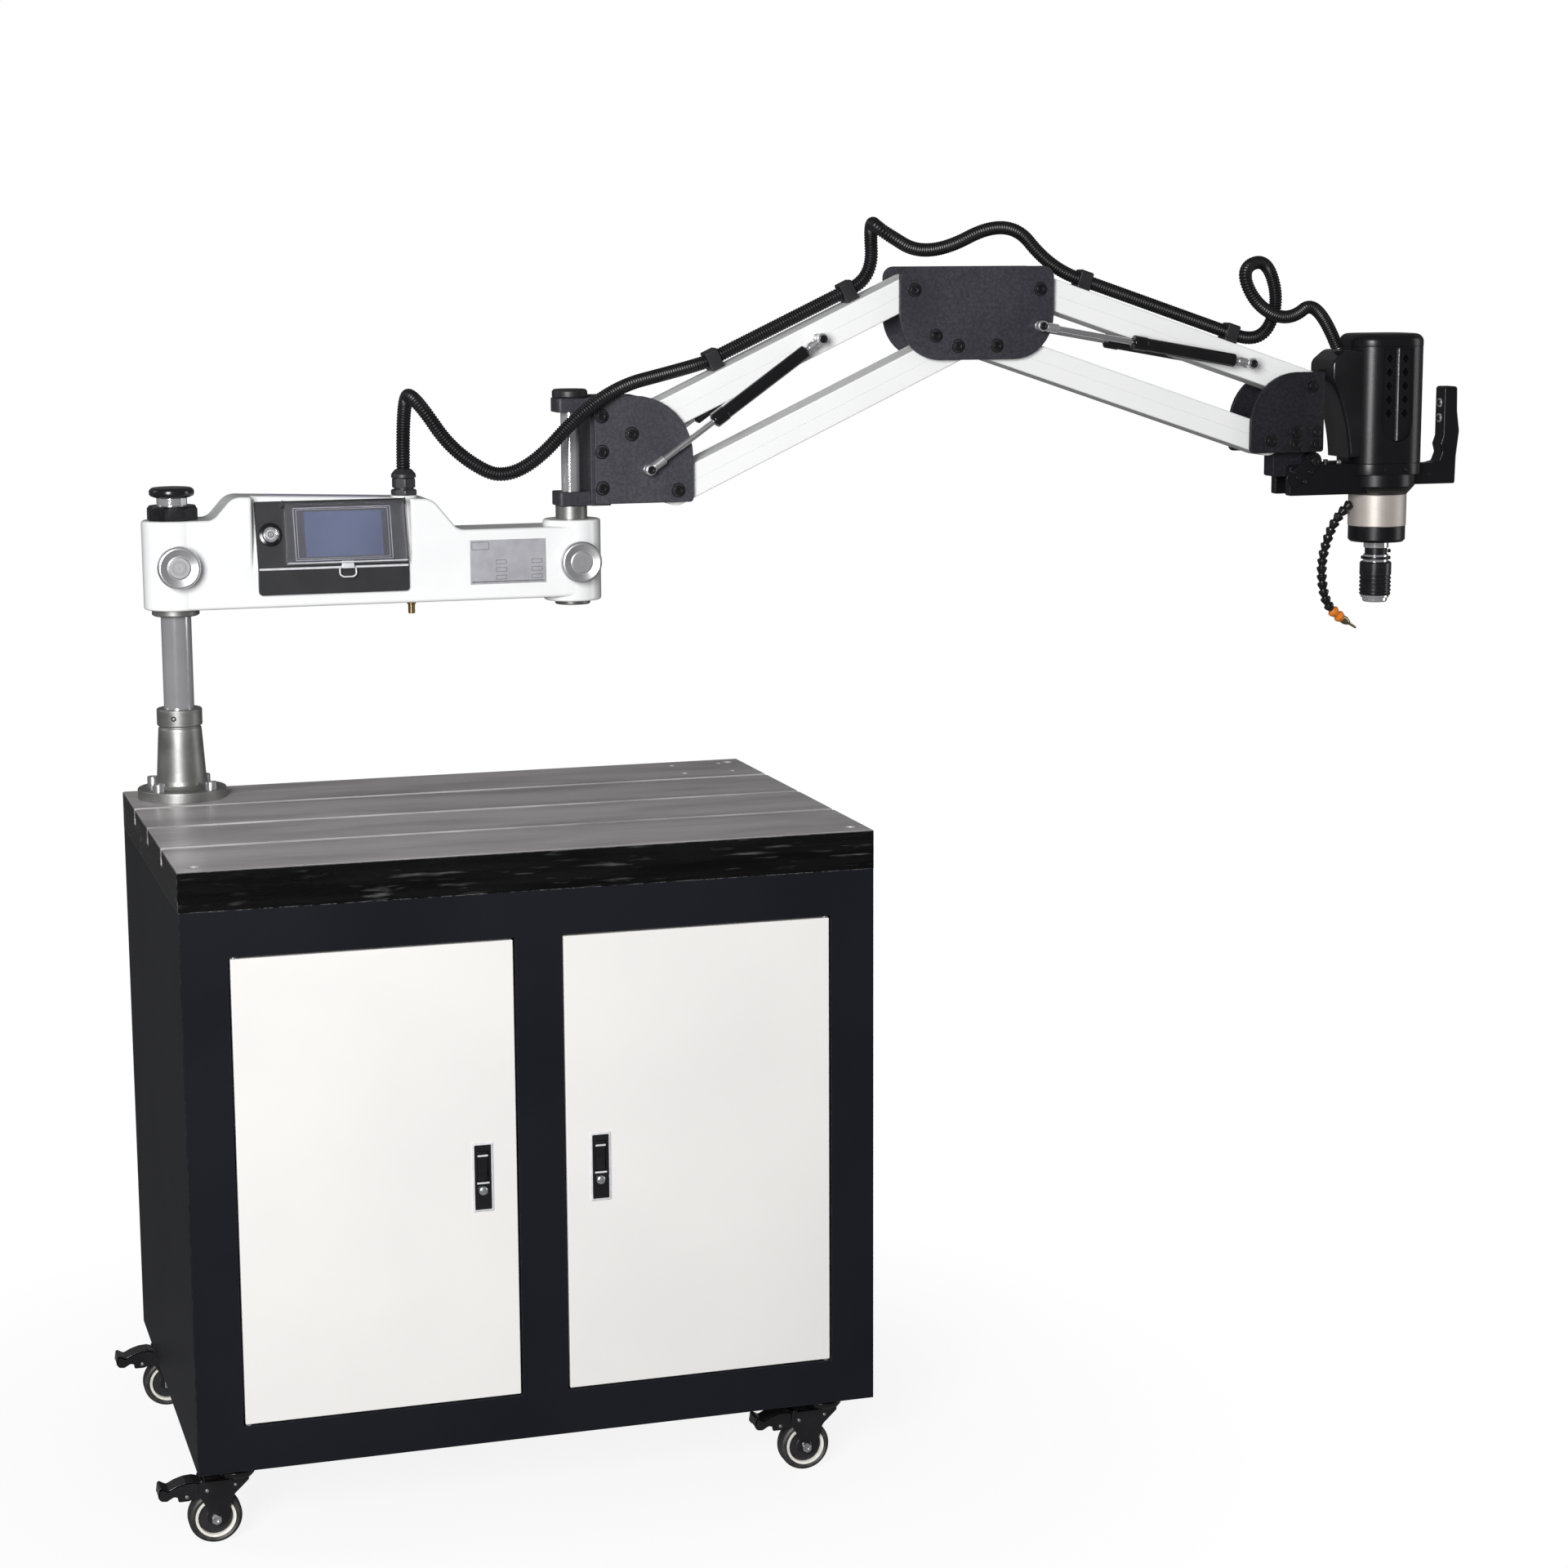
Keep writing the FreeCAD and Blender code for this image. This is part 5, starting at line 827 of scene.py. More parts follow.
# ------------------------------------------------------------------ making pieces
def make(name: str, body: str, shape: Shape, finishes: Finish | Sequence[Finish], replaces: Sequence[str] = (),
         bevel: float = 0.0, sharp: float = 50.0) -> bpy.types.Object:
    """Turns a shape into a shown piece that rides on a body.

    Args:
        name: the piece's name.
        body: the body that it moves with, or nothing if it is blended between two.
        shape: the mesh, in millimetres.
        finishes: one finish, or one for each number in the shape's faces.
        replaces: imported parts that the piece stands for.
        bevel: width of a bevel on every hard edge, in millimetres.
        sharp: degrees from which an edge stays hard.

    Returns:
        The new object.
    """
    looks = [finishes] if isinstance(finishes, Finish) else list(finishes)
    mesh = bpy.data.meshes.new(name)
    rows = [row for part, _ in shape.faces for row in part.tolist()]
    mesh.from_pydata((shape.points * MM).tolist(), [], rows)
    numbers = np.concatenate([np.full(len(part), number, np.int32) for part, number in shape.faces])
    mesh.polygons.foreach_set("material_index", numbers)
    mesh.polygons.foreach_set("use_smooth", np.ones(len(rows), bool))
    for look in looks:
        mesh.materials.append(look.material())
    work = bmesh.new()
    work.from_mesh(mesh)
    bmesh.ops.recalc_face_normals(work, faces=work.faces)
    work.to_mesh(mesh)
    work.free()
    mesh.set_sharp_from_angle(angle=math.radians(sharp))
    piece = bpy.data.objects.new(name, mesh)
    bpy.context.scene.collection.objects.link(piece)
    if bevel:
        rounding = piece.modifiers.new("rounded_edges", "BEVEL")
        rounding.width, rounding.segments, rounding.limit_method = bevel * MM, 2, "ANGLE"
        rounding.angle_limit = math.radians(40)
        rounding.harden_normals = False
    weighted = piece.modifiers.new("flat_faces", "WEIGHTED_NORMAL")
    weighted.keep_sharp = True
    if body:
        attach(piece, body)
    if replaces:
        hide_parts(*replaces)
    LOG.info("%s on %s: %d faces", name, body or "two bodies", len(rows))
    return piece


def dress(node: str, finish: Finish) -> None:
    """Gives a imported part's own mesh a finish."""
    shown = frame["nodes"][node] if isinstance(frame["nodes"], dict) else bpy.data.objects[node]
    for place in shown.material_slots:
        place.material = finish.material()
    if not shown.material_slots:
        shown.data.materials.append(finish.material())
    LOG.info("%s keeps its shape", node)


# ------------------------------------------------------------------ cabinet
@dataclass
class Cabinet:
    """Folded sheet body: shell, face frame and a return round each door opening."""

    height: float = 805.0
    floor: float = 120.0
    sheet: float = 3.0
    rail: float = 66.0
    post: float = 68.0
    fold: float = 27.0
    half_w: float = 500.0

    def filled(self, x: Array, y: Array, z: Array) -> Array:
        """Cells of the shell and of the folded rings, less the two openings."""
        s, top = self.sheet, self.floor + self.height
        across = np.abs(x)
        hollow = ((across < self.half_w - s) & (y > FRONT + s) & (y < -FRONT - s)
                  & (z > self.floor + s) & (z < top - s))
        inner, outer = self.post / 2, self.half_w - self.rail
        opening = (across > inner) & (across < outer) & (z > self.floor + self.rail) & (z < top - self.rail)
        ring = ((across > inner - s) & (across < outer + s) & (z > self.floor + self.rail - s)
                & (z < top - self.rail + s) & (y < FRONT + self.fold))
        return (~hollow | ring) & ~(opening & (y < FRONT + self.fold))

    def shell(self) -> Shape:
        """The welded skin of all filled cells."""
        s, top = self.sheet, self.floor + self.height
        inner, outer = self.post / 2, self.half_w - self.rail
        xs = sorted(side * a for side in (-1, 1) for a in (inner - s, inner, outer, outer + s, self.half_w - s,
                                                           self.half_w))
        ys = [FRONT, FRONT + s, FRONT + self.fold, -FRONT - s, -FRONT]
        low, high = self.floor + self.rail, top - self.rail
        zs = [self.floor, self.floor + s, low - s, low, high, high + s, top - s, top]
        return cells(xs, ys, zs, self.filled)

    def build(self) -> None:
        """Makes the body."""
        make("cabinet_body", "base", self.shell(), CABINET_PAINT, ["cabinet"], bevel=1.0)


class Side(Enum):
    """The two doors."""

    LEFT = -1
    RIGHT = 1

    @property
    def word(self) -> str:
        """The side's name in piece and body names."""
        return self.name.lower()


@dataclass
class Door:
    """A folded pan with its pivots, and the flush latch in it."""

    side: Side
    inner: float = 36.5
    outer: float = 431.5
    bottom: float = 188.5
    top: float = 856.5
    depth: float = 20.0
    sheet: float = 2.0
    latch_at: float = 86.0
    latch_z: float = 516.0
    latch_w: float = 24.5
    latch_h: float = 94.0
    rim: float = 3.4
    well_half: float = 8.0
    well_z: tuple[float, float] = (-6.6, 38.6)
    button_drop: float = 20.0
    lever_drop: float = 6.0
    lever_length: float = 44.0
    lever_half: float = 7.5

    def pan(self) -> Shape:
        """The pan's skin, with the latch's cut-out."""
        s, way = self.sheet, self.side.value
        half, high = self.latch_w / 2, self.latch_h / 2
        xs = sorted(way * a for a in (self.inner, self.inner + s, self.latch_at - half, self.latch_at + half,
                                      self.outer - s, self.outer))
        ys = [FRONT, FRONT + s, FRONT + self.depth]
        zs = [self.bottom, self.bottom + s, self.latch_z - high, self.latch_z + high, self.top - s, self.top]

        def filled(x: Array, y: Array, z: Array) -> Array:
            """The front sheet without the cut-out, and the four folded edges."""
            across = x * way
            edge = ((across < self.inner + s) | (across > self.outer - s) | (z < self.bottom + s)
                    | (z > self.top - s))
            hole = (np.abs(across - self.latch_at) < half) & (np.abs(z - self.latch_z) < high)
            return (edge | (y < FRONT + s)) & ~hole

        return cells(xs, ys, zs, filled)

    def pivots(self) -> Shape:
        """Two stepped pins at the outer edge."""
        x, y = self.side.value * (self.outer - 5.0), FRONT + 5.0
        pins = []
        for z, way in ((self.bottom, -1), (self.top, 1)):
            profile = [(0, 0), (4.5, 0), (4.5, 2.2, 0.4), (3.0, 2.2), (3.0, 7.0, 0.6), (0, 7.0)]
            pins.append(turned(profile, (x, y, z), (0, 0, way), 24))
        return joined(pins)

    def latch_frame(self) -> Shape:
        """Bright rim, bar and tongue (0); black face with the lever's well and the button's ring (1)."""
        x, z = self.side.value * self.latch_at, self.latch_z
        half, high = self.latch_w / 2 + 3.2, self.latch_h / 2 + 3.6
        outer = outline(rectangle(x - half, x + half, z - high, z + high, 2.0))
        inner = outline(rectangle(x - half + self.rim, x + half - self.rim, z - high + self.rim,
                                  z + high - self.rim, 1.2))
        count = 4 * (len(outer) // 4)
        outer, inner = outer[:count], inner[:count]
        levels = [(outer, FRONT + 0.6), (outer, FRONT - 0.4), (inset(outer, 0.6), FRONT - 1.0),
                  (inset(inner, -0.4), FRONT - 1.6), (inner, FRONT - 1.2), (inner, FRONT + 4.0)]
        rim = lofted(np.stack([Plane.SIDE.place(points, depth) for points, depth in levels]), loop=True)
        well = (x - self.well_half, x + self.well_half, z + self.well_z[0], z + self.well_z[1])
        xs = [x - half + 3.2, well[0], well[1], x + half - 3.2]
        zs = [z - high + 3.2, well[2], well[3], z + high - 3.2]
        ys = [FRONT - 0.7, FRONT + 13.0, FRONT + 26.0]

        def filled(a: Array, b: Array, c: Array) -> Array:
            """All but the lever's well."""
            inside = (a > well[0]) & (a < well[1]) & (c > well[2]) & (c < well[3])
            return ~(inside & (b < FRONT + 13))

        face = cells(xs, ys, zs, filled).in_finish(1)
        trim = outline(rectangle(well[0] - 0.9, well[1] + 0.9, well[2] - 0.9, well[3] + 0.9, 1.0))
        hole = outline(rectangle(well[0], well[1], well[2], well[3], 0.6))
        levels = [(trim, FRONT - 0.7), (trim, FRONT - 1.0), (hole, FRONT - 1.0), (hole, FRONT - 0.2)]
        edge = lofted(np.stack([Plane.SIDE.place(points, depth) for points, depth in levels]), loop=True)
        ring = turned([(7.2, -3, 0), (7.2, 0.3, 0.2), (8.2, 0.3, 0.3), (8.8, -1, 0)],
                      (x, FRONT - 0.7, z - self.button_drop), (0, -1, 0), 40)
        bar = slab(rectangle(x - 8.8, x + 8.8, z - 9.6, z - 7.0, 0.6), FRONT - 2.1, FRONT - 0.5, Plane.SIDE, 0.5)
        tongue = block(x - self.side.value * 3 - 3, x - self.side.value * 3 + 3, FRONT + 26, FRONT + 29, z - 20,
                       z + 20, 0.6)
        return joined([rim, face, edge.in_finish(1), ring.in_finish(1), bar, tongue])

    def lever(self) -> Shape:
        """A rounded pull lever with a finger scoop, a profile along x (0), with a bright bar by its hinge (1)."""
        x, z0, half = self.side.value * self.latch_at, self.latch_z - self.lever_drop, self.lever_half
        end = z0 + self.lever_length
        corners = [(FRONT + 6.8, z0, 1.0), (FRONT + 6.8, end, 3.0), (FRONT - 0.6, end, 3.0),
                   (FRONT - 0.6, z0 + 19.0, 2.0), (FRONT + 2.2, z0 + 13.0, 6.0), (FRONT + 2.2, z0 + 5.0, 3.0),
                   (FRONT - 0.4, z0 + 1.6, 0.8), (FRONT + 0.4, z0, 0.6)]
        bar = slab(rectangle(x - half, x + half, z0 + 36.2, z0 + 38.8, 0.6), FRONT - 1.8, FRONT - 0.3,
                   Plane.SIDE, 0.5)
        return joined([slab(corners, x - half, x + half, Plane.END, 0.8), bar.in_finish(1)])

    def button(self) -> Shape:
        """A domed push button."""
        x, z = self.side.value * self.latch_at, self.latch_z - self.button_drop
        profile = [(0, -13.0), (6.9, -13.0), (6.9, -0.6), (6.5, 0.9), (5.6, 1.9), (4.3, 2.7), (2.4, 3.15),
                   (0, 3.3)]
        return turned(profile, (x, FRONT, z), (0, -1, 0), 48)

    def build(self) -> None:
        """Makes the door, its latch frame, lever and button."""
        word = self.side.word
        make(word + "_door_pan", word + "_door", self.pan(), DOOR_PAINT, [word + "_door"], bevel=1.4)
        make(word + "_door_pivots", word + "_door", self.pivots(), ZINC)
        make(word + "_latch_frame", word + "_door", self.latch_frame(), [BRIGHT_TRIM_AND_HIGHLIGHT, GLOSS_BLACK])
        make(word + "_latch_pull", word + "_lever", self.lever(), [GLOSS_BLACK, BRIGHT_TRIM_AND_HIGHLIGHT], [word + "_latch_lever"])
        make(word + "_latch_dome", word + "_button", self.button(), DOME_CHROME, [word + "_latch_button"])


# ------------------------------------------------------------------ casters
@dataclass
class Caster:
    """A braked swivel caster whose wheel trails to the left."""

    name: str
    x: float
    y: float
    height: float = 120.0
    radius: float = 38.0
    width: float = 28.0
    trail: float = 32.0

    def plate(self) -> Shape:
        """Mounting plate, upper race, king pin and four screws."""
        x, y, top = self.x, self.y, self.height
        race = turned([(0, -10), (20, -10, 1), (27, 0, 0.5), (0, 0)], (x, y, top - 4), count=48)
        pin = rod(6.0, (x, y, top - 30), (x, y, top - 13))
        plate = block(x - 46, x + 46, y - 32, y + 32, top - 4, top, 0.8)
        screws = [hexagon((x + dx, y + dy, top - 4), (0, 0, -1), 11, 5, 0) for dx in (-36, 36) for dy in (-22, 22)]
        return joined([plate, race, pin, *screws])

    def fork(self) -> Shape:
        """Crown, deck and two pressed cheeks with rolled rims; finish 1 is bare metal."""
        x, y, ax, az = self.x, self.y, self.x - self.trail, self.radius
        px, pz = ax - 12, az + 44
        crown_z, cheek = self.height - 14.3, self.width / 2 + 2.5
        crown = turned([(6.1, -12), (22, -12, 2), (27, -6, 3), (27, 0, 1.5), (6.1, 0)], (x, y, crown_z), count=48)
        deck = block(ax - 16, x - 12, y - cheek - 3, y + cheek + 3, crown_z - 12, crown_z - 8, 1.2)
        corners = [(x + 22, crown_z - 8, 4), (x - 6, crown_z - 34, 14), (ax + 12, az - 9, 9), (ax - 10, az - 9, 9),
                   (ax - 12, az + 16, 10), (px - 12, pz - 6, 5), (px - 10, crown_z - 8, 4)]
        cheeks, metal = [], []
        for way in (-1, 1):
            face = y + way * (cheek + 3)
            low, high = sorted((y + way * cheek, face))
            cheeks.append(slab(corners, low, high, Plane.SIDE, 1.2))
            out = (0, way, 0)
            metal.append(hexagon((ax, face, az), out, 13, 4, 3.2))
            metal.append(turned([(0, 0), (2.6, 0), (2.6, 1.2, 0.8), (0, 1.8)], (px, face, pz), out, 20))
            metal.append(turned([(0, 0), (2.2, 0), (2.2, 1.0, 0.6), (0, 1.4)], (x - 4, face, crown_z - 19), out, 20))
            cheeks.append(turned([(0, 0), (9.5, 0), (8.0, 1.2, 0.4), (0, 1.2)],
                                 (ax, y + way * (cheek + 2.9), az), out, 32))
        metal.append(rod(4.9, (ax, y - cheek - 3, az), (ax, y + cheek + 3, az)))
        metal.append(rod(2.9, (px, y - cheek - 3, pz), (px, y + cheek + 3, pz)))
        return joined([crown, deck, *cheeks, joined(metal).in_finish(1)])

    def wheel(self) -> Shape:
        """Tread (0), cream rim ring (1) and dished black web with a hub (2)."""
        half, at, axis = self.width / 2, (self.x - self.trail, self.y, self.radius), (0, 1, 0)
        tread = turned([(29, -half + 2, 0), (33, -half, 1), (36.5, -half + 2, 2), (self.radius, -half + 6, 3),
                        (self.radius, half - 6, 3), (36.5, half - 2, 2), (33, half, 1), (29, half - 2, 0)],
                       at, axis, 96)
        rings, webs = [], []
        for way in (-1, 1):
            side = (0, way, 0)
            rings.append(turned([(24.4, half - 5), (25.0, half - 0.6, 0.5), (28.8, half + 0.2, 0.5), (29.2, half - 5)],
                                at, side, 96))
        webs.append(turned([(5.1, -half - 1.5), (10.5, -half - 1.5, 1), (12, -half + 5, 2), (24.8, -half + 5, 1),
                            (24.8, half - 5, 1), (12, half - 5, 2), (10.5, half + 1.5, 1), (5.1, half + 1.5)],
                           at, axis, 72))
        return joined([tread, joined(rings).in_finish(1), joined(webs).in_finish(2)])

    def pedal(self) -> Shape:
        """Brake lever over the wheel: a channel of a bent web and two deep side flanges, with rivets."""
        ax, y, half = self.x - self.trail, self.y, self.width / 2 + 1.6
        ridge = [(-4, 89, 2), (-18, 92.8, 4), (-30, 96.5, 6), (-42, 95.8, 8), (-55, 92, 8), (-66, 86.5, 5),
                 (-78, 93.5, 3), (-80, 78, 1)]
        under = [(-77, 78, 1), (-75.5, 88, 1), (-66, 83, 4), (-55, 88.6, 6), (-42, 92.4, 6), (-30, 93, 4),
                 (-18, 89.6, 4), (-4, 85.8, 1)]
        web = [(ax + dx, z, r) for dx, z, r in ridge + under]
        side = [(ax + dx, z - 0.6, r) for dx, z, r in ridge]
        side += [(ax + dx, z, r) for dx, z, r in ((-76, 72, 4), (-68, 71, 4), (-58, 76.5, 4), (-53, 75, 1.5),
                                                  (-52, 68, 3), (-38, 68, 3), (-30, 70, 4), (-10, 73, 4), (-4, 79, 3))]
        made = [slab(web, y - half, y + half, Plane.SIDE, 0.9)]
        for way in (-1, 1):
            low, high = sorted((y + way * (half - 1.1), y + way * half))
            made.append(slab(side, low, high, Plane.SIDE, 0.4))
            made += [turned([(0, 0), (2.6, 0), (2.4, 0.5, 0.3), (0, 0.8)],
                            (ax + dx, y + way * half, z), (0, way, 0), 20)
                     .in_finish(1) for dx, z in ((-40, 74.5), (-17, 77))]
        return joined(made)

    def build(self) -> None:
        """Makes plate, fork, wheel and pedal."""
        n = self.name
        make("caster_plate_" + n, "base", self.plate(), GLOSS_BLACK, ["caster_plates"])
        make("caster_crown_" + n, "fork_" + n, self.fork(), [GLOSS_BLACK, ZINC], ["caster_fork_" + n])
        make("caster_roller_" + n, "wheel_" + n, self.wheel(), [TREAD, RIM_CREAM, SATIN_BLACK], ["caster_wheel_" + n])
        make("caster_pedal_" + n, "pedal_" + n, self.pedal(), [GLOSS_BLACK, ZINC], ["brake_pedal_" + n])


TREAD = Finish("wheel_tread", (0.02, 0.02, 0.021), 0.5, second=(0.05, 0.048, 0.045), cloud_size=9, cloud_share=0.4,
               grain_size=0.9, grain_depth=0.04, dust=0.1)
RIM_CREAM = Finish("wheel_rim_cream", (0.80, 0.78, 0.72), 0.45, second=(0.70, 0.67, 0.60), cloud_size=9, grain_size=0.8)


# ------------------------------------------------------------------ table and column
@dataclass
class TableAndColumn:
    """The slotted table with the column's foot, the column, its lock nut and its cap."""

    column_r: float = 23.0
    wall: float = 8.0
    bolt_square: float = 79.0
    top: float = 462.0
    foot_h: float = 112.0
    flange: float = 16.0
    bore: float = 23.2

    def foot(self) -> Shape:
        """Flange with a fillet into a taper, then the groove below the collar."""
        profile = [(self.bore, 0), (67.5, 0, 0.6), (67.5, self.flange, 2.0), (44, self.flange, 3), (39, 22, 5),
                   (38, 28, 10), (33.0, 106, 4), (32.5, 109), (31.2, 110, 0.5), (31.2, self.foot_h),
                   (self.bore, self.foot_h)]
        return turned(profile, (COLUMN_X, PLANE_Y, TOP), count=96)

    def collar(self) -> Shape:
        """Ring above the foot (0) with a set screw (1)."""
        ring = turned([(self.bore, 0.3), (33, 0.3, 1), (34.5, 2, 1), (34.5, 25.5, 1.5), (33, 27, 1), (self.bore, 27)],
                      (COLUMN_X, PLANE_Y, TOP + self.foot_h), count=96)
        lean = math.radians(-112)
        out = (math.cos(lean), math.sin(lean), 0)
        at = (COLUMN_X + 34.2 * out[0], PLANE_Y + 34.2 * out[1], TOP + 126)
        screw = turned([(0, 0.2), (1.8, 0.2), (2.2, 0.5, 0.2), (4.0, 0.5, 0.3), (4.4, -1), (0, -1)], at, out, 28)
        return joined([ring, screw.in_finish(1)])

    def screws(self) -> Shape:
        """Four tall cap screws on the flange and three in the table's corners."""
        half = self.bolt_square / 2
        made = [socket_screw((COLUMN_X + sx * half, PLANE_Y + sy * half, TOP + self.flange), (0, 0, 1), 9.0, 12.0, 4.6)
                for sx in (-1, 1) for sy in (-1, 1)]
        x, y = 474.0, 314.0
        made += [socket_screw((a, b, TOP - 8), (0, 0, 1), 7.6, 6.0, 3.4) for a, b in ((-x, -y), (x, -y), (x, y))]
        return joined(made)

    def thrust(self) -> Shape:
        """Ring that the swing arm rests on."""
        return turned([(self.bore, -10), (33, -10, 0.6), (36, -8, 0.8), (36, 0, 0.6), (self.bore, 0)],
                      (COLUMN_X, PLANE_Y, TOP + 291.7), count=72)

    def nut(self) -> Shape:
        """Eight flats cut by a cone at both ends: the smaller of the octagon's radius and the cone's."""
        t = np.linspace(0, 2 * math.pi, 96, endpoint=False)
        flat = 36.5 / np.cos((t + math.pi / 8) % (math.pi / 4) - math.pi / 8)
        levels = [(23.1, 0.0), (38.9, 0.0), (39.7, 0.7), (39.7, 17.0), (35.0, 21.5), (23.1, 21.5)]
        rings = np.stack([np.stack([np.minimum(flat, r) * np.cos(t), np.minimum(flat, r) * np.sin(t),
                                    np.full(96, h)], 1) for r, h in levels])
        return lofted(rings, loop=True).moved(COLUMN_X, PLANE_Y, TOP + 428.3)

    def cap(self) -> Shape:
        """Mushroom knob (0) on a turned steel neck (1)."""
        at = (COLUMN_X, PLANE_Y, TOP + self.top)
        head = turned([(0, 0.3), (27, 0.3, 2), (33, 3, 3), (34, 6, 2), (34, 11, 3), (30, 15, 5), (10, 16.5, 8),
                      (0, 16.5)], at, count=96)
        neck = turned([(0, -26), (8, -26), (8, 0.6), (0, 0.6)], at, count=32)
        return joined([head, neck.in_finish(1)])

    def build(self) -> None:
        """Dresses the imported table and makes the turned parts."""
        dress("t_slot_table", TABLE_IRON)
        make("column_foot", "base", self.foot(), TURNED_FOOT, ["column_base"])
        make("column_collar", "base", self.collar(), [TURNED_FOOT, OXIDE_BLACK])
        make("column_thrust_ring", "base", self.thrust(), TURNED_FOOT)
        make("column_screws", "base", self.screws(), ZINC)
        outer, inner = self.column_r, self.column_r - self.wall
        barrel = turned([(inner, 0), (outer, 0), (outer, self.top, 1.0), (inner, self.top)],
                        (COLUMN_X, PLANE_Y, TOP), count=96)
        make("column_tube", "base", barrel, CHROME, ["column"])
        make("column_octagon", "base", self.nut(), OXIDE_BLACK, ["column_lock_nut"], sharp=30)
        make("column_cap", "cap_knob", self.cap(), [GLOSS_BLACK, CHROME], ["column_cap_knob"])


# The pale edges on the sides are partly worn paint and partly a painted edge highlight.
TABLE_IRON = IronTableFinish("table_iron", (0.003, 0.003, 0.0034), 0.32, second=(0.006, 0.006, 0.0065), cloud_size=30,
                             cloud_stretch=(0.15, 1.0, 2.0), grain_size=1.2, grain_depth=0.05, specular=0.09,
                             stretch=(0.12, 1.0, 1.0), spread=0.2, scuffed=0.22, scuff_stretch=(0.25, 1.0, 3.0),
                             edge_rub_and_highlight=0.9, wear_radius=1.3, wear_colour=(0.42, 0.42, 0.42))
TURNED_FOOT = Finish("turned_foot_steel", (0.34, 0.34, 0.335), 0.42, 0.85, second=(0.26, 0.26, 0.255), cloud_size=40,
                     grain_size=1.3, grain_depth=0.03, spread=0.16, turned_at=(COLUMN_X, PLANE_Y, TOP))


# ------------------------------------------------------------------ swing arm and panel
def border(x0: float, x1: float, z0: float, z1: float, width: float, low: float, high: float,
           radius: float = 1.2) -> Shape:
    """A raised rectangular frame, drawn as (x, depth, z)."""
    outer = outline(rectangle(x0, x1, z0, z1, radius))
    inner = outline(rectangle(x0 + width, x1 - width, z0 + width, z1 - width, max(0.3, radius - width)))
    soft = min(0.4, width / 4) * math.copysign(1, high - low)
    levels = [(outer, low), (outer, high - soft), (inset(outer, abs(soft)), high), (inset(inner, -abs(soft)), high),
              (inner, high - soft), (inner, low)]
    return lofted(np.stack([Plane.SIDE.place(flat, depth) for flat, depth in levels]), loop=True)


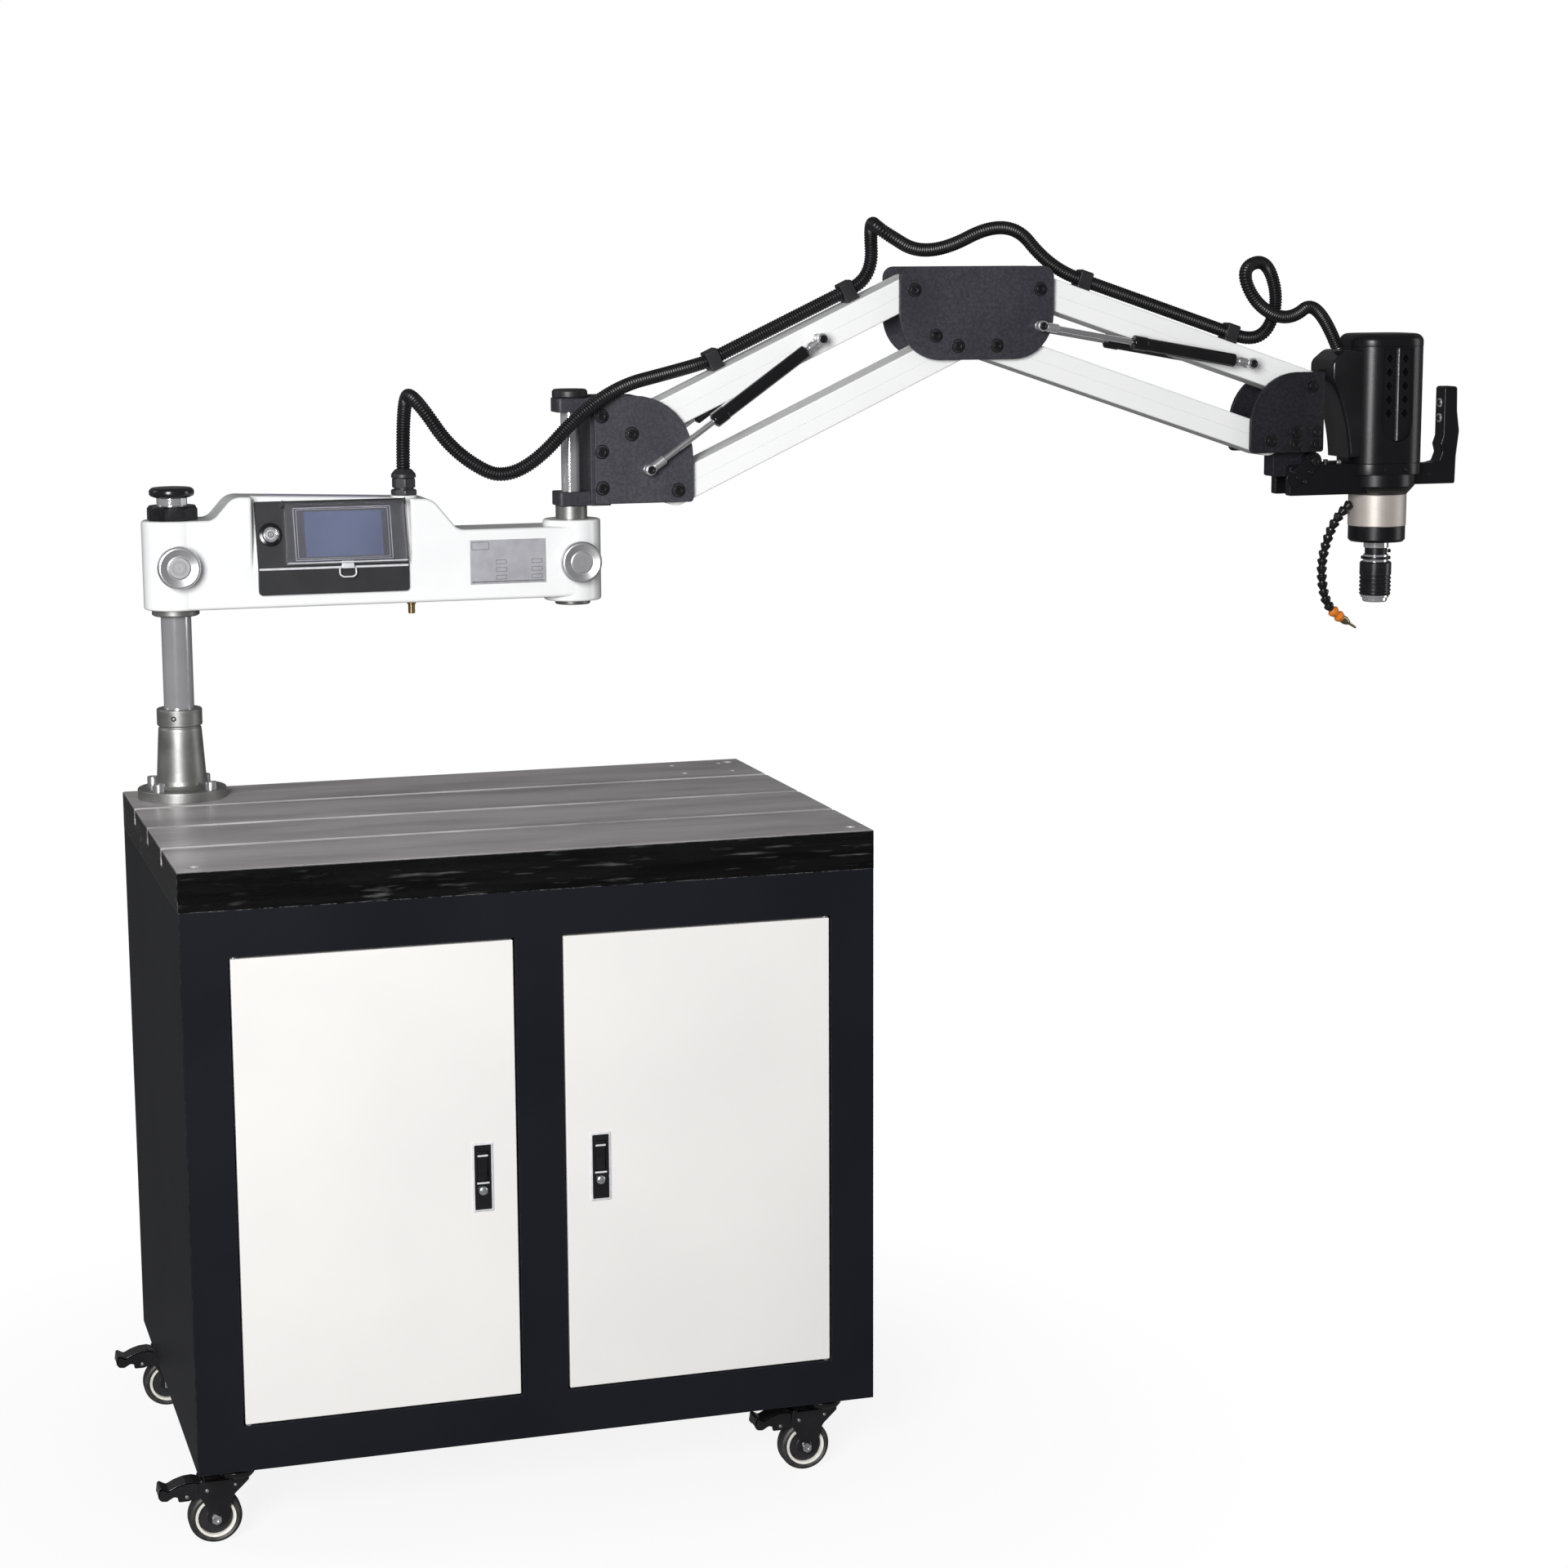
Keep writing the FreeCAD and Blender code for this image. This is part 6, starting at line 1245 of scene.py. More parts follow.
@dataclass
class SwingArm:
    """White casting between the column and the shaft, with its knobs, plates and small fittings."""

    bottom: float = 292.0
    rim: float = 6.0
    lip: float = 6.0
    boss: float = 47.5
    far_boss: float = 45.5
    seat: tuple[float, float] = (COLUMN_X + 115.0, COLUMN_X + 359.0)
    right: float = COLUMN_X + 449.0
    gland_x: float = COLUMN_X + 357.0
    plate_x: tuple[float, float] = (33.0, 154.0)
    plate_z: tuple[float, float] = (1299.0, 1368.0)
    sheet_x: tuple[float, float] = (-270.0, -100.0)
    sheet_y: tuple[float, float] = (-7.0, 24.0)
    knob_heights: tuple[float, float] = (360.0, 348.0)

    def section(self, top: float, drop: float) -> Array:
        """The beam's outline across x: its front lies back by the smaller of drop and the panel's lean."""
        r, w = self.rim, ARM_HALF_W
        t = np.radians(np.linspace(0, 90, 6))
        steps = np.linspace(0, 1, 14)[1:]
        heights = np.concatenate([[self.bottom + r, 312, 335, PANEL_CREASE],
                                  PANEL_CREASE + (top - r - PANEL_CREASE) * steps])
        lean = np.maximum(heights - PANEL_CREASE, 0) * math.tan(PANEL_LEAN)
        front = -w + np.minimum(lean, drop)
        near = front[-1] + r
        y = [front, near - r * np.cos(t[1:]), w - r + r * np.sin(t), w - r + r * np.cos(t), -w + r - r * np.sin(t[:-1])]
        z = [heights, top - r + r * np.sin(t[1:]), top - r + r * np.cos(t), self.bottom + r - r * np.sin(t),
             self.bottom + r - r * np.cos(t[:-1])]
        return np.stack([np.concatenate(y), np.concatenate(z)], 1)

    def fall(self, x: float) -> float:
        """How far the front may lie back at x: nothing outside the seat, a quarter circle over its lip."""
        into = min(x - self.seat[0], self.seat[1] - x)
        reach = min(max(into + self.lip, 0.0), self.lip)
        return 99.0 if into > 0.01 else self.lip - math.sqrt(self.lip ** 2 - reach ** 2)

    def beam(self) -> Shape:
        """Sections from boss to boss; both end rings lie on cylinders inside the bosses' walls."""
        top = outline([(COLUMN_X, 428, 0), (COLUMN_X + 56, 428, 22), (COLUMN_X + 87, 463, 28),
                       (self.right - 56, 452, 26), (self.right - 16, 403, 24), (SHAFT_X, 403, 0)], False, 5)
        ramp = self.lip * np.sin(np.radians(np.linspace(0, 90, 7))) - self.lip
        low, high = self.seat
        xs = np.concatenate([top[1:-1, 0], low + ramp, high - ramp, [low + 0.03, high - 0.03],
                             np.linspace(low + 8, high - 8, 9), [COLUMN_X + 50, SHAFT_X - 50]])
        xs = np.unique(np.round(xs[(xs >= COLUMN_X + 50) & (xs <= SHAFT_X - 50)], 3))
        rings = [(COLUMN_X, 1)] + [(float(x), 0) for x in xs] + [(SHAFT_X, -1)]
        made = []
        for x, way in rings:
            flat = self.section(float(np.interp(x, top[:, 0], top[:, 1])), self.fall(x))
            across = x + way * np.sqrt(45.2 ** 2 - flat[:, 0] ** 2) if way else np.full(len(flat), x)
            made.append(np.stack([across, PLANE_Y + flat[:, 0], TOP + flat[:, 1]], 1))
        return lofted(np.array(made))

    def casting(self) -> Shape:
        """Beam, two bosses and the gland's seat."""
        left = turned([(23.1, 292), (self.boss, 292, 4), (self.boss, 428, 5), (23.1, 428)],
                      (COLUMN_X, PLANE_Y, TOP), count=96)
        far = turned([(15.1, 284), (self.far_boss, 284, 4), (self.far_boss, 412, 4), (15.1, 412)],
                     (SHAFT_X, PLANE_Y, TOP), count=96)
        seat = turned([(0, 435), (20, 435), (20, 456, 1.5), (0, 456)], (self.gland_x, PLANE_Y, TOP), count=64)
        return joined([self.beam(), left, far, seat])

    def knob(self, place: tuple[float, float], boss: float) -> Shape:
        """A dished disc with a flat middle, turned about y."""
        profile = [(0, 0), (13, 0), (13, 5, 1), (28, 7, 3), (32.5, 10, 2), (32.5, 18.2, 2.5), (30.6, 21.8, 1.2),
                   (28.4, 22.4, 0.8), (17.6, 18.6, 1.5), (15.8, 19.9, 0.6), (0, 19.9)]
        return turned(profile, (place[0], PLANE_Y - boss - 1.5, TOP + place[1]), (0, -1, 0), 96, 10)

    def plates(self) -> None:
        """The blank plate on the front, with empty framed fields, and the blank sheet on the sloping top."""
        front = PLANE_Y - ARM_HALF_W
        plate = block(*self.plate_x, front - 0.7, front + 1, *self.plate_z, 0.4)
        fields = [(36, 63, 1353, 1365), (36, 151, 1302, 1303.4)]
        fields += [(a, a + 17, b, b + 6.5) for a in (74, 131) for b in (1306, 1318, 1330)]
        frames = [border(*place, 0.5, front - 0.5, front - 0.95, 0.6) for place in fields]
        make("arm_blank_plate", "swing_arm", joined([plate, joined(frames).in_finish(1)]), [SILVER_PLATE, OXIDE_BLACK])
        fall = 11 / 305
        low, high = (PLANE_Y + y for y in self.sheet_y)
        sheet = slab(rectangle(*self.sheet_x, low, high, 1.0), 0, 0.5, Plane.PLAN, 0.2)
        sheet = sheet.through([[1, 0, 0], [0, 1, 0], [-fall, 0, 1]], (0, 0, TOP + 463 - fall * 325))
        make("arm_blank_sheet", "swing_arm", sheet, PALE_SHEET)

    def build(self) -> None:
        """Makes the casting, the blank plates, both knobs, the shaft, the gland and the drain."""
        make("arm_casting", "swing_arm", self.casting(), CASTING_WHITE, ["swing_arm"], sharp=38)
        self.plates()
        for word, x, height, boss in (("column", COLUMN_X, self.knob_heights[0], self.boss),
                                      ("shaft", SHAFT_X, self.knob_heights[1], self.far_boss)):
            name = word + "_knob"
            finish = Finish(name + "_turned_aluminium", (0.63, 0.63, 0.655), 0.36, 0.82, second=(0.56, 0.56, 0.58),
                            cloud_size=40, grain_size=0.9, grain_depth=0.01, spread=0.12,
                            turned_at=(x, PLANE_Y, TOP + height), turned_about=(0.0, 1.0, 0.0))
            make(name + "_disc", name, self.knob((x, height), boss), finish, [word + "_clamp_knob"])
        self.shaft()
        x, y = self.gland_x, PLANE_Y
        nuts = [hexagon((x, y, TOP + 456), (0, 0, 1), 36.5, 9), hexagon((x, y, TOP + 467.5), (0, 0, 1), 33.0, 15),
                turned([(0, 464), (15, 464), (15, 483), (19.2, 483, 0.8), (19.2, 488.5, 5), (13, 496, 1.5),
                        (0, 496)], (x, y, TOP))]
        make("cable_gland", "swing_arm", joined(nuts), SATIN_BLACK, ["arm_fittings"])
        drain = [turned([(0, 0), (7, 0), (7, 6, 0.8), (5.4, 7, 0.4), (5.4, 21, 1), (0, 21)], (x + 8, y, TOP + 292),
                        (0, 0, -1)),
                 hexagon((x + 8, y, TOP + 292), (0, 0, -1), 13, 4)]
        make("drain_nipple", "swing_arm", joined(drain), BRASS)

    def shaft(self) -> None:
        """Chromed shaft with its turned rings and its cap."""
        at = (SHAFT_X, PLANE_Y, TOP)
        make("shaft_bar", "swing_arm", rod(15.0, (SHAFT_X, PLANE_Y, TOP + 277), (SHAFT_X, PLANE_Y, TOP + 603)), CHROME,
             ["pivot_shaft"])
        steel = Finish("turned_shaft_steel", (0.30, 0.30, 0.295), 0.4, 0.85, second=(0.24, 0.24, 0.235), cloud_size=30,
                       grain_size=1.1, grain_depth=0.02, spread=0.16, turned_at=at)
        rings = [turned([(15.2, 277, 0), (27, 277, 1), (28, 279, 0.5), (28, 284, 0), (15.2, 284, 0)], at, count=72),
                 turned([(15.2, 412.2, 0), (25, 412.2, 0.5), (25, 432.5, 0.8), (15.2, 432.5, 0)], at, count=72)]
        make("shaft_rings", "swing_arm", joined(rings), steel)
        cap = turned([(0, 603.2), (15.2, 603.2), (15.2, 601.8), (27, 601.8, 0.6), (28, 604, 0.6), (28, 612, 2),
                      (25, 615.3, 2), (0, 615.3)], at, count=72)
        make("shaft_cap", "swing_arm", cap, SATIN_BLACK)


PALE_SHEET = Finish("pale_blank_sheet", (0.42, 0.39, 0.56), 0.3, second=(0.50, 0.47, 0.62), cloud_size=20, grain_size=2)
DISPLAY = LitFinish("display_glass", (0.105, 0.135, 0.235), 0.16, second=(0.095, 0.12, 0.21), cloud_size=60,
                    grain_size=3,
                    grain_depth=0.002, glow=0.14)
BEZEL_GREY = Finish("display_bezel", (0.050, 0.050, 0.06), 0.35, second=(0.040, 0.040, 0.05), cloud_size=50,
                    grain_size=1)
FRAME_LINE = Finish("light_frame_line", (0.78, 0.78, 0.82), 0.3, 0.0, second=(0.70, 0.70, 0.74), cloud_size=10,
                    grain_size=1)
CLEAR = ClearFinish("clear_cover", (0.92, 0.92, 0.97), 0.04, second=(0.89, 0.89, 0.95), cloud_size=60, grain_size=4,
                    grain_depth=0.002, spread=0.02)
# Light grey trim for the latches' rims and bars and the cover's catch; on the panel's crease bead and the cover's lower
# lip it is a painted highlight.
BRIGHT_TRIM_AND_HIGHLIGHT = Finish("bright_moulded_lip", (0.74, 0.74, 0.77), 0.14, 0.1, second=(0.64, 0.64, 0.67), cloud_size=12,
                    grain_size=1.5)
SWITCH_FACE = Finish("switch_face", (0.62, 0.62, 0.65), 0.3, 0.4, second=(0.54, 0.54, 0.57), cloud_size=3,
                     grain_size=0.5)


@dataclass
class ControlPanel:
    """Bent black bezel with the display, the push switch, and the hinged clear cover."""

    x0: float = COLUMN_X + 121.0
    x1: float = COLUMN_X + 353.0
    low: float = 312.0
    high: float = 452.0
    thick: float = 6.0
    switch: tuple[float, float] = (COLUMN_X + 143.0, 402.0)
    cover_x: tuple[float, float] = (COLUMN_X + 164.0, COLUMN_X + 350.0)

    def bezel(self) -> Shape:
        """Both plates and the hinge ears (0), a light grey bead at the crease that paints the crease's highlight (1), a
        darker gloss ring round the switch that paints its shadow (2).
        """
        front = PLANE_Y - ARM_HALF_W
        upper = pierced(rectangle(self.x0, self.x1, PANEL_CREASE + 0.1, self.high, 2.5), self.switch, 11.8, 0,
                        self.thick, Plane.SIDE, 1.0)
        # A raised gloss black ring round the switch, darker than the panel: painted shadow of the switch.
        well = turned([(12.0, 5.5), (12.0, 8.2, 0.4), (13.0, 8.4, 0.4), (17.2, 6.9, 0.8), (18.4, 5.5)],
                      (self.switch[0], 0, self.switch[1]), (0, 1, 0), 64)
        ears = [slab(rectangle(a, a + 2.4, self.high - 11, self.high - 1, 0.8), 0, 16.3, Plane.SIDE, 0.6)
                for a in (self.cover_x[0] - 2.7, self.cover_x[1] + 0.3)]
        corners = rectangle(self.x0, self.x1, TOP + self.low, TOP + PANEL_CREASE + 1.6, 0.3)
        corners[0], corners[1] = (*corners[0][:2], 6.0), (*corners[1][:2], 6.0)
        lower = slab(corners, front - self.thick, front + 0.5, Plane.SIDE, 1.0)
        level = TOP + PANEL_CREASE
        # A light grey bead along the crease: a painted highlight along the crease.
        bead = slab(rectangle(self.x0 + 1, self.x1 - 1, level - 1.7, level + 1.7, 1.2), front - self.thick - 0.9,
                    front - self.thick + 0.6, Plane.SIDE, 0.6)
        return joined([on_panel(joined([upper, well.in_finish(2), *ears])), lower, bead.in_finish(1)])

    def screen(self) -> Shape:
        """Bezel (0), display (1), light frame lines (2) and four screws (3)."""
        x0, x1, z0, z1 = COLUMN_X + 178.0, COLUMN_X + 330.0, 360.5, 441.5
        t = self.thick
        body = slab(rectangle(x0, x1, z0, z1, 2.0), t - 0.5, t + 1.4, Plane.SIDE, 0.5)
        glass = slab(rectangle(x0 + 17, x1 - 15, z0 + 6, z1 - 7, 0.8), t + 1, t + 1.7, Plane.SIDE, 0.2)
        lines = [border(x0 + 0.8, x1 - 0.8, z0 + 0.8, z1 - 0.8, 1.1, t + 1.2, t + 1.9),
                 border(x0 + 5, x1 - 5, z0 + 3.6, z1 - 3.4, 0.7, t + 1.2, t + 1.8)]
        screws = [turned([(0, 5.5), (2.6, 5.5), (2.6, 7.2, 0.5), (0, 7.2)], (a, 0, b), (0, 1, 0), 24)
                  for a in (x0 - 8, x1 + 7) for b in (z0 + 8, z1 - 8)]
        return on_panel(joined([body, glass.in_finish(1), joined(lines).in_finish(2), joined(screws).in_finish(3)]))

    def button(self) -> Shape:
        """Chromed rim (0), bright face (1) and its plain sign: a dark ring with a bar (2)."""
        at = (self.switch[0], 0, self.switch[1])
        out = (0, 1, 0)
        rim = turned([(0, 3.5), (11.4, 3.5), (11.4, 8.4, 0.8), (10.2, 9.0, 0.4), (8.6, 8.0, 0.4), (0, 7.8)],
                     at, out, 64)
        face = turned([(0, 7.6), (7.6, 7.6), (7.6, 8.3, 0.3), (0, 8.5)], at, out, 48)
        sign = turned([(3.4, 8.2), (3.4, 8.75), (4.6, 8.75), (4.6, 8.2)], at, out, 40)
        bar = slab(rectangle(at[0] - 0.6, at[0] + 0.6, at[2] - 2.4, at[2] + 2.4, 0.3), 8.2, 8.75, Plane.SIDE, 0.1)
        return on_panel(joined([rim, face.in_finish(1), joined([sign, bar]).in_finish(2)]))

    def cover(self) -> tuple[Shape, Shape]:
        """The clear tray, and what it carries: a light grey lip on its lower edge as a painted highlight, and the wire
        catch (0), hinge barrel and pin (1).
        """
        x0, x1, near, far, wall = *self.cover_x, self.thick + 0.3, self.thick + 13.3, 2.2
        low, high = PANEL_CREASE + 3, self.high - 5

        def filled(a: Array, b: Array, c: Array) -> Array:
            """All but the tray's hollow, which is open towards the panel."""
            return ~((a > x0 + wall) & (a < x1 - wall) & (b < far - wall) & (c > low + wall) & (c < high - wall))

        tray = cells([x0, x0 + wall, x1 - wall, x1], [near, far - wall, far],
                     [low, low + wall, high - wall, high], filled)
        # A light grey strip along the tray's lower edge: a painted highlight of the clear edge.
        lip = slab(rectangle(x0 + 0.6, x1 - 0.6, low + 0.2, low + 2.0, 0.5), near + 1, far + 0.2, Plane.SIDE, 0.4)
        hinge = [rod(3.0, (x0 + 0.2, near + 6, high), (x1 - 0.2, near + 6, high)),
                 rod(1.4, (x0 - 2.6, near + 6, high), (x1 + 2.6, near + 6, high), 0.3, 16)]
        mid = (x0 + x1) / 2
        catch = [slab(rectangle(mid - 9.5, mid + 9.5, low - 8, low + 4, 1.5), near + 6.5, near + 9.3, Plane.SIDE, 0.7),
                 slab(rectangle(mid - 6, mid + 6, low - 6, low - 1, 1.0), near + 9, near + 10.6, Plane.SIDE, 0.6)]
        side = [(8, -3, 0), (12.5, -8, 3), (12.5, -17, 4), (7, -20, 3)]
        wire = outline([(mid - a, low + b, r) for a, b, r in side] + [(mid + a, low + b, r) for a, b, r in side[::-1]],
                       False)
        catch.append(tube(Plane.SIDE.place(wire, near + 4.5), 1.3, 12))
        return on_panel(tray), on_panel(joined([lip, *catch, joined(hinge).in_finish(1)]))

    def build(self) -> None:
        """Makes the bezel, the display, the switch and the cover."""
        make("panel_bezel", "swing_arm", self.bezel(), [SATIN_BLACK, BRIGHT_TRIM_AND_HIGHLIGHT, GLOSS_BLACK], ["control_panel"],
             sharp=35)
        make("panel_display", "swing_arm", self.screen(), [BEZEL_GREY, DISPLAY, FRAME_LINE, SATIN_BLACK])
        make("panel_switch", "power_switch", self.button(), [CHROME, SWITCH_FACE, OXIDE_BLACK], ["power_button"])
        tray, fittings = self.cover()
        make("cover_tray", "cover", tray, CLEAR, ["panel_cover"], bevel=0.7)
        make("cover_catch", "cover", fittings, [BRIGHT_TRIM_AND_HIGHLIGHT, SATIN_BLACK])


# ------------------------------------------------------------------ sprung arms
@dataclass
class PlatePair:
    """Two matching side plates with what passes between and through them."""

    name: str
    body: str
    node: str
    corners: Sequence[Corner]
    pivots: Sequence[tuple[float, float]]
    screws: Sequence[tuple[float, float]] = ()
    small: Sequence[tuple[float, float]] = ()
    finish: Finish = BLACK_POWDER

    def build(self) -> None:
        """Makes plates, pivot pins with washers, and screws."""
        low, high, out = PLANE_Y - PLATE_OUT, PLANE_Y - PLATE_IN, (0, -1, 0)
        places = (*self.pivots, *self.screws)
        make(self.name + "_pair", self.body, pair(slab(self.corners, low, high, Plane.SIDE, 1.0)), self.finish,
             [self.node], sharp=60)
        heads = [socket_screw((x, low, z), out, 8.0, 5.0) for x, z in places]
        heads += [turned([(9.4, -0.3), (9.4, 0.5, 0.3), (11.4, 0.4, 0.3), (11.6, -0.3)], (x, low, z), out, 40)
                  for x, z in places]
        heads += [socket_screw((x, low, z), out, 3.2, 1.6, 1.5) for x, z in self.small]
        make(self.name + "_screws", self.body, pair(joined(heads)), OXIDE_BLACK)
        pins = [rod(6.9, (x, low, z), (x, 2 * PLANE_Y - low, z)) for x, z in self.pivots]
        for x, z in self.pivots:
            washer = [(7.2, -0.1), (14, -0.1), (14, 3.4, 0.5), (7.2, 3.4)]
            pins.append(pair(turned(washer, (x, high, z), (0, 1, 0), 48)))
        make(self.name + "_pins", self.body, joined(pins), ZINC)


@dataclass
class Link:
    """One white box link with rounded ends, and its spring studs."""

    name: str
    start: tuple[float, float]
    degrees: float
    stud: float | None = None

    def build(self) -> None:
        """Makes the link and the studs."""
        h, w = LINK_HALF_H, LINK_HALF_W
        r = h - 0.01
        corners = [(-h, -h, r), (LINK + h, -h, r), (LINK + h, h, r), (-h, h, r)]
        body = slab(outline(corners, step=6), -w, w, Plane.SIDE, 2.6)
        carrier = self.name.replace("_link", "")
        make(self.name + "_box", carrier, in_link(body, self.start, self.degrees), LINK_WHITE, [self.name],
             sharp=35)
        if self.stud is None:
            return
        studs = []
        for way in (-1, 1):
            studs.append(turned([(0, 0), (8, 0), (8, 3, 0.8), (5.0, 3.4), (5.0, 17.5), (4.9, 18), (4.9, 32), (0, 32)],
                                (self.stud, way * w, 0), (0, way, 0), 32))
            studs.append(socket_screw((self.stud, way * (w + 31.8), 0), (0, way, 0), 6.2, 4.0, 2.8).in_finish(1))
        make(self.name + "_studs", carrier, in_link(joined(studs), self.start, self.degrees),
             [ALUMINIUM, OXIDE_BLACK])


@dataclass
class GasSprings:
    """Two gas springs beside a stage: cylinders on the link's studs, rods on the plates' feet."""

    stage: str
    stud: tuple[float, float]
    foot: tuple[float, float]
    radius: float = 11.0
    eye: float = 31.0
    body: float = 190.0

    def build(self) -> None:
        """Makes both cylinders with their eyes, and both rods with theirs."""
        run, rise = self.foot[0] - self.stud[0], self.foot[1] - self.stud[1]
        length, turn = math.hypot(run, rise), math.degrees(math.atan2(rise, run))
        end, cylinders, rods = self.eye + self.body, [], []
        for way in (-1, 1):
            y, r, tip = way * SPRING_Y, self.radius, self.body
            cylinders.append(turned([(0, 0), (8, 0, 0), (r, 3, 1.5), (r, tip - 26, 0.3), (r + 1.2, tip - 25, 0.5),
                                     (r + 1.2, tip - 3, 1.5), (7, tip, 0.5), (5.2, tip, 0.2), (5.2, tip - 6),
                                     (0, tip - 6)], (self.eye, y, 0), (1, 0, 0), 40))
            ring = [(5.2, -6, 0), (9, -6, 1), (9, 6, 1), (5.2, 6, 0)]
            fitting = [turned(ring, (0, y, 0), (0, 1, 0), 40), rod(5.0, (8.2, y, 0), (self.eye + 1, y, 0)),
                       turned([(5.2, 0), (7.2, 0, 0.6), (7.2, 10, 0.8), (5.2, 10)], (16, y, 0), (1, 0, 0), 32)]
            cylinders.append(joined(fitting).in_finish(1))
            rods.append(rod(4.9, (end - 8, y, 0), (length - 8, y, 0)).in_finish(1))
            rods.append(turned([(0, 0), (7.5, 0, 1), (7.5, 21, 1), (0, 21)], (length - 28, y, 0), (1, 0, 0), 32))
            ring = [(0, -6), (9, -6, 2.5), (9, 6, 2.5), (0, 6)]
            rods.append(turned(ring, (length, y, 0), (0, 1, 0), 40))
            rods.append(turned([(0, 0), (8, 0), (8, 2.6, 0.6), (5, 3.2, 0.8), (5, 19.0, 0.5), (0, 19.0)],
                               (length, way * (PLATE_OUT + 0.4), 0), (0, way, 0), 32))
            rods.append(socket_screw((length, way * (SPRING_Y + 5.9), 0), (0, way, 0), 6.2, 3.6, 2.8).in_finish(2))
        where = (self.stud, turn)
        make(self.stage + "_spring_tubes", self.stage + "_cylinders", in_link(joined(cylinders), *where),
             [SPRING_BLACK, ALUMINIUM], [self.stage + "_spring_cylinders"])
        make(self.stage + "_spring_pistons", self.stage + "_rods", in_link(joined(rods), *where),
             [ALUMINIUM, DOME_CHROME, OXIDE_BLACK], [self.stage + "_spring_rods"])


def arm_base() -> None:
    """Clamp block of two lugs and a spine on the shaft."""
    x, y = SHAFT_X, PLANE_Y
    parts = [block(x + 24, x + 56, y - PLATE_IN + 0.2, y + PLATE_IN - 0.2, TOP + 433.2, TOP + 601.3, 1.2)]
    corners = [(x - 26, y - 26, 7), (x + 30, y - 26, 0.5), (x + 30, y + 26, 0.5), (x - 26, y + 26, 7)]
    for low, high in ((433.0, 455.0), (579.5, 601.5)):
        parts.append(pierced(corners, (x, y), 15.1, TOP + low, TOP + high, Plane.PLAN, 1.0))
    make("base_clamp_block", "arm_base", joined(parts), BLACK_POWDER, ["base_bracket"])


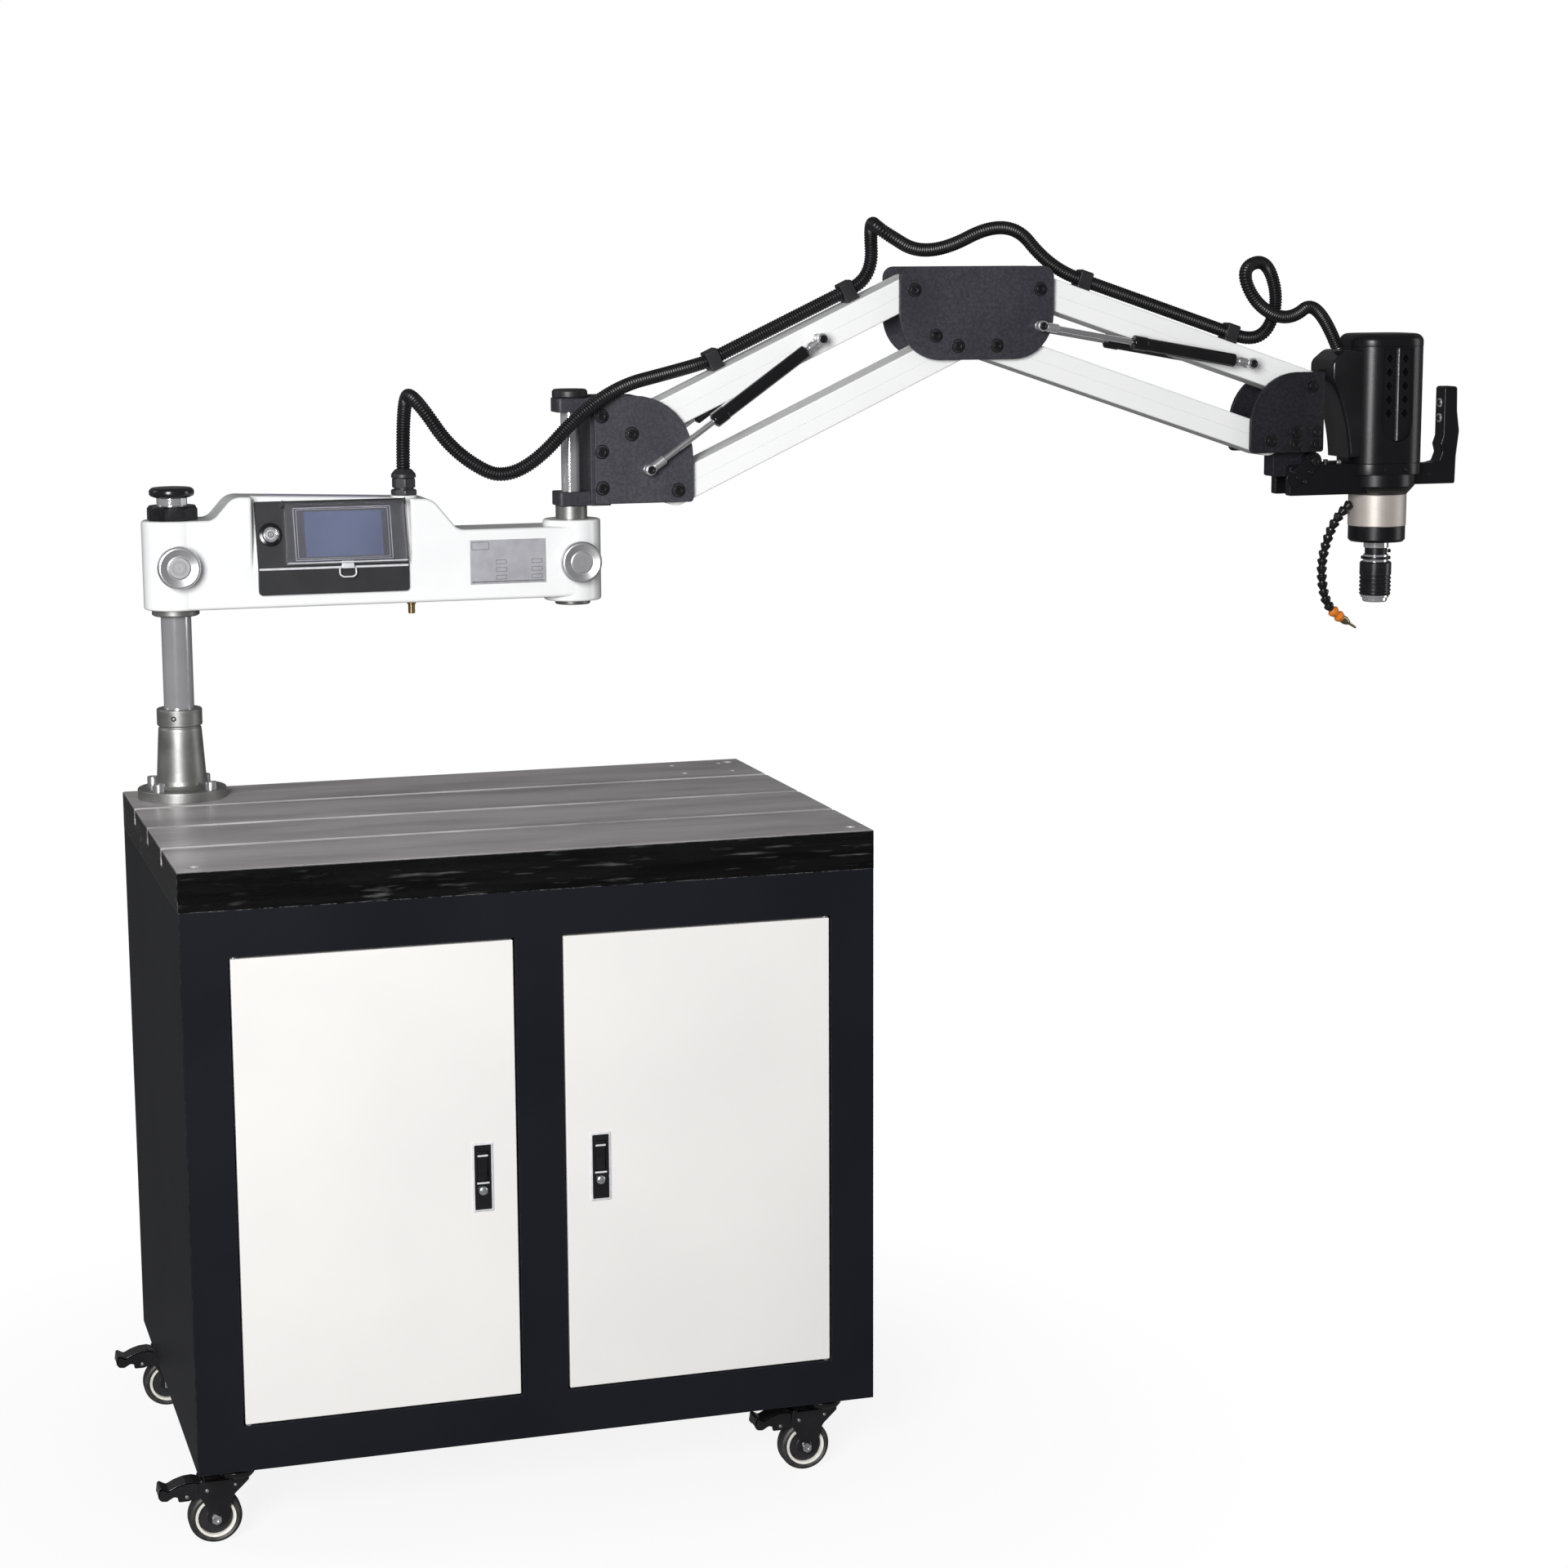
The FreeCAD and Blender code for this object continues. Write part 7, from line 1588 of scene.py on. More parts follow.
# ------------------------------------------------------------------ conduit
@dataclass
class Conduit:
    """Corrugated conduit in saddle clips, with loops that bend with the joints they bridge."""

    radius: float = CONDUIT_R
    pitch: float = 4.4
    samples: int = 6
    depth: float = 1.5
    clip_w: float = 22.0
    lower_clips: tuple[float, float] = (179.0, 428.0)
    upper_clips: tuple[float, float] = (83.0, 364.0)

    def course(self, name: str, route: Array) -> Array:
        """Even steps along the smooth curve whose control points are the route, in millimetres."""
        curve = bpy.data.curves.new(name, "CURVE")
        curve.dimensions = "3D"
        spline = curve.splines.new("NURBS")
        spline.points.add(len(route) - 1)
        spline.points.foreach_set("co", np.column_stack([route * MM, np.ones(len(route))]).ravel())
        spline.order_u = 3
        spline.use_endpoint_u = True
        spline.resolution_u = 24
        holder = bpy.data.objects.new(name, curve)
        line = bpy.data.meshes.new_from_object(holder)
        read = np.empty(len(line.vertices) * 3)
        line.vertices.foreach_get("co", read)
        path = read.reshape(-1, 3) / MM
        bpy.data.objects.remove(holder)
        bpy.data.meshes.remove(line)
        along_it = np.concatenate([[0], np.cumsum(np.linalg.norm(np.diff(path, axis=0), axis=1))])
        even = np.linspace(0, along_it[-1], int(along_it[-1] / self.pitch * self.samples) + 1)
        return np.stack([np.interp(even, along_it, path[:, k]) for k in range(3)], 1)

    def skin(self, path: Array) -> Shape:
        """A tube whose radius falls by depth in each groove: a raised cosine of the step along it."""
        phase = np.cos(np.arange(len(path)) * 2 * math.pi / self.samples)
        return tube(path, self.radius - self.depth * (0.5 - 0.5 * phase) ** 1.6, 18)

    def loop(self, name: str, node: str, route: Sequence[Point], splits: Sequence[float],
             bodies: Sequence[str]) -> None:
        """One loop as skins in a row, each riding on a body or blended between two neighbouring ones.

        Args:
            name: the pieces' name, less its number.
            node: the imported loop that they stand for.
            route: control points in millimetres, in the part's frame.
            splits: shares of the length where the next skins start.
            bodies: the body at the start, at each split and at the end.
        """
        path = self.course(name, np.array(route))
        whole = self.samples
        cuts = [0, *(int(len(path) * share / whole) * whole for share in splits), len(path) - 1]
        for number, (first, last) in enumerate(zip(cuts[:-1], cuts[1:])):
            rows, title = path[first:last + 1], "%s_%d" % (name, number + 1)
            near, far = bodies[number:number + 2]
            piece = make(title, near if near == far else "", self.skin(rows), CONDUIT_BLACK,
                         [node] if number == 0 else ())
            if near != far:
                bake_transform(piece)

    def run(self, name: str, body: str, node: str, start: tuple[float, float], degrees: float,
            clips: tuple[float, float]) -> None:
        """The straight stretch on a link, and its two saddle clips."""
        reach = self.clip_w / 2
        steps = int((clips[1] - clips[0] + 2 * reach) / self.pitch * self.samples)
        x = np.linspace(clips[0] - reach, clips[1] + reach, steps + 1)
        path = np.stack([x, np.zeros(len(x)), np.full(len(x), CONDUIT_LIFT)], 1)
        make(name, body, in_link(self.skin(path), start, degrees), CONDUIT_BLACK, [node])
        h, r = LINK_HALF_H, self.radius + 4
        top = CONDUIT_LIFT + r
        corners = [(-17, h, 0), (17, h, 0), (17, h + 6, 2), (r, h + 9, 2), (r, top, 4), (-r, top, 4),
                   (-r, h + 9, 2), (-17, h + 6, 2)]
        saddles = [pierced(corners, (0, CONDUIT_LIFT), self.radius, c - reach, c + reach, Plane.END, 1.2)
                   for c in clips]
        heads = [socket_screw((c, way * 14.8, h + 6), (0, 0, 1), 1.9, 1.2, 0.9) for c in clips for way in (-1, 1)]
        make(name + "_clips", body, in_link(joined(saddles + heads), start, degrees), SATIN_BLACK)

    def at(self, start: tuple[float, float], degrees: float, distance: float) -> Point:
        """A point on the run above a link."""
        spot = in_link(Shape(np.array([[distance, 0, CONDUIT_LIFT]]), []), start, degrees).points[0]
        return tuple(spot)

    def build(self) -> None:
        """Makes both runs and the three loops."""
        reach, low, up = self.clip_w / 2, self.lower_clips, self.upper_clips
        self.run("conduit_lower", "lower_top", "conduit_lower_run", A1, LOWER_REST, low)
        self.run("conduit_upper", "upper_top", "conduit_upper_run", C1, UPPER_REST, up)

        def spaced(*points: Point) -> list[Point]:
            """Route points given as x, y from the arm's plane and height above the table."""
            return [(x, PLANE_Y + y, TOP + h) for x, y, h in points]

        first, last = self.at(A1, LOWER_REST, low[0] - reach), self.at(A1, LOWER_REST, low[1] + reach)
        third, fourth = self.at(C1, UPPER_REST, up[0] - reach), self.at(C1, UPPER_REST, up[1] + reach)
        route = spaced((-60, 0, 496), (-59, 0, 613), (-50, -66, 608), (8, -68, 520), (102, -70, 471), (238, -68, 614),
                       (396, 0, 644))
        self.loop("conduit_base", "conduit_base_loop", [*route, first], (0.66,), ("swing_arm", "arm_base", "lower_top"))
        route = spaced((711, 0, 785), (704, -6, 876), (696, -70, 862), (790, -40, 814), (941, -10, 882), (1018, 0, 798))
        self.loop("conduit_elbow", "conduit_elbow_loop", [last, *route, third], (0.42, 0.72),
                  ("lower_top", "lower_top", "elbow", "upper_top"))
        route = spaced((1399, 0, 670), (1432, -4, 735), (1406, -8, 812), (1340, -44, 796), (1366, -50, 735),
                       (1435, -34, 707), (1498, -14, 747))
        entry = (SPINDLE_X - 84, PLANE_Y, TOP + 664)
        self.loop("conduit_head", "conduit_head_loop", [fourth, *route, entry], (0.6, 0.8),
                  ("upper_top", "upper_top", "arm_end", "head"))


# ------------------------------------------------------------------ tapping head
CHAMPAGNE = Finish("champagne_anodising", (0.60, 0.545, 0.51), 0.48, 0.5, second=(0.56, 0.505, 0.475), cloud_size=50,
                   grain_size=0.7, grain_depth=0.006, spread=0.12, turned_at=(SPINDLE_X, PLANE_Y, TOP))
HOOD_BLACK = Finish("hood_moulded_black", (0.005, 0.005, 0.0065), 0.3, second=(0.007, 0.007, 0.0085), cloud_size=90,
                    grain_size=0.8, grain_depth=0.03, spread=0.1, specular=0.4, dust=0.01)
HOSE_BLACK = Finish("hose_joint_black", (0.008, 0.008, 0.009), 0.24, second=(0.013, 0.013, 0.014), cloud_size=10,
                    grain_size=0.8, grain_depth=0.01)
HOSE_ORANGE = Finish("hose_end_orange", (0.80, 0.24, 0.025), 0.38, second=(0.70, 0.20, 0.02), cloud_size=8,
                     grain_size=0.8, grain_depth=0.01)
NICKEL = Finish("nozzle_nickel_brass", (0.55, 0.46, 0.30), 0.25, 1.0, second=(0.48, 0.38, 0.22), cloud_size=6,
                grain_size=0.6, grain_depth=0.01)
# Light grey on the hood's black ridge: a painted highlight along the ridge.
RIDGE_HIGHLIGHT = Finish("ridge_polished_edge", (0.30, 0.30, 0.31), 0.25, 0.6, second=(0.22, 0.22, 0.23), cloud_size=25,
                    grain_size=0.8)
# Near black and matte: painted shade behind the hood's vents.
VENT_SHADE = Finish("dark_cavity", (0.002, 0.002, 0.002), 0.9, second=(0.003, 0.003, 0.003), cloud_size=10, specular=0.1)


@dataclass
class TappingHead:
    """Yoke with its index sector, rounded motor hood, torque ring, chuck, grip and coolant hose."""

    half_w: float = 66.0
    half_d: float = 60.0
    corner: float = 45.0
    low: float = 467.4
    high: float = 664.0
    recess_x: float = 3.0
    recess_r: float = 29.0
    recess_z: float = 533.0
    recess_deep: float = 12.0
    floor: float = 5.0
    sector_lean: float = 38.0
    bar_y: tuple[float, float] = (18.5, 35.5)
    button_z: tuple[float, float] = (566.0, 540.0)

    def yoke(self) -> Shape:
        """Two bars, the round eyes at the tilt pin, and the sector plate."""
        x, z0 = TILT[0], TILT[1] - 58
        near, far = self.bar_y
        bar = slab([(x - 44, z0, 3), (SPINDLE_X - 30, z0, 0.5), (SPINDLE_X - 30, z0 + 52, 0.5), (x - 44, z0 + 52, 8)],
                   PLANE_Y - far, PLANE_Y - near, Plane.SIDE, 1.2)
        eye = turned([(7.1, 0), (15, 0, 0.5), (15, 17, 1), (7.1, 17)], (x, PLANE_Y - near, TILT[1]), (0, -1, 0), 48)
        c, s = math.cos(math.radians(self.sector_lean)), math.sin(math.radians(self.sector_lean))
        corners = [(x + u * c - w * s, TILT[1] + u * s + w * c, r)
                   for u, w, r in ((-62, -14, 13), (12.5, -12.5, 12.4), (12.5, 12.5, 12.4), (-62, 14, 13))]
        sector = slab(corners, PLANE_Y - far - 5, PLANE_Y - far, Plane.SIDE, 1.0)
        return joined([pair(bar), pair(eye), sector])

    def yoke_metal(self) -> Shape:
        """Tilt pin and screws (0), with an index rod's bright end (1)."""
        x, z = TILT
        face = PLANE_Y - 40.5
        made = [rod(6.9, (x, face, z), (x, PLANE_Y + 35.5, z)), socket_screw((x, face, z), (0, -1, 0), 8.0, 5.0)]
        made += [socket_screw((x + dx, face, z + dz), (0, -1, 0), 4.0, 3.0)
                 for dx, dz in ((-9, -18), (-32, -27), (-19, -34), (-41, -17))]
        top, y = z - 6, PLANE_Y - 27
        made += [socket_screw((x + dx, y, top), (0, 0, 1), 4.0, h) for dx, h in ((14, 10), (26, 8))]
        made.append(rod(3.2, (x + 30, y, top + 2.4), (x + 46, y, top + 2.4)))
        tip = rod(3.6, (x + 46, y, top + 2.4), (x + 54, y, top + 2.4))
        return joined(made + [tip.in_finish(1)])

    def hanger(self) -> Shape:
        """Block between the end plates, and its tongue in the yoke."""
        x, z = TILT
        w = PLATE_IN - 0.2
        upper = block(x - 49, x + 11, PLANE_Y - w, PLANE_Y + w, z + 20, z + 58, 1.0)
        tongue = slab([(x - 67, z - 26, 4), (x + 13, z - 26, 8), (x + 13, z + 20, 0.5), (x - 67, z + 20, 4)],
                      PLANE_Y - 18, PLANE_Y + 18, Plane.SIDE, 1.0)
        return joined([upper, tongue])

    def plan(self, z: float, out: float, deep: float) -> Array:
        """One level of the hood: 96 points, of which the front ones follow the recess's edges.

        Args:
            z: height above the table.
            out: how far the outline stands out from the hood's own.
            deep: how far the recess is cut in at this level.
        """
        below = self.recess_z - z
        half = self.recess_r if below <= 0 else math.sqrt(max(0.6, self.recess_r ** 2 - below ** 2))
        flat = outline([(a, b, r + out) for a, b, r in rectangle(-self.half_w - out, self.half_w + out,
                                                                 -self.half_d - out,
                                                                 self.half_d + out, self.corner)], step=5)
        front = flat[flat[:, 1] < -self.half_d + self.corner]
        rest = flat[flat[:, 1] >= -self.half_d + self.corner]
        front = front[np.argsort(front[:, 0])]
        rest = rest[np.argsort(-np.arctan2(rest[:, 0], rest[:, 1] + 200))]
        lip = min(1.2, half * 0.4)
        left, right = self.recess_x - half, self.recess_x + half
        xs = np.concatenate([np.linspace(front[0, 0], left, 14), [left + lip],
                             np.linspace(left + lip, right - lip, 8)[1:-1],
                             [right - lip], np.linspace(right, front[-1, 0], 14)])
        ys = np.interp(xs, front[:, 0], front[:, 1])
        inside = (xs > left + lip / 2) & (xs < right - lip / 2)
        ys = np.where(inside & (deep > 0), np.maximum(ys, -self.half_d + deep), ys)
        return np.vstack([np.stack([xs, ys], 1), rest])

    def hood(self) -> Shape:
        """Levels from the band to the lid, with the recess's round foot traced by the levels' edges."""
        foot = self.recess_z - self.recess_r
        rounds = self.recess_z - self.recess_r * np.cos(np.radians(np.linspace(6, 90, 14)))
        levels = [(self.low, -0.8, 0), (self.low + 0.8, 0, 0), (490, 0, 0), (foot, 0, 0)]
        levels += [(float(z), 0, self.recess_deep) for z in (*rounds, 560, 600, 640, self.high - 3)]
        levels += [(self.high - 2.9, 0, 0), (self.high, 0, 0)]
        rings = [Plane.PLAN.place(self.plan(z, out, deep), z) for z, out, deep in levels]
        return lofted(np.array(rings)).moved(SPINDLE_X, PLANE_Y, TOP)

    def lid(self) -> Shape:
        """Domed lid: outlines that draw in along a quarter circle."""
        flat = outline(rectangle(-66.3, 66.3, -60.3, 60.3, 45.3), step=5)
        steps = np.radians(np.linspace(0, 90, 9))
        levels = [(0.6, 664.2), (0.0, 664.8), (0.0, 672)]
        levels += [(15 * (1 - math.cos(t)), 672 + 13.6 * math.sin(t)) for t in steps[1:]]
        levels += [(30.0, 685.9)]
        rings = [Plane.PLAN.place(inset(flat, d), z) for d, z in levels]
        return lofted(np.array(rings)).moved(SPINDLE_X, PLANE_Y, TOP)

    def vents(self) -> Shape:
        """Recess floor with two rows of diamonds (0), the ridge between them, light grey as a painted highlight (1),
        the dark sheet behind, painted shade inside the hood (2).
        """
        x, front = self.recess_x, PLANE_Y - self.half_d
        flat = outline([(x - 28.6, 504.6, 28.5), (x + 28.6, 504.6, 28.5), (x + 28.6, 661.2, 0), (x - 28.6, 661.2, 0)])
        diamond = np.array([(0, -8.0), (5.5, 0), (0, 8.0), (-5.5, 0)])
        holes = [diamond + (dx, 552 + 23 * k) for k in range(5) for dx in (-12, 18)]
        plate = drilled(flat, holes, front + self.floor, front + self.floor + 2, Plane.SIDE)
        # The ridge takes the light grey painted highlight (finish 1).
        ridge = block(2.0, 4.0, front + 1.0, front + 5.4, 506, 662, 0.8)
        # A dark sheet behind the diamonds: painted shade inside the hood.
        dark = slab(inset(flat, 1.5), front + 10.5, front + 11.5, Plane.SIDE, 0.2)
        return joined([plate, ridge.in_finish(1), dark.in_finish(2)]).moved(SPINDLE_X, 0, TOP)

    def lower(self) -> Shape:
        """Band under the hood, cone to the torque ring, and the seal ring."""
        flat = outline(rectangle(-65.6, 65.6, -59.6, 59.6, 44.6), step=5)
        levels = [(1.0, 448.0), (0.0, 449.0), (0.0, 465.6), (1.0, 466.6), (1.0, 467.8)]
        band = lofted(np.array([Plane.PLAN.place(inset(flat, d), z) for d, z in levels]))
        cone = turned([(0, 413.7), (49.5, 413.7), (62, 428, 2), (62, 448.5), (0, 448.5)], count=96)
        seal = turned([(21.8, 332), (45, 332), (48.5, 336, 1), (48.5, 358.8, 0.6), (21.8, 358.8)], count=96)
        at = -self.half_d + 0.4
        screws = [socket_screw((dx, at, 457), (0, -1, 0), 3.0, 1.4, 1.3).in_finish(1) for dx in (-18, 21)]
        return joined([band, cone, seal, *screws]).moved(SPINDLE_X, PLANE_Y, TOP)

    def fairing(self) -> Shape:
        """Side box whose edge towards the arm is a hollow arc."""
        t = np.linspace(0, 1, 20)[:, None]
        a, b, c = np.array([-76, 478.0]), np.array([-80, 548.0]), np.array([-112, 612.0])
        arc = (1 - t) ** 2 * a + 2 * t * (1 - t) * b + t ** 2 * c
        top = outline([(-112, 612, 0), (-112, 640, 16), (-88, 659, 20), (-30, 659, 0)], False)
        flat = np.vstack([[(-30, 478)], arc, top[1:]])[::-1]
        return slab(flat, -43, 43, Plane.SIDE, 6.0).moved(SPINDLE_X, PLANE_Y, TOP)

    def grip(self) -> Shape:
        """Side handle with finger hollows, its screws and the buttons' rings (1)."""
        x0, x1, x2 = self.half_w - 14, 115, 140
        corners = [(x0, 428, 3.2), (x2, 428, 3.5), (x2 + 1, 475, 30), (x2 + 6, 518, 24), (x2 + 1, 552, 30),
                   (x2, 594, 5),
                   (x1, 594, 5), (x1, 510, 8), (x1 - 5, 496, 5), (x1 - 1, 482, 5), (x1 - 7, 467, 4), (x1 - 20, 464, 3),
                   (x0, 464, 3.2)]
        body = slab(corners, -16, 16, Plane.SIDE, 2.8)
        rings = [turned([(5.3, 0), (8, 0), (7, 2.2, 0.6), (5.3, 2.2, 0.3)], (x1, 0, z), (-1, 0, 0), 40)
                 for z in self.button_z]
        screw = socket_screw((90, -15.8, 446), (0, -1, 0), 3.0, 0.8, 1.3)
        return joined([body, joined(rings).in_finish(1), screw.in_finish(2)]).moved(SPINDLE_X, PLANE_Y, TOP)

    def chuck(self) -> None:
        """Spindle with its dark band, and the grooved sleeve with a bright foot."""
        at = (SPINDLE_X, PLANE_Y, TOP)
        bar = turned([(9.5, 227.6, 0), (19.3, 227.6, 0.5), (21.2, 230, 0.5), (21.2, 301.2, 0), (25.3, 301.2, 0.4),
                      (25.3, 305.6, 0.6), (21.2, 306, 0), (21.2, 309, 0.5), (19, 309.6, 0), (19, 320.4, 0),
                      (21.2, 321, 0.5), (21.2, 343, 0), (9.5, 343, 0)], at, count=72)
        bar = bar.finish_where(1, lambda p: (p[:, 2] > TOP + 301) & (p[:, 2] < TOP + 321.1)
                               & ((p[:, 2] > TOP + 308.9) | (p[:, 2] < TOP + 306.1)))
        pin = rod(3.0, (SPINDLE_X + 18, PLANE_Y - 8, TOP + 315), (SPINDLE_X + 23, PLANE_Y - 10, TOP + 315)).in_finish(1)
        make("spindle_nose", "spindle", joined([bar, pin]), [CHROME, OXIDE_BLACK], ["spindle"])
        profile = [(21.7, 235, 0), (23.4, 235, 0.5), (24.2, 236, 0.5), (24.2, 239, 0.3), (25.6, 239.4, 0.3)]
        for h in (244.4, 251.3, 258.2, 265.1, 272.0):
            profile += [(27, h - 2.2, 0.5), (25.5, h - 1.0, 0.4), (25.5, h + 1.0, 0.4), (27, h + 2.2, 0.5)]
        profile += [(27, 294.5, 1), (25, 297, 0.8), (21.7, 297, 0)]
        sleeve = turned(profile, at, count=72).finish_where(1, lambda p: p[:, 2] < TOP + 239.1)
        make("chuck_ring", "chuck_sleeve", sleeve, [SLEEVE_BLACK, CHROME], ["chuck_sleeve"], sharp=40)

    def hose(self) -> None:
        """Cone links along the hose's course, two orange ends and the nozzle."""
        route = np.array([(-50, 0, 398), (-72, 0, 380), (-90, 0, 349), (-104, 0, 300), (-100, 0, 250), (-86, 0, 215),
                          (-60, 0, 199)], float) + (SPINDLE_X, PLANE_Y, TOP)
        path = Conduit(pitch=6.0).course("hose_course", route)
        gaps = np.linspace(0, len(path) - 1, 18).astype(int)
        profile = [(0, 0), (5.4, 0), (5.8, 1.6, 1), (8.8, 3.0, 0.8), (8.6, 6.4, 0.8), (5.4, 13.6, 1.5), (0, 14.4)]
        beads: list[Shape] = []
        for k, (a, b) in enumerate(zip(gaps[:-1], gaps[1:])):
            spot, way, last = path[a], path[b] - path[a], k > 14
            size, wider = float(np.linalg.norm(way)) / 13.6, 1.12 if last else 1.0
            bead = turned([(p[0] * wider, p[1] * size, *p[2:]) for p in profile], tuple(spot), tuple(way), 28)
            beads.append(bead.in_finish(int(last)))
        way = path[-1] - path[-3]
        nozzle = turned([(0, -4), (6.9, -4), (7.1, 6, 1), (5.2, 11, 1.5), (3.0, 15, 1), (2.5, 18, 1), (2.1, 29.5, 0.4),
                         (0, 29.5)], tuple(path[-1]), tuple(way), 32)
        make("coolant_joints", "head", joined([*beads, nozzle.in_finish(2)]), [HOSE_BLACK, HOSE_ORANGE, NICKEL],
             ["coolant_hose"], sharp=40)

    def build(self) -> None:
        """Makes the yoke, the hood and all that hangs from it."""
        make("hanger_block", "arm_end", self.hanger(), SHADED_END_POWDER)
        make("yoke_bars", "head", self.yoke(), HOOD_BLACK, ["head_yoke"])
        make("yoke_screws", "head", self.yoke_metal(), [OXIDE_BLACK, CHROME])
        make("hood_shell", "head", self.hood(), HOOD_BLACK, ["motor_cover"], sharp=32)
        make("hood_lid", "head", self.lid(), HOOD_BLACK, sharp=60)
        make("hood_vents", "head", self.vents(), [HOOD_BLACK, RIDGE_HIGHLIGHT, VENT_SHADE])
        make("hood_foot", "head", self.lower(), [HOOD_BLACK, OXIDE_BLACK], ["motor_housing"])
        make("hood_fairing", "head", self.fairing(), GLOSS_BLACK, sharp=40)
        ring = turned([(0, 359.1), (48.6, 359.1, 0.4), (49.4, 360.2, 0.4), (49.4, 412.4, 0.4), (48.6, 413.5, 0.4),
                      (0, 413.5)], (SPINDLE_X, PLANE_Y, TOP), count=128)
        make("torque_band", "head", ring, CHAMPAGNE, ["torque_ring"])
        make("side_grip", "head", self.grip(), [HOOD_BLACK, CHROME, OXIDE_BLACK], ["handle"])
        for name, z in zip(("top", "bottom"), self.button_z):
            button = turned([(0, 0), (4.9, 0), (4.9, 8.6, 1.6), (0, 9.4)],
                            (SPINDLE_X + 120, PLANE_Y, TOP + z), (-1, 0, 0), 32)
            make("grip_push_" + name, "trigger_" + name, button, SATIN_BLACK, ["handle_button_" + name])
        self.chuck()
        self.hose()


# ------------------------------------------------------------------ studio
@dataclass
class Studio:
    """Pale floor, soft lights and the camera."""

    eye: Point = (-979.3, -4606.3, 1808.5)
    yaw: float = 17.501
    pitch: float = 9.553
    roll: float = -0.251
    lens: float = 72.63
    ambient: float = 0.12

    def camera(self) -> None:
        """Places the camera by its turns, as three square directions."""
        yaw, pitch, roll = (math.radians(a) for a in (self.yaw, self.pitch, self.roll))
        ahead = Vector((math.sin(yaw) * math.cos(pitch), math.cos(yaw) * math.cos(pitch), -math.sin(pitch)))
        right = ahead.cross(Vector((0, 0, 1))).normalized()
        up = right.cross(ahead)
        across = math.cos(roll) * right + math.sin(roll) * up
        above = -math.sin(roll) * right + math.cos(roll) * up
        seen = bpy.data.cameras.new("camera")
        seen.lens, seen.sensor_width, seen.clip_end = self.lens, 36.0, 100.0
        holder = bpy.data.objects.new("camera", seen)
        facing = Matrix((across, above, -ahead)).transposed().to_4x4()
        holder.matrix_world = Matrix.Translation(Vector(self.eye) * MM) @ facing
        bpy.context.scene.collection.objects.link(holder)
        bpy.context.scene.camera = holder

    def lamp(self, name: str, at: Point, aim: Point, size: tuple[float, float], power: float) -> None:
        """A soft rectangular light that looks at a point.  Places are metres."""
        light = bpy.data.lights.new(name, "AREA")
        light.shape, light.size, light.size_y, light.energy = "RECTANGLE", *size, power
        holder = bpy.data.objects.new(name, light)
        holder.location = at
        holder.rotation_euler = (Vector(aim) - Vector(at)).to_track_quat("-Z", "Y").to_euler()
        bpy.context.scene.collection.objects.link(holder)

    def floor(self) -> None:
        """A wide pale floor that fades to white away from the object."""
        mesh = bpy.data.meshes.new("studio_floor")
        reach = 30.0
        corners = [(-reach, -reach, 0), (reach, -reach, 0), (reach, reach, 0), (-reach, reach, 0)]
        mesh.from_pydata(corners, [], [(0, 1, 2, 3)])
        made = bpy.data.materials.new("pale_floor")
        made.use_nodes = True
        t = Tree(made.node_tree)
        shader = made.node_tree.nodes["Principled BSDF"]
        spot = t.add("TexCoord").outputs["Object"]
        speck = t.noise(spot, 180.0, 4.0)
        tone = t.mixed(speck, (0.90, 0.90, 0.90, 1), (0.94, 0.94, 0.945, 1))
        made.node_tree.links.new(tone, shader.inputs["Base Color"])
        made.node_tree.links.new(t.ranged(speck, 0, 1, 0.5, 0.7), shader.inputs["Roughness"])
        away = t.add("VectorMath", {0: spot}, operation="LENGTH").outputs["Value"]
        seen = t.add("LightPath").outputs["Is Camera Ray"]
        white = t.add("Emission", {"Color": (1, 1, 1, 1), "Strength": t.ranged(seen, 0, 1, self.ambient, 1.0)})
        both = t.add("MixShader", {0: t.ranged(away, 0.5, 1.2, 0.88, 1.0), 1: shader.outputs[0], 2: white.outputs[0]})
        made.node_tree.links.new(both.outputs[0], made.node_tree.nodes["Material Output"].inputs[0])
        mesh.materials.append(made)
        ground = bpy.data.objects.new("studio_floor", mesh)
        bpy.context.scene.collection.objects.link(ground)

    def world(self) -> None:
        """White where the camera looks, dimmer as a light."""
        sky = bpy.data.worlds.new("studio")
        sky.use_nodes = True
        bpy.context.scene.world = sky
        t = Tree(sky.node_tree)
        back = sky.node_tree.nodes["Background"]
        back.inputs[0].default_value = (1, 1, 1, 1)
        seen = t.add("LightPath").outputs["Is Camera Ray"]
        sky.node_tree.links.new(t.ranged(seen, 0, 1, self.ambient, 1.0), back.inputs[1])

    def build(self) -> None:
        """Sets up all of the studio."""
        bpy.context.scene.view_settings.view_transform = "Standard"
        self.camera()
        self.floor()
        self.world()
        self.lamp("key", (-2.4, -4.6, 2.5), (0.4, 0.2, 1.0), (1.8, 2.6), 355)
        self.lamp("fill", (4.8, -0.9, 2.0), (0.3, 0.2, 1.0), (1.6, 2.8), 30)
        self.lamp("edge", (-3.6, 1.2, 2.8), (0.4, 0.2, 1.1), (0.9, 2.4), 18)


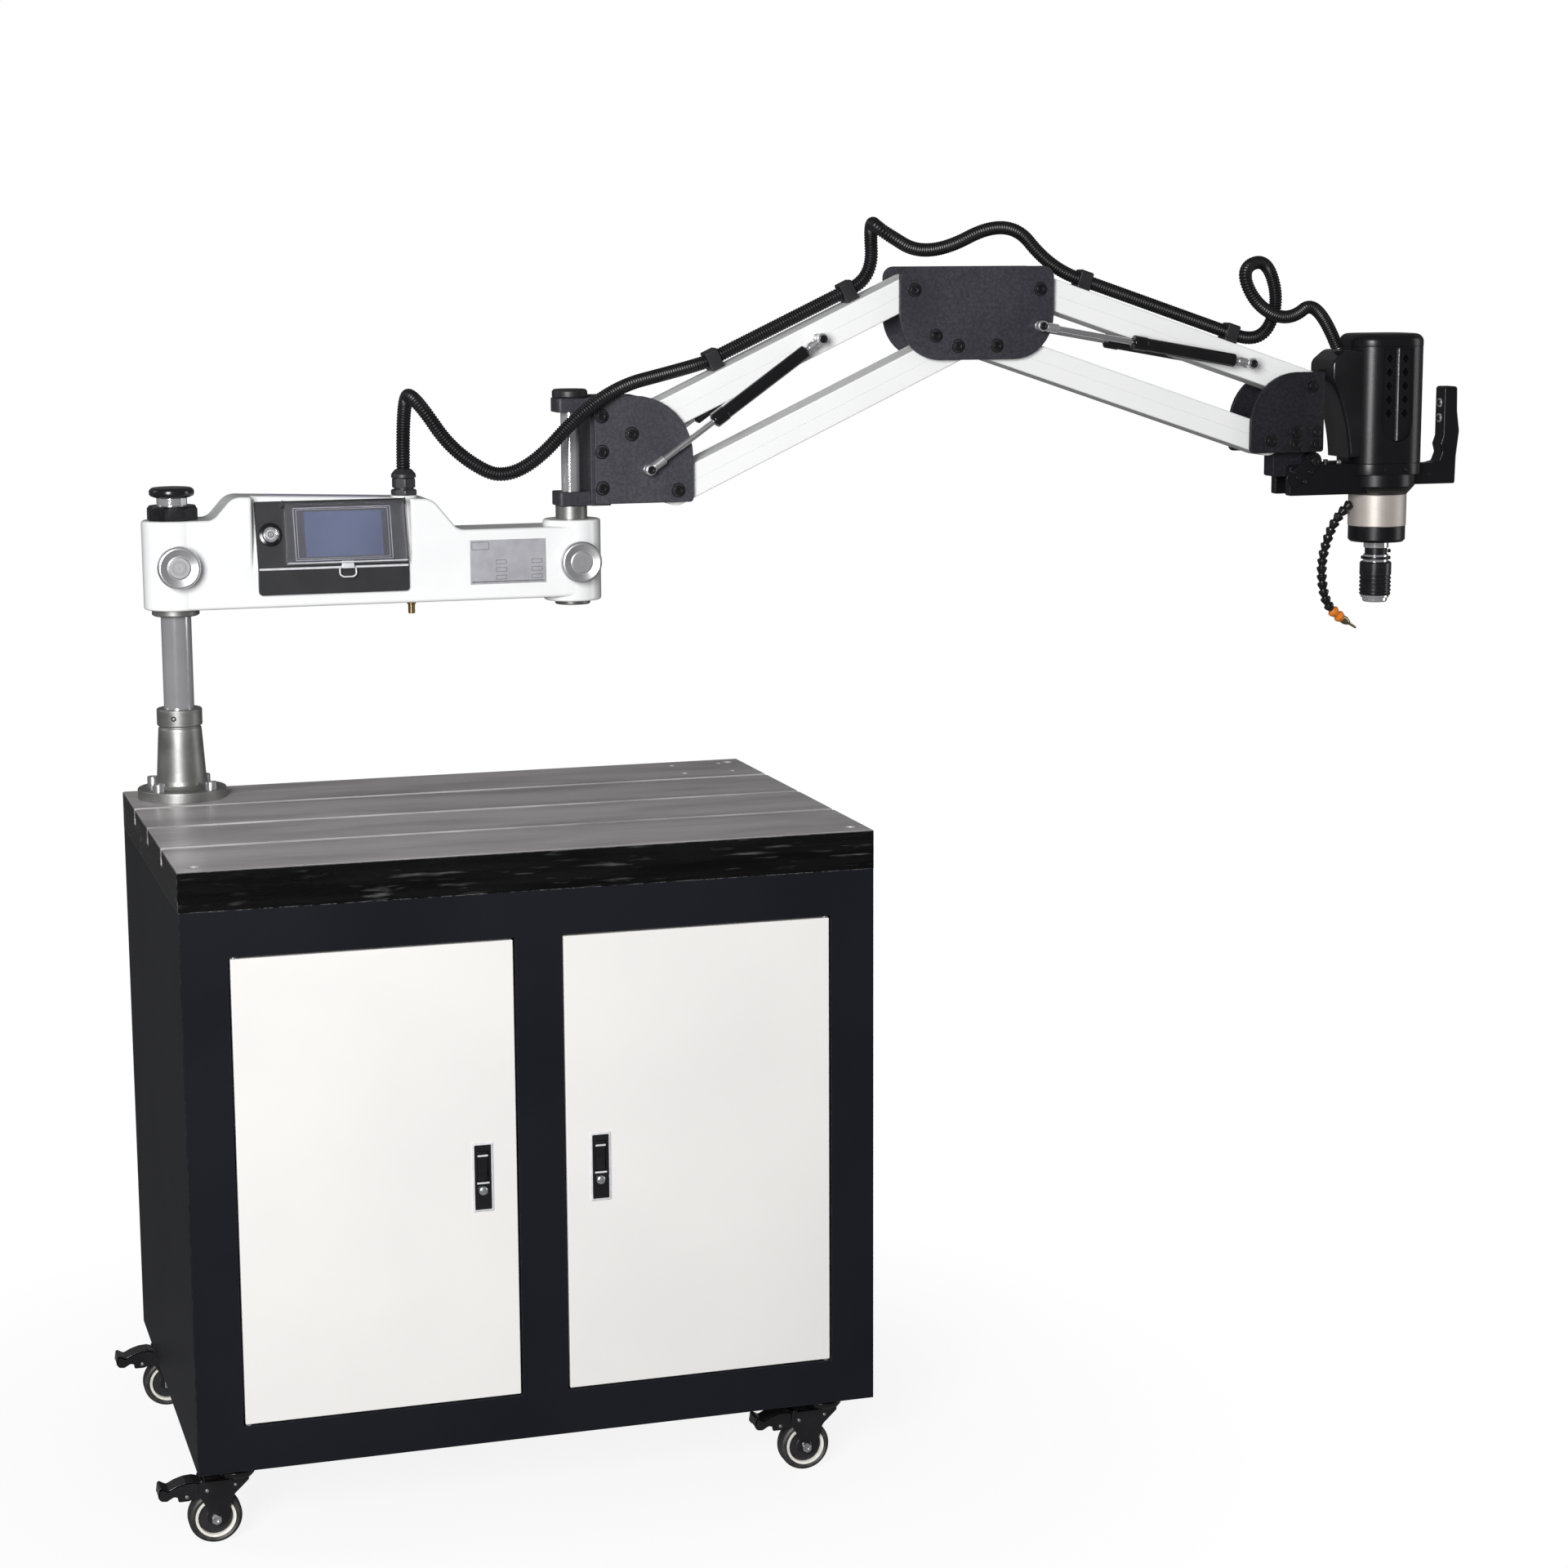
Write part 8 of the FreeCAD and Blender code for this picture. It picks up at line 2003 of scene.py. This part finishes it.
def pairs_and_links() -> tuple[list[PlatePair], list[Link]]:
    """The three pairs of side plates and the four links, sized from the pivots."""
    end_x, end_z = C2[0] - 29.0, C2[1] - 77.0
    bolts = [(end_x + dx, end_z + dz) for dx in (0.0, 39.0) for dz in (0.0, -20.5)]
    plates = [
        PlatePair("base_plate", "arm_base", "base_plates",
                  [(SHAFT_X + 29.5, A1[1] - 109, 5), (A1[0] + 100, A1[1] - 109, 6), (A1[0] + 100, A1[1] + 59.7, 96),
                   (SHAFT_X + 29.5, A1[1] + 59.7, 6)], [A1, B1], [(SHAFT_X + 40.5, TOP + h) for h in (574, 518, 461)],
                  finish=LIGHTER_BASE_POWDER),
        PlatePair("elbow_plate", "elbow", "elbow_plates",
                  [(A2[0] - 24.6, A2[1] - 112.3, 70), (C1[0] + 23.7, A2[1] - 112.3, 70),
                   (C1[0] + 23.7, A2[1] + 37.2, 18),
                   (A2[0] - 24.6, A2[1] + 37.2, 18)], [A2, B2, C1, D1], [(A2[0] + 36.6, A2[1] - 73.0)]),
        PlatePair("end_plate", "arm_end", "end_plates",
                  [(C2[0] - 112.4, C2[1] - 110, 9), (C2[0] + 22.6, C2[1] - 110, 5), (C2[0] + 22.6, C2[1] + 24, 5),
                   (C2[0] - 112.4, C2[1] + 24, 85)], [C2, D2], bolts,
                  [(x + dx, z + dz) for (x, z), dx, dz in zip(bolts, (8, 8, -12, -12), (7.5, -7.5, 7.5, -7.5))],
                  SHADED_END_POWDER)]
    links = [Link("lower_top_link", A1, LOWER_REST, LOWER_STUD_AT), Link("lower_bottom_link", B1, LOWER_REST),
             Link("upper_top_link", C1, UPPER_REST, UPPER_STUD_AT), Link("upper_bottom_link", D1, UPPER_REST)]
    return plates, links


def main() -> None:
    """Builds every sub-assembly, then the studio."""
    logging.basicConfig(level=logging.INFO, format="%(message)s")
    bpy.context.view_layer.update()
    Cabinet().build()
    for side in Side:
        Door(side).build()
    for name, sx, sy in (("front_left", -1, -1), ("front_right", 1, -1), ("back_left", -1, 1), ("back_right", 1, 1)):
        Caster(name, sx * 440.0, sy * 286.0).build()
    TableAndColumn().build()
    SwingArm().build()
    ControlPanel().build()
    arm_base()
    plates, links = pairs_and_links()
    for part in (*plates, *links):
        part.build()
    for stage, pivot, degrees, stud_at, foot in (("lower", A1, LOWER_REST, LOWER_STUD_AT, LOWER_FOOT),
                                                 ("upper", C1, UPPER_REST, UPPER_STUD_AT, UPPER_FOOT)):
        GasSprings(stage, along(pivot, degrees, stud_at), (pivot[0] + foot[0], pivot[1] + foot[1])).build()
    Conduit().build()
    TappingHead().build()
    Studio().build()


if __name__ == "__main__":
    main()
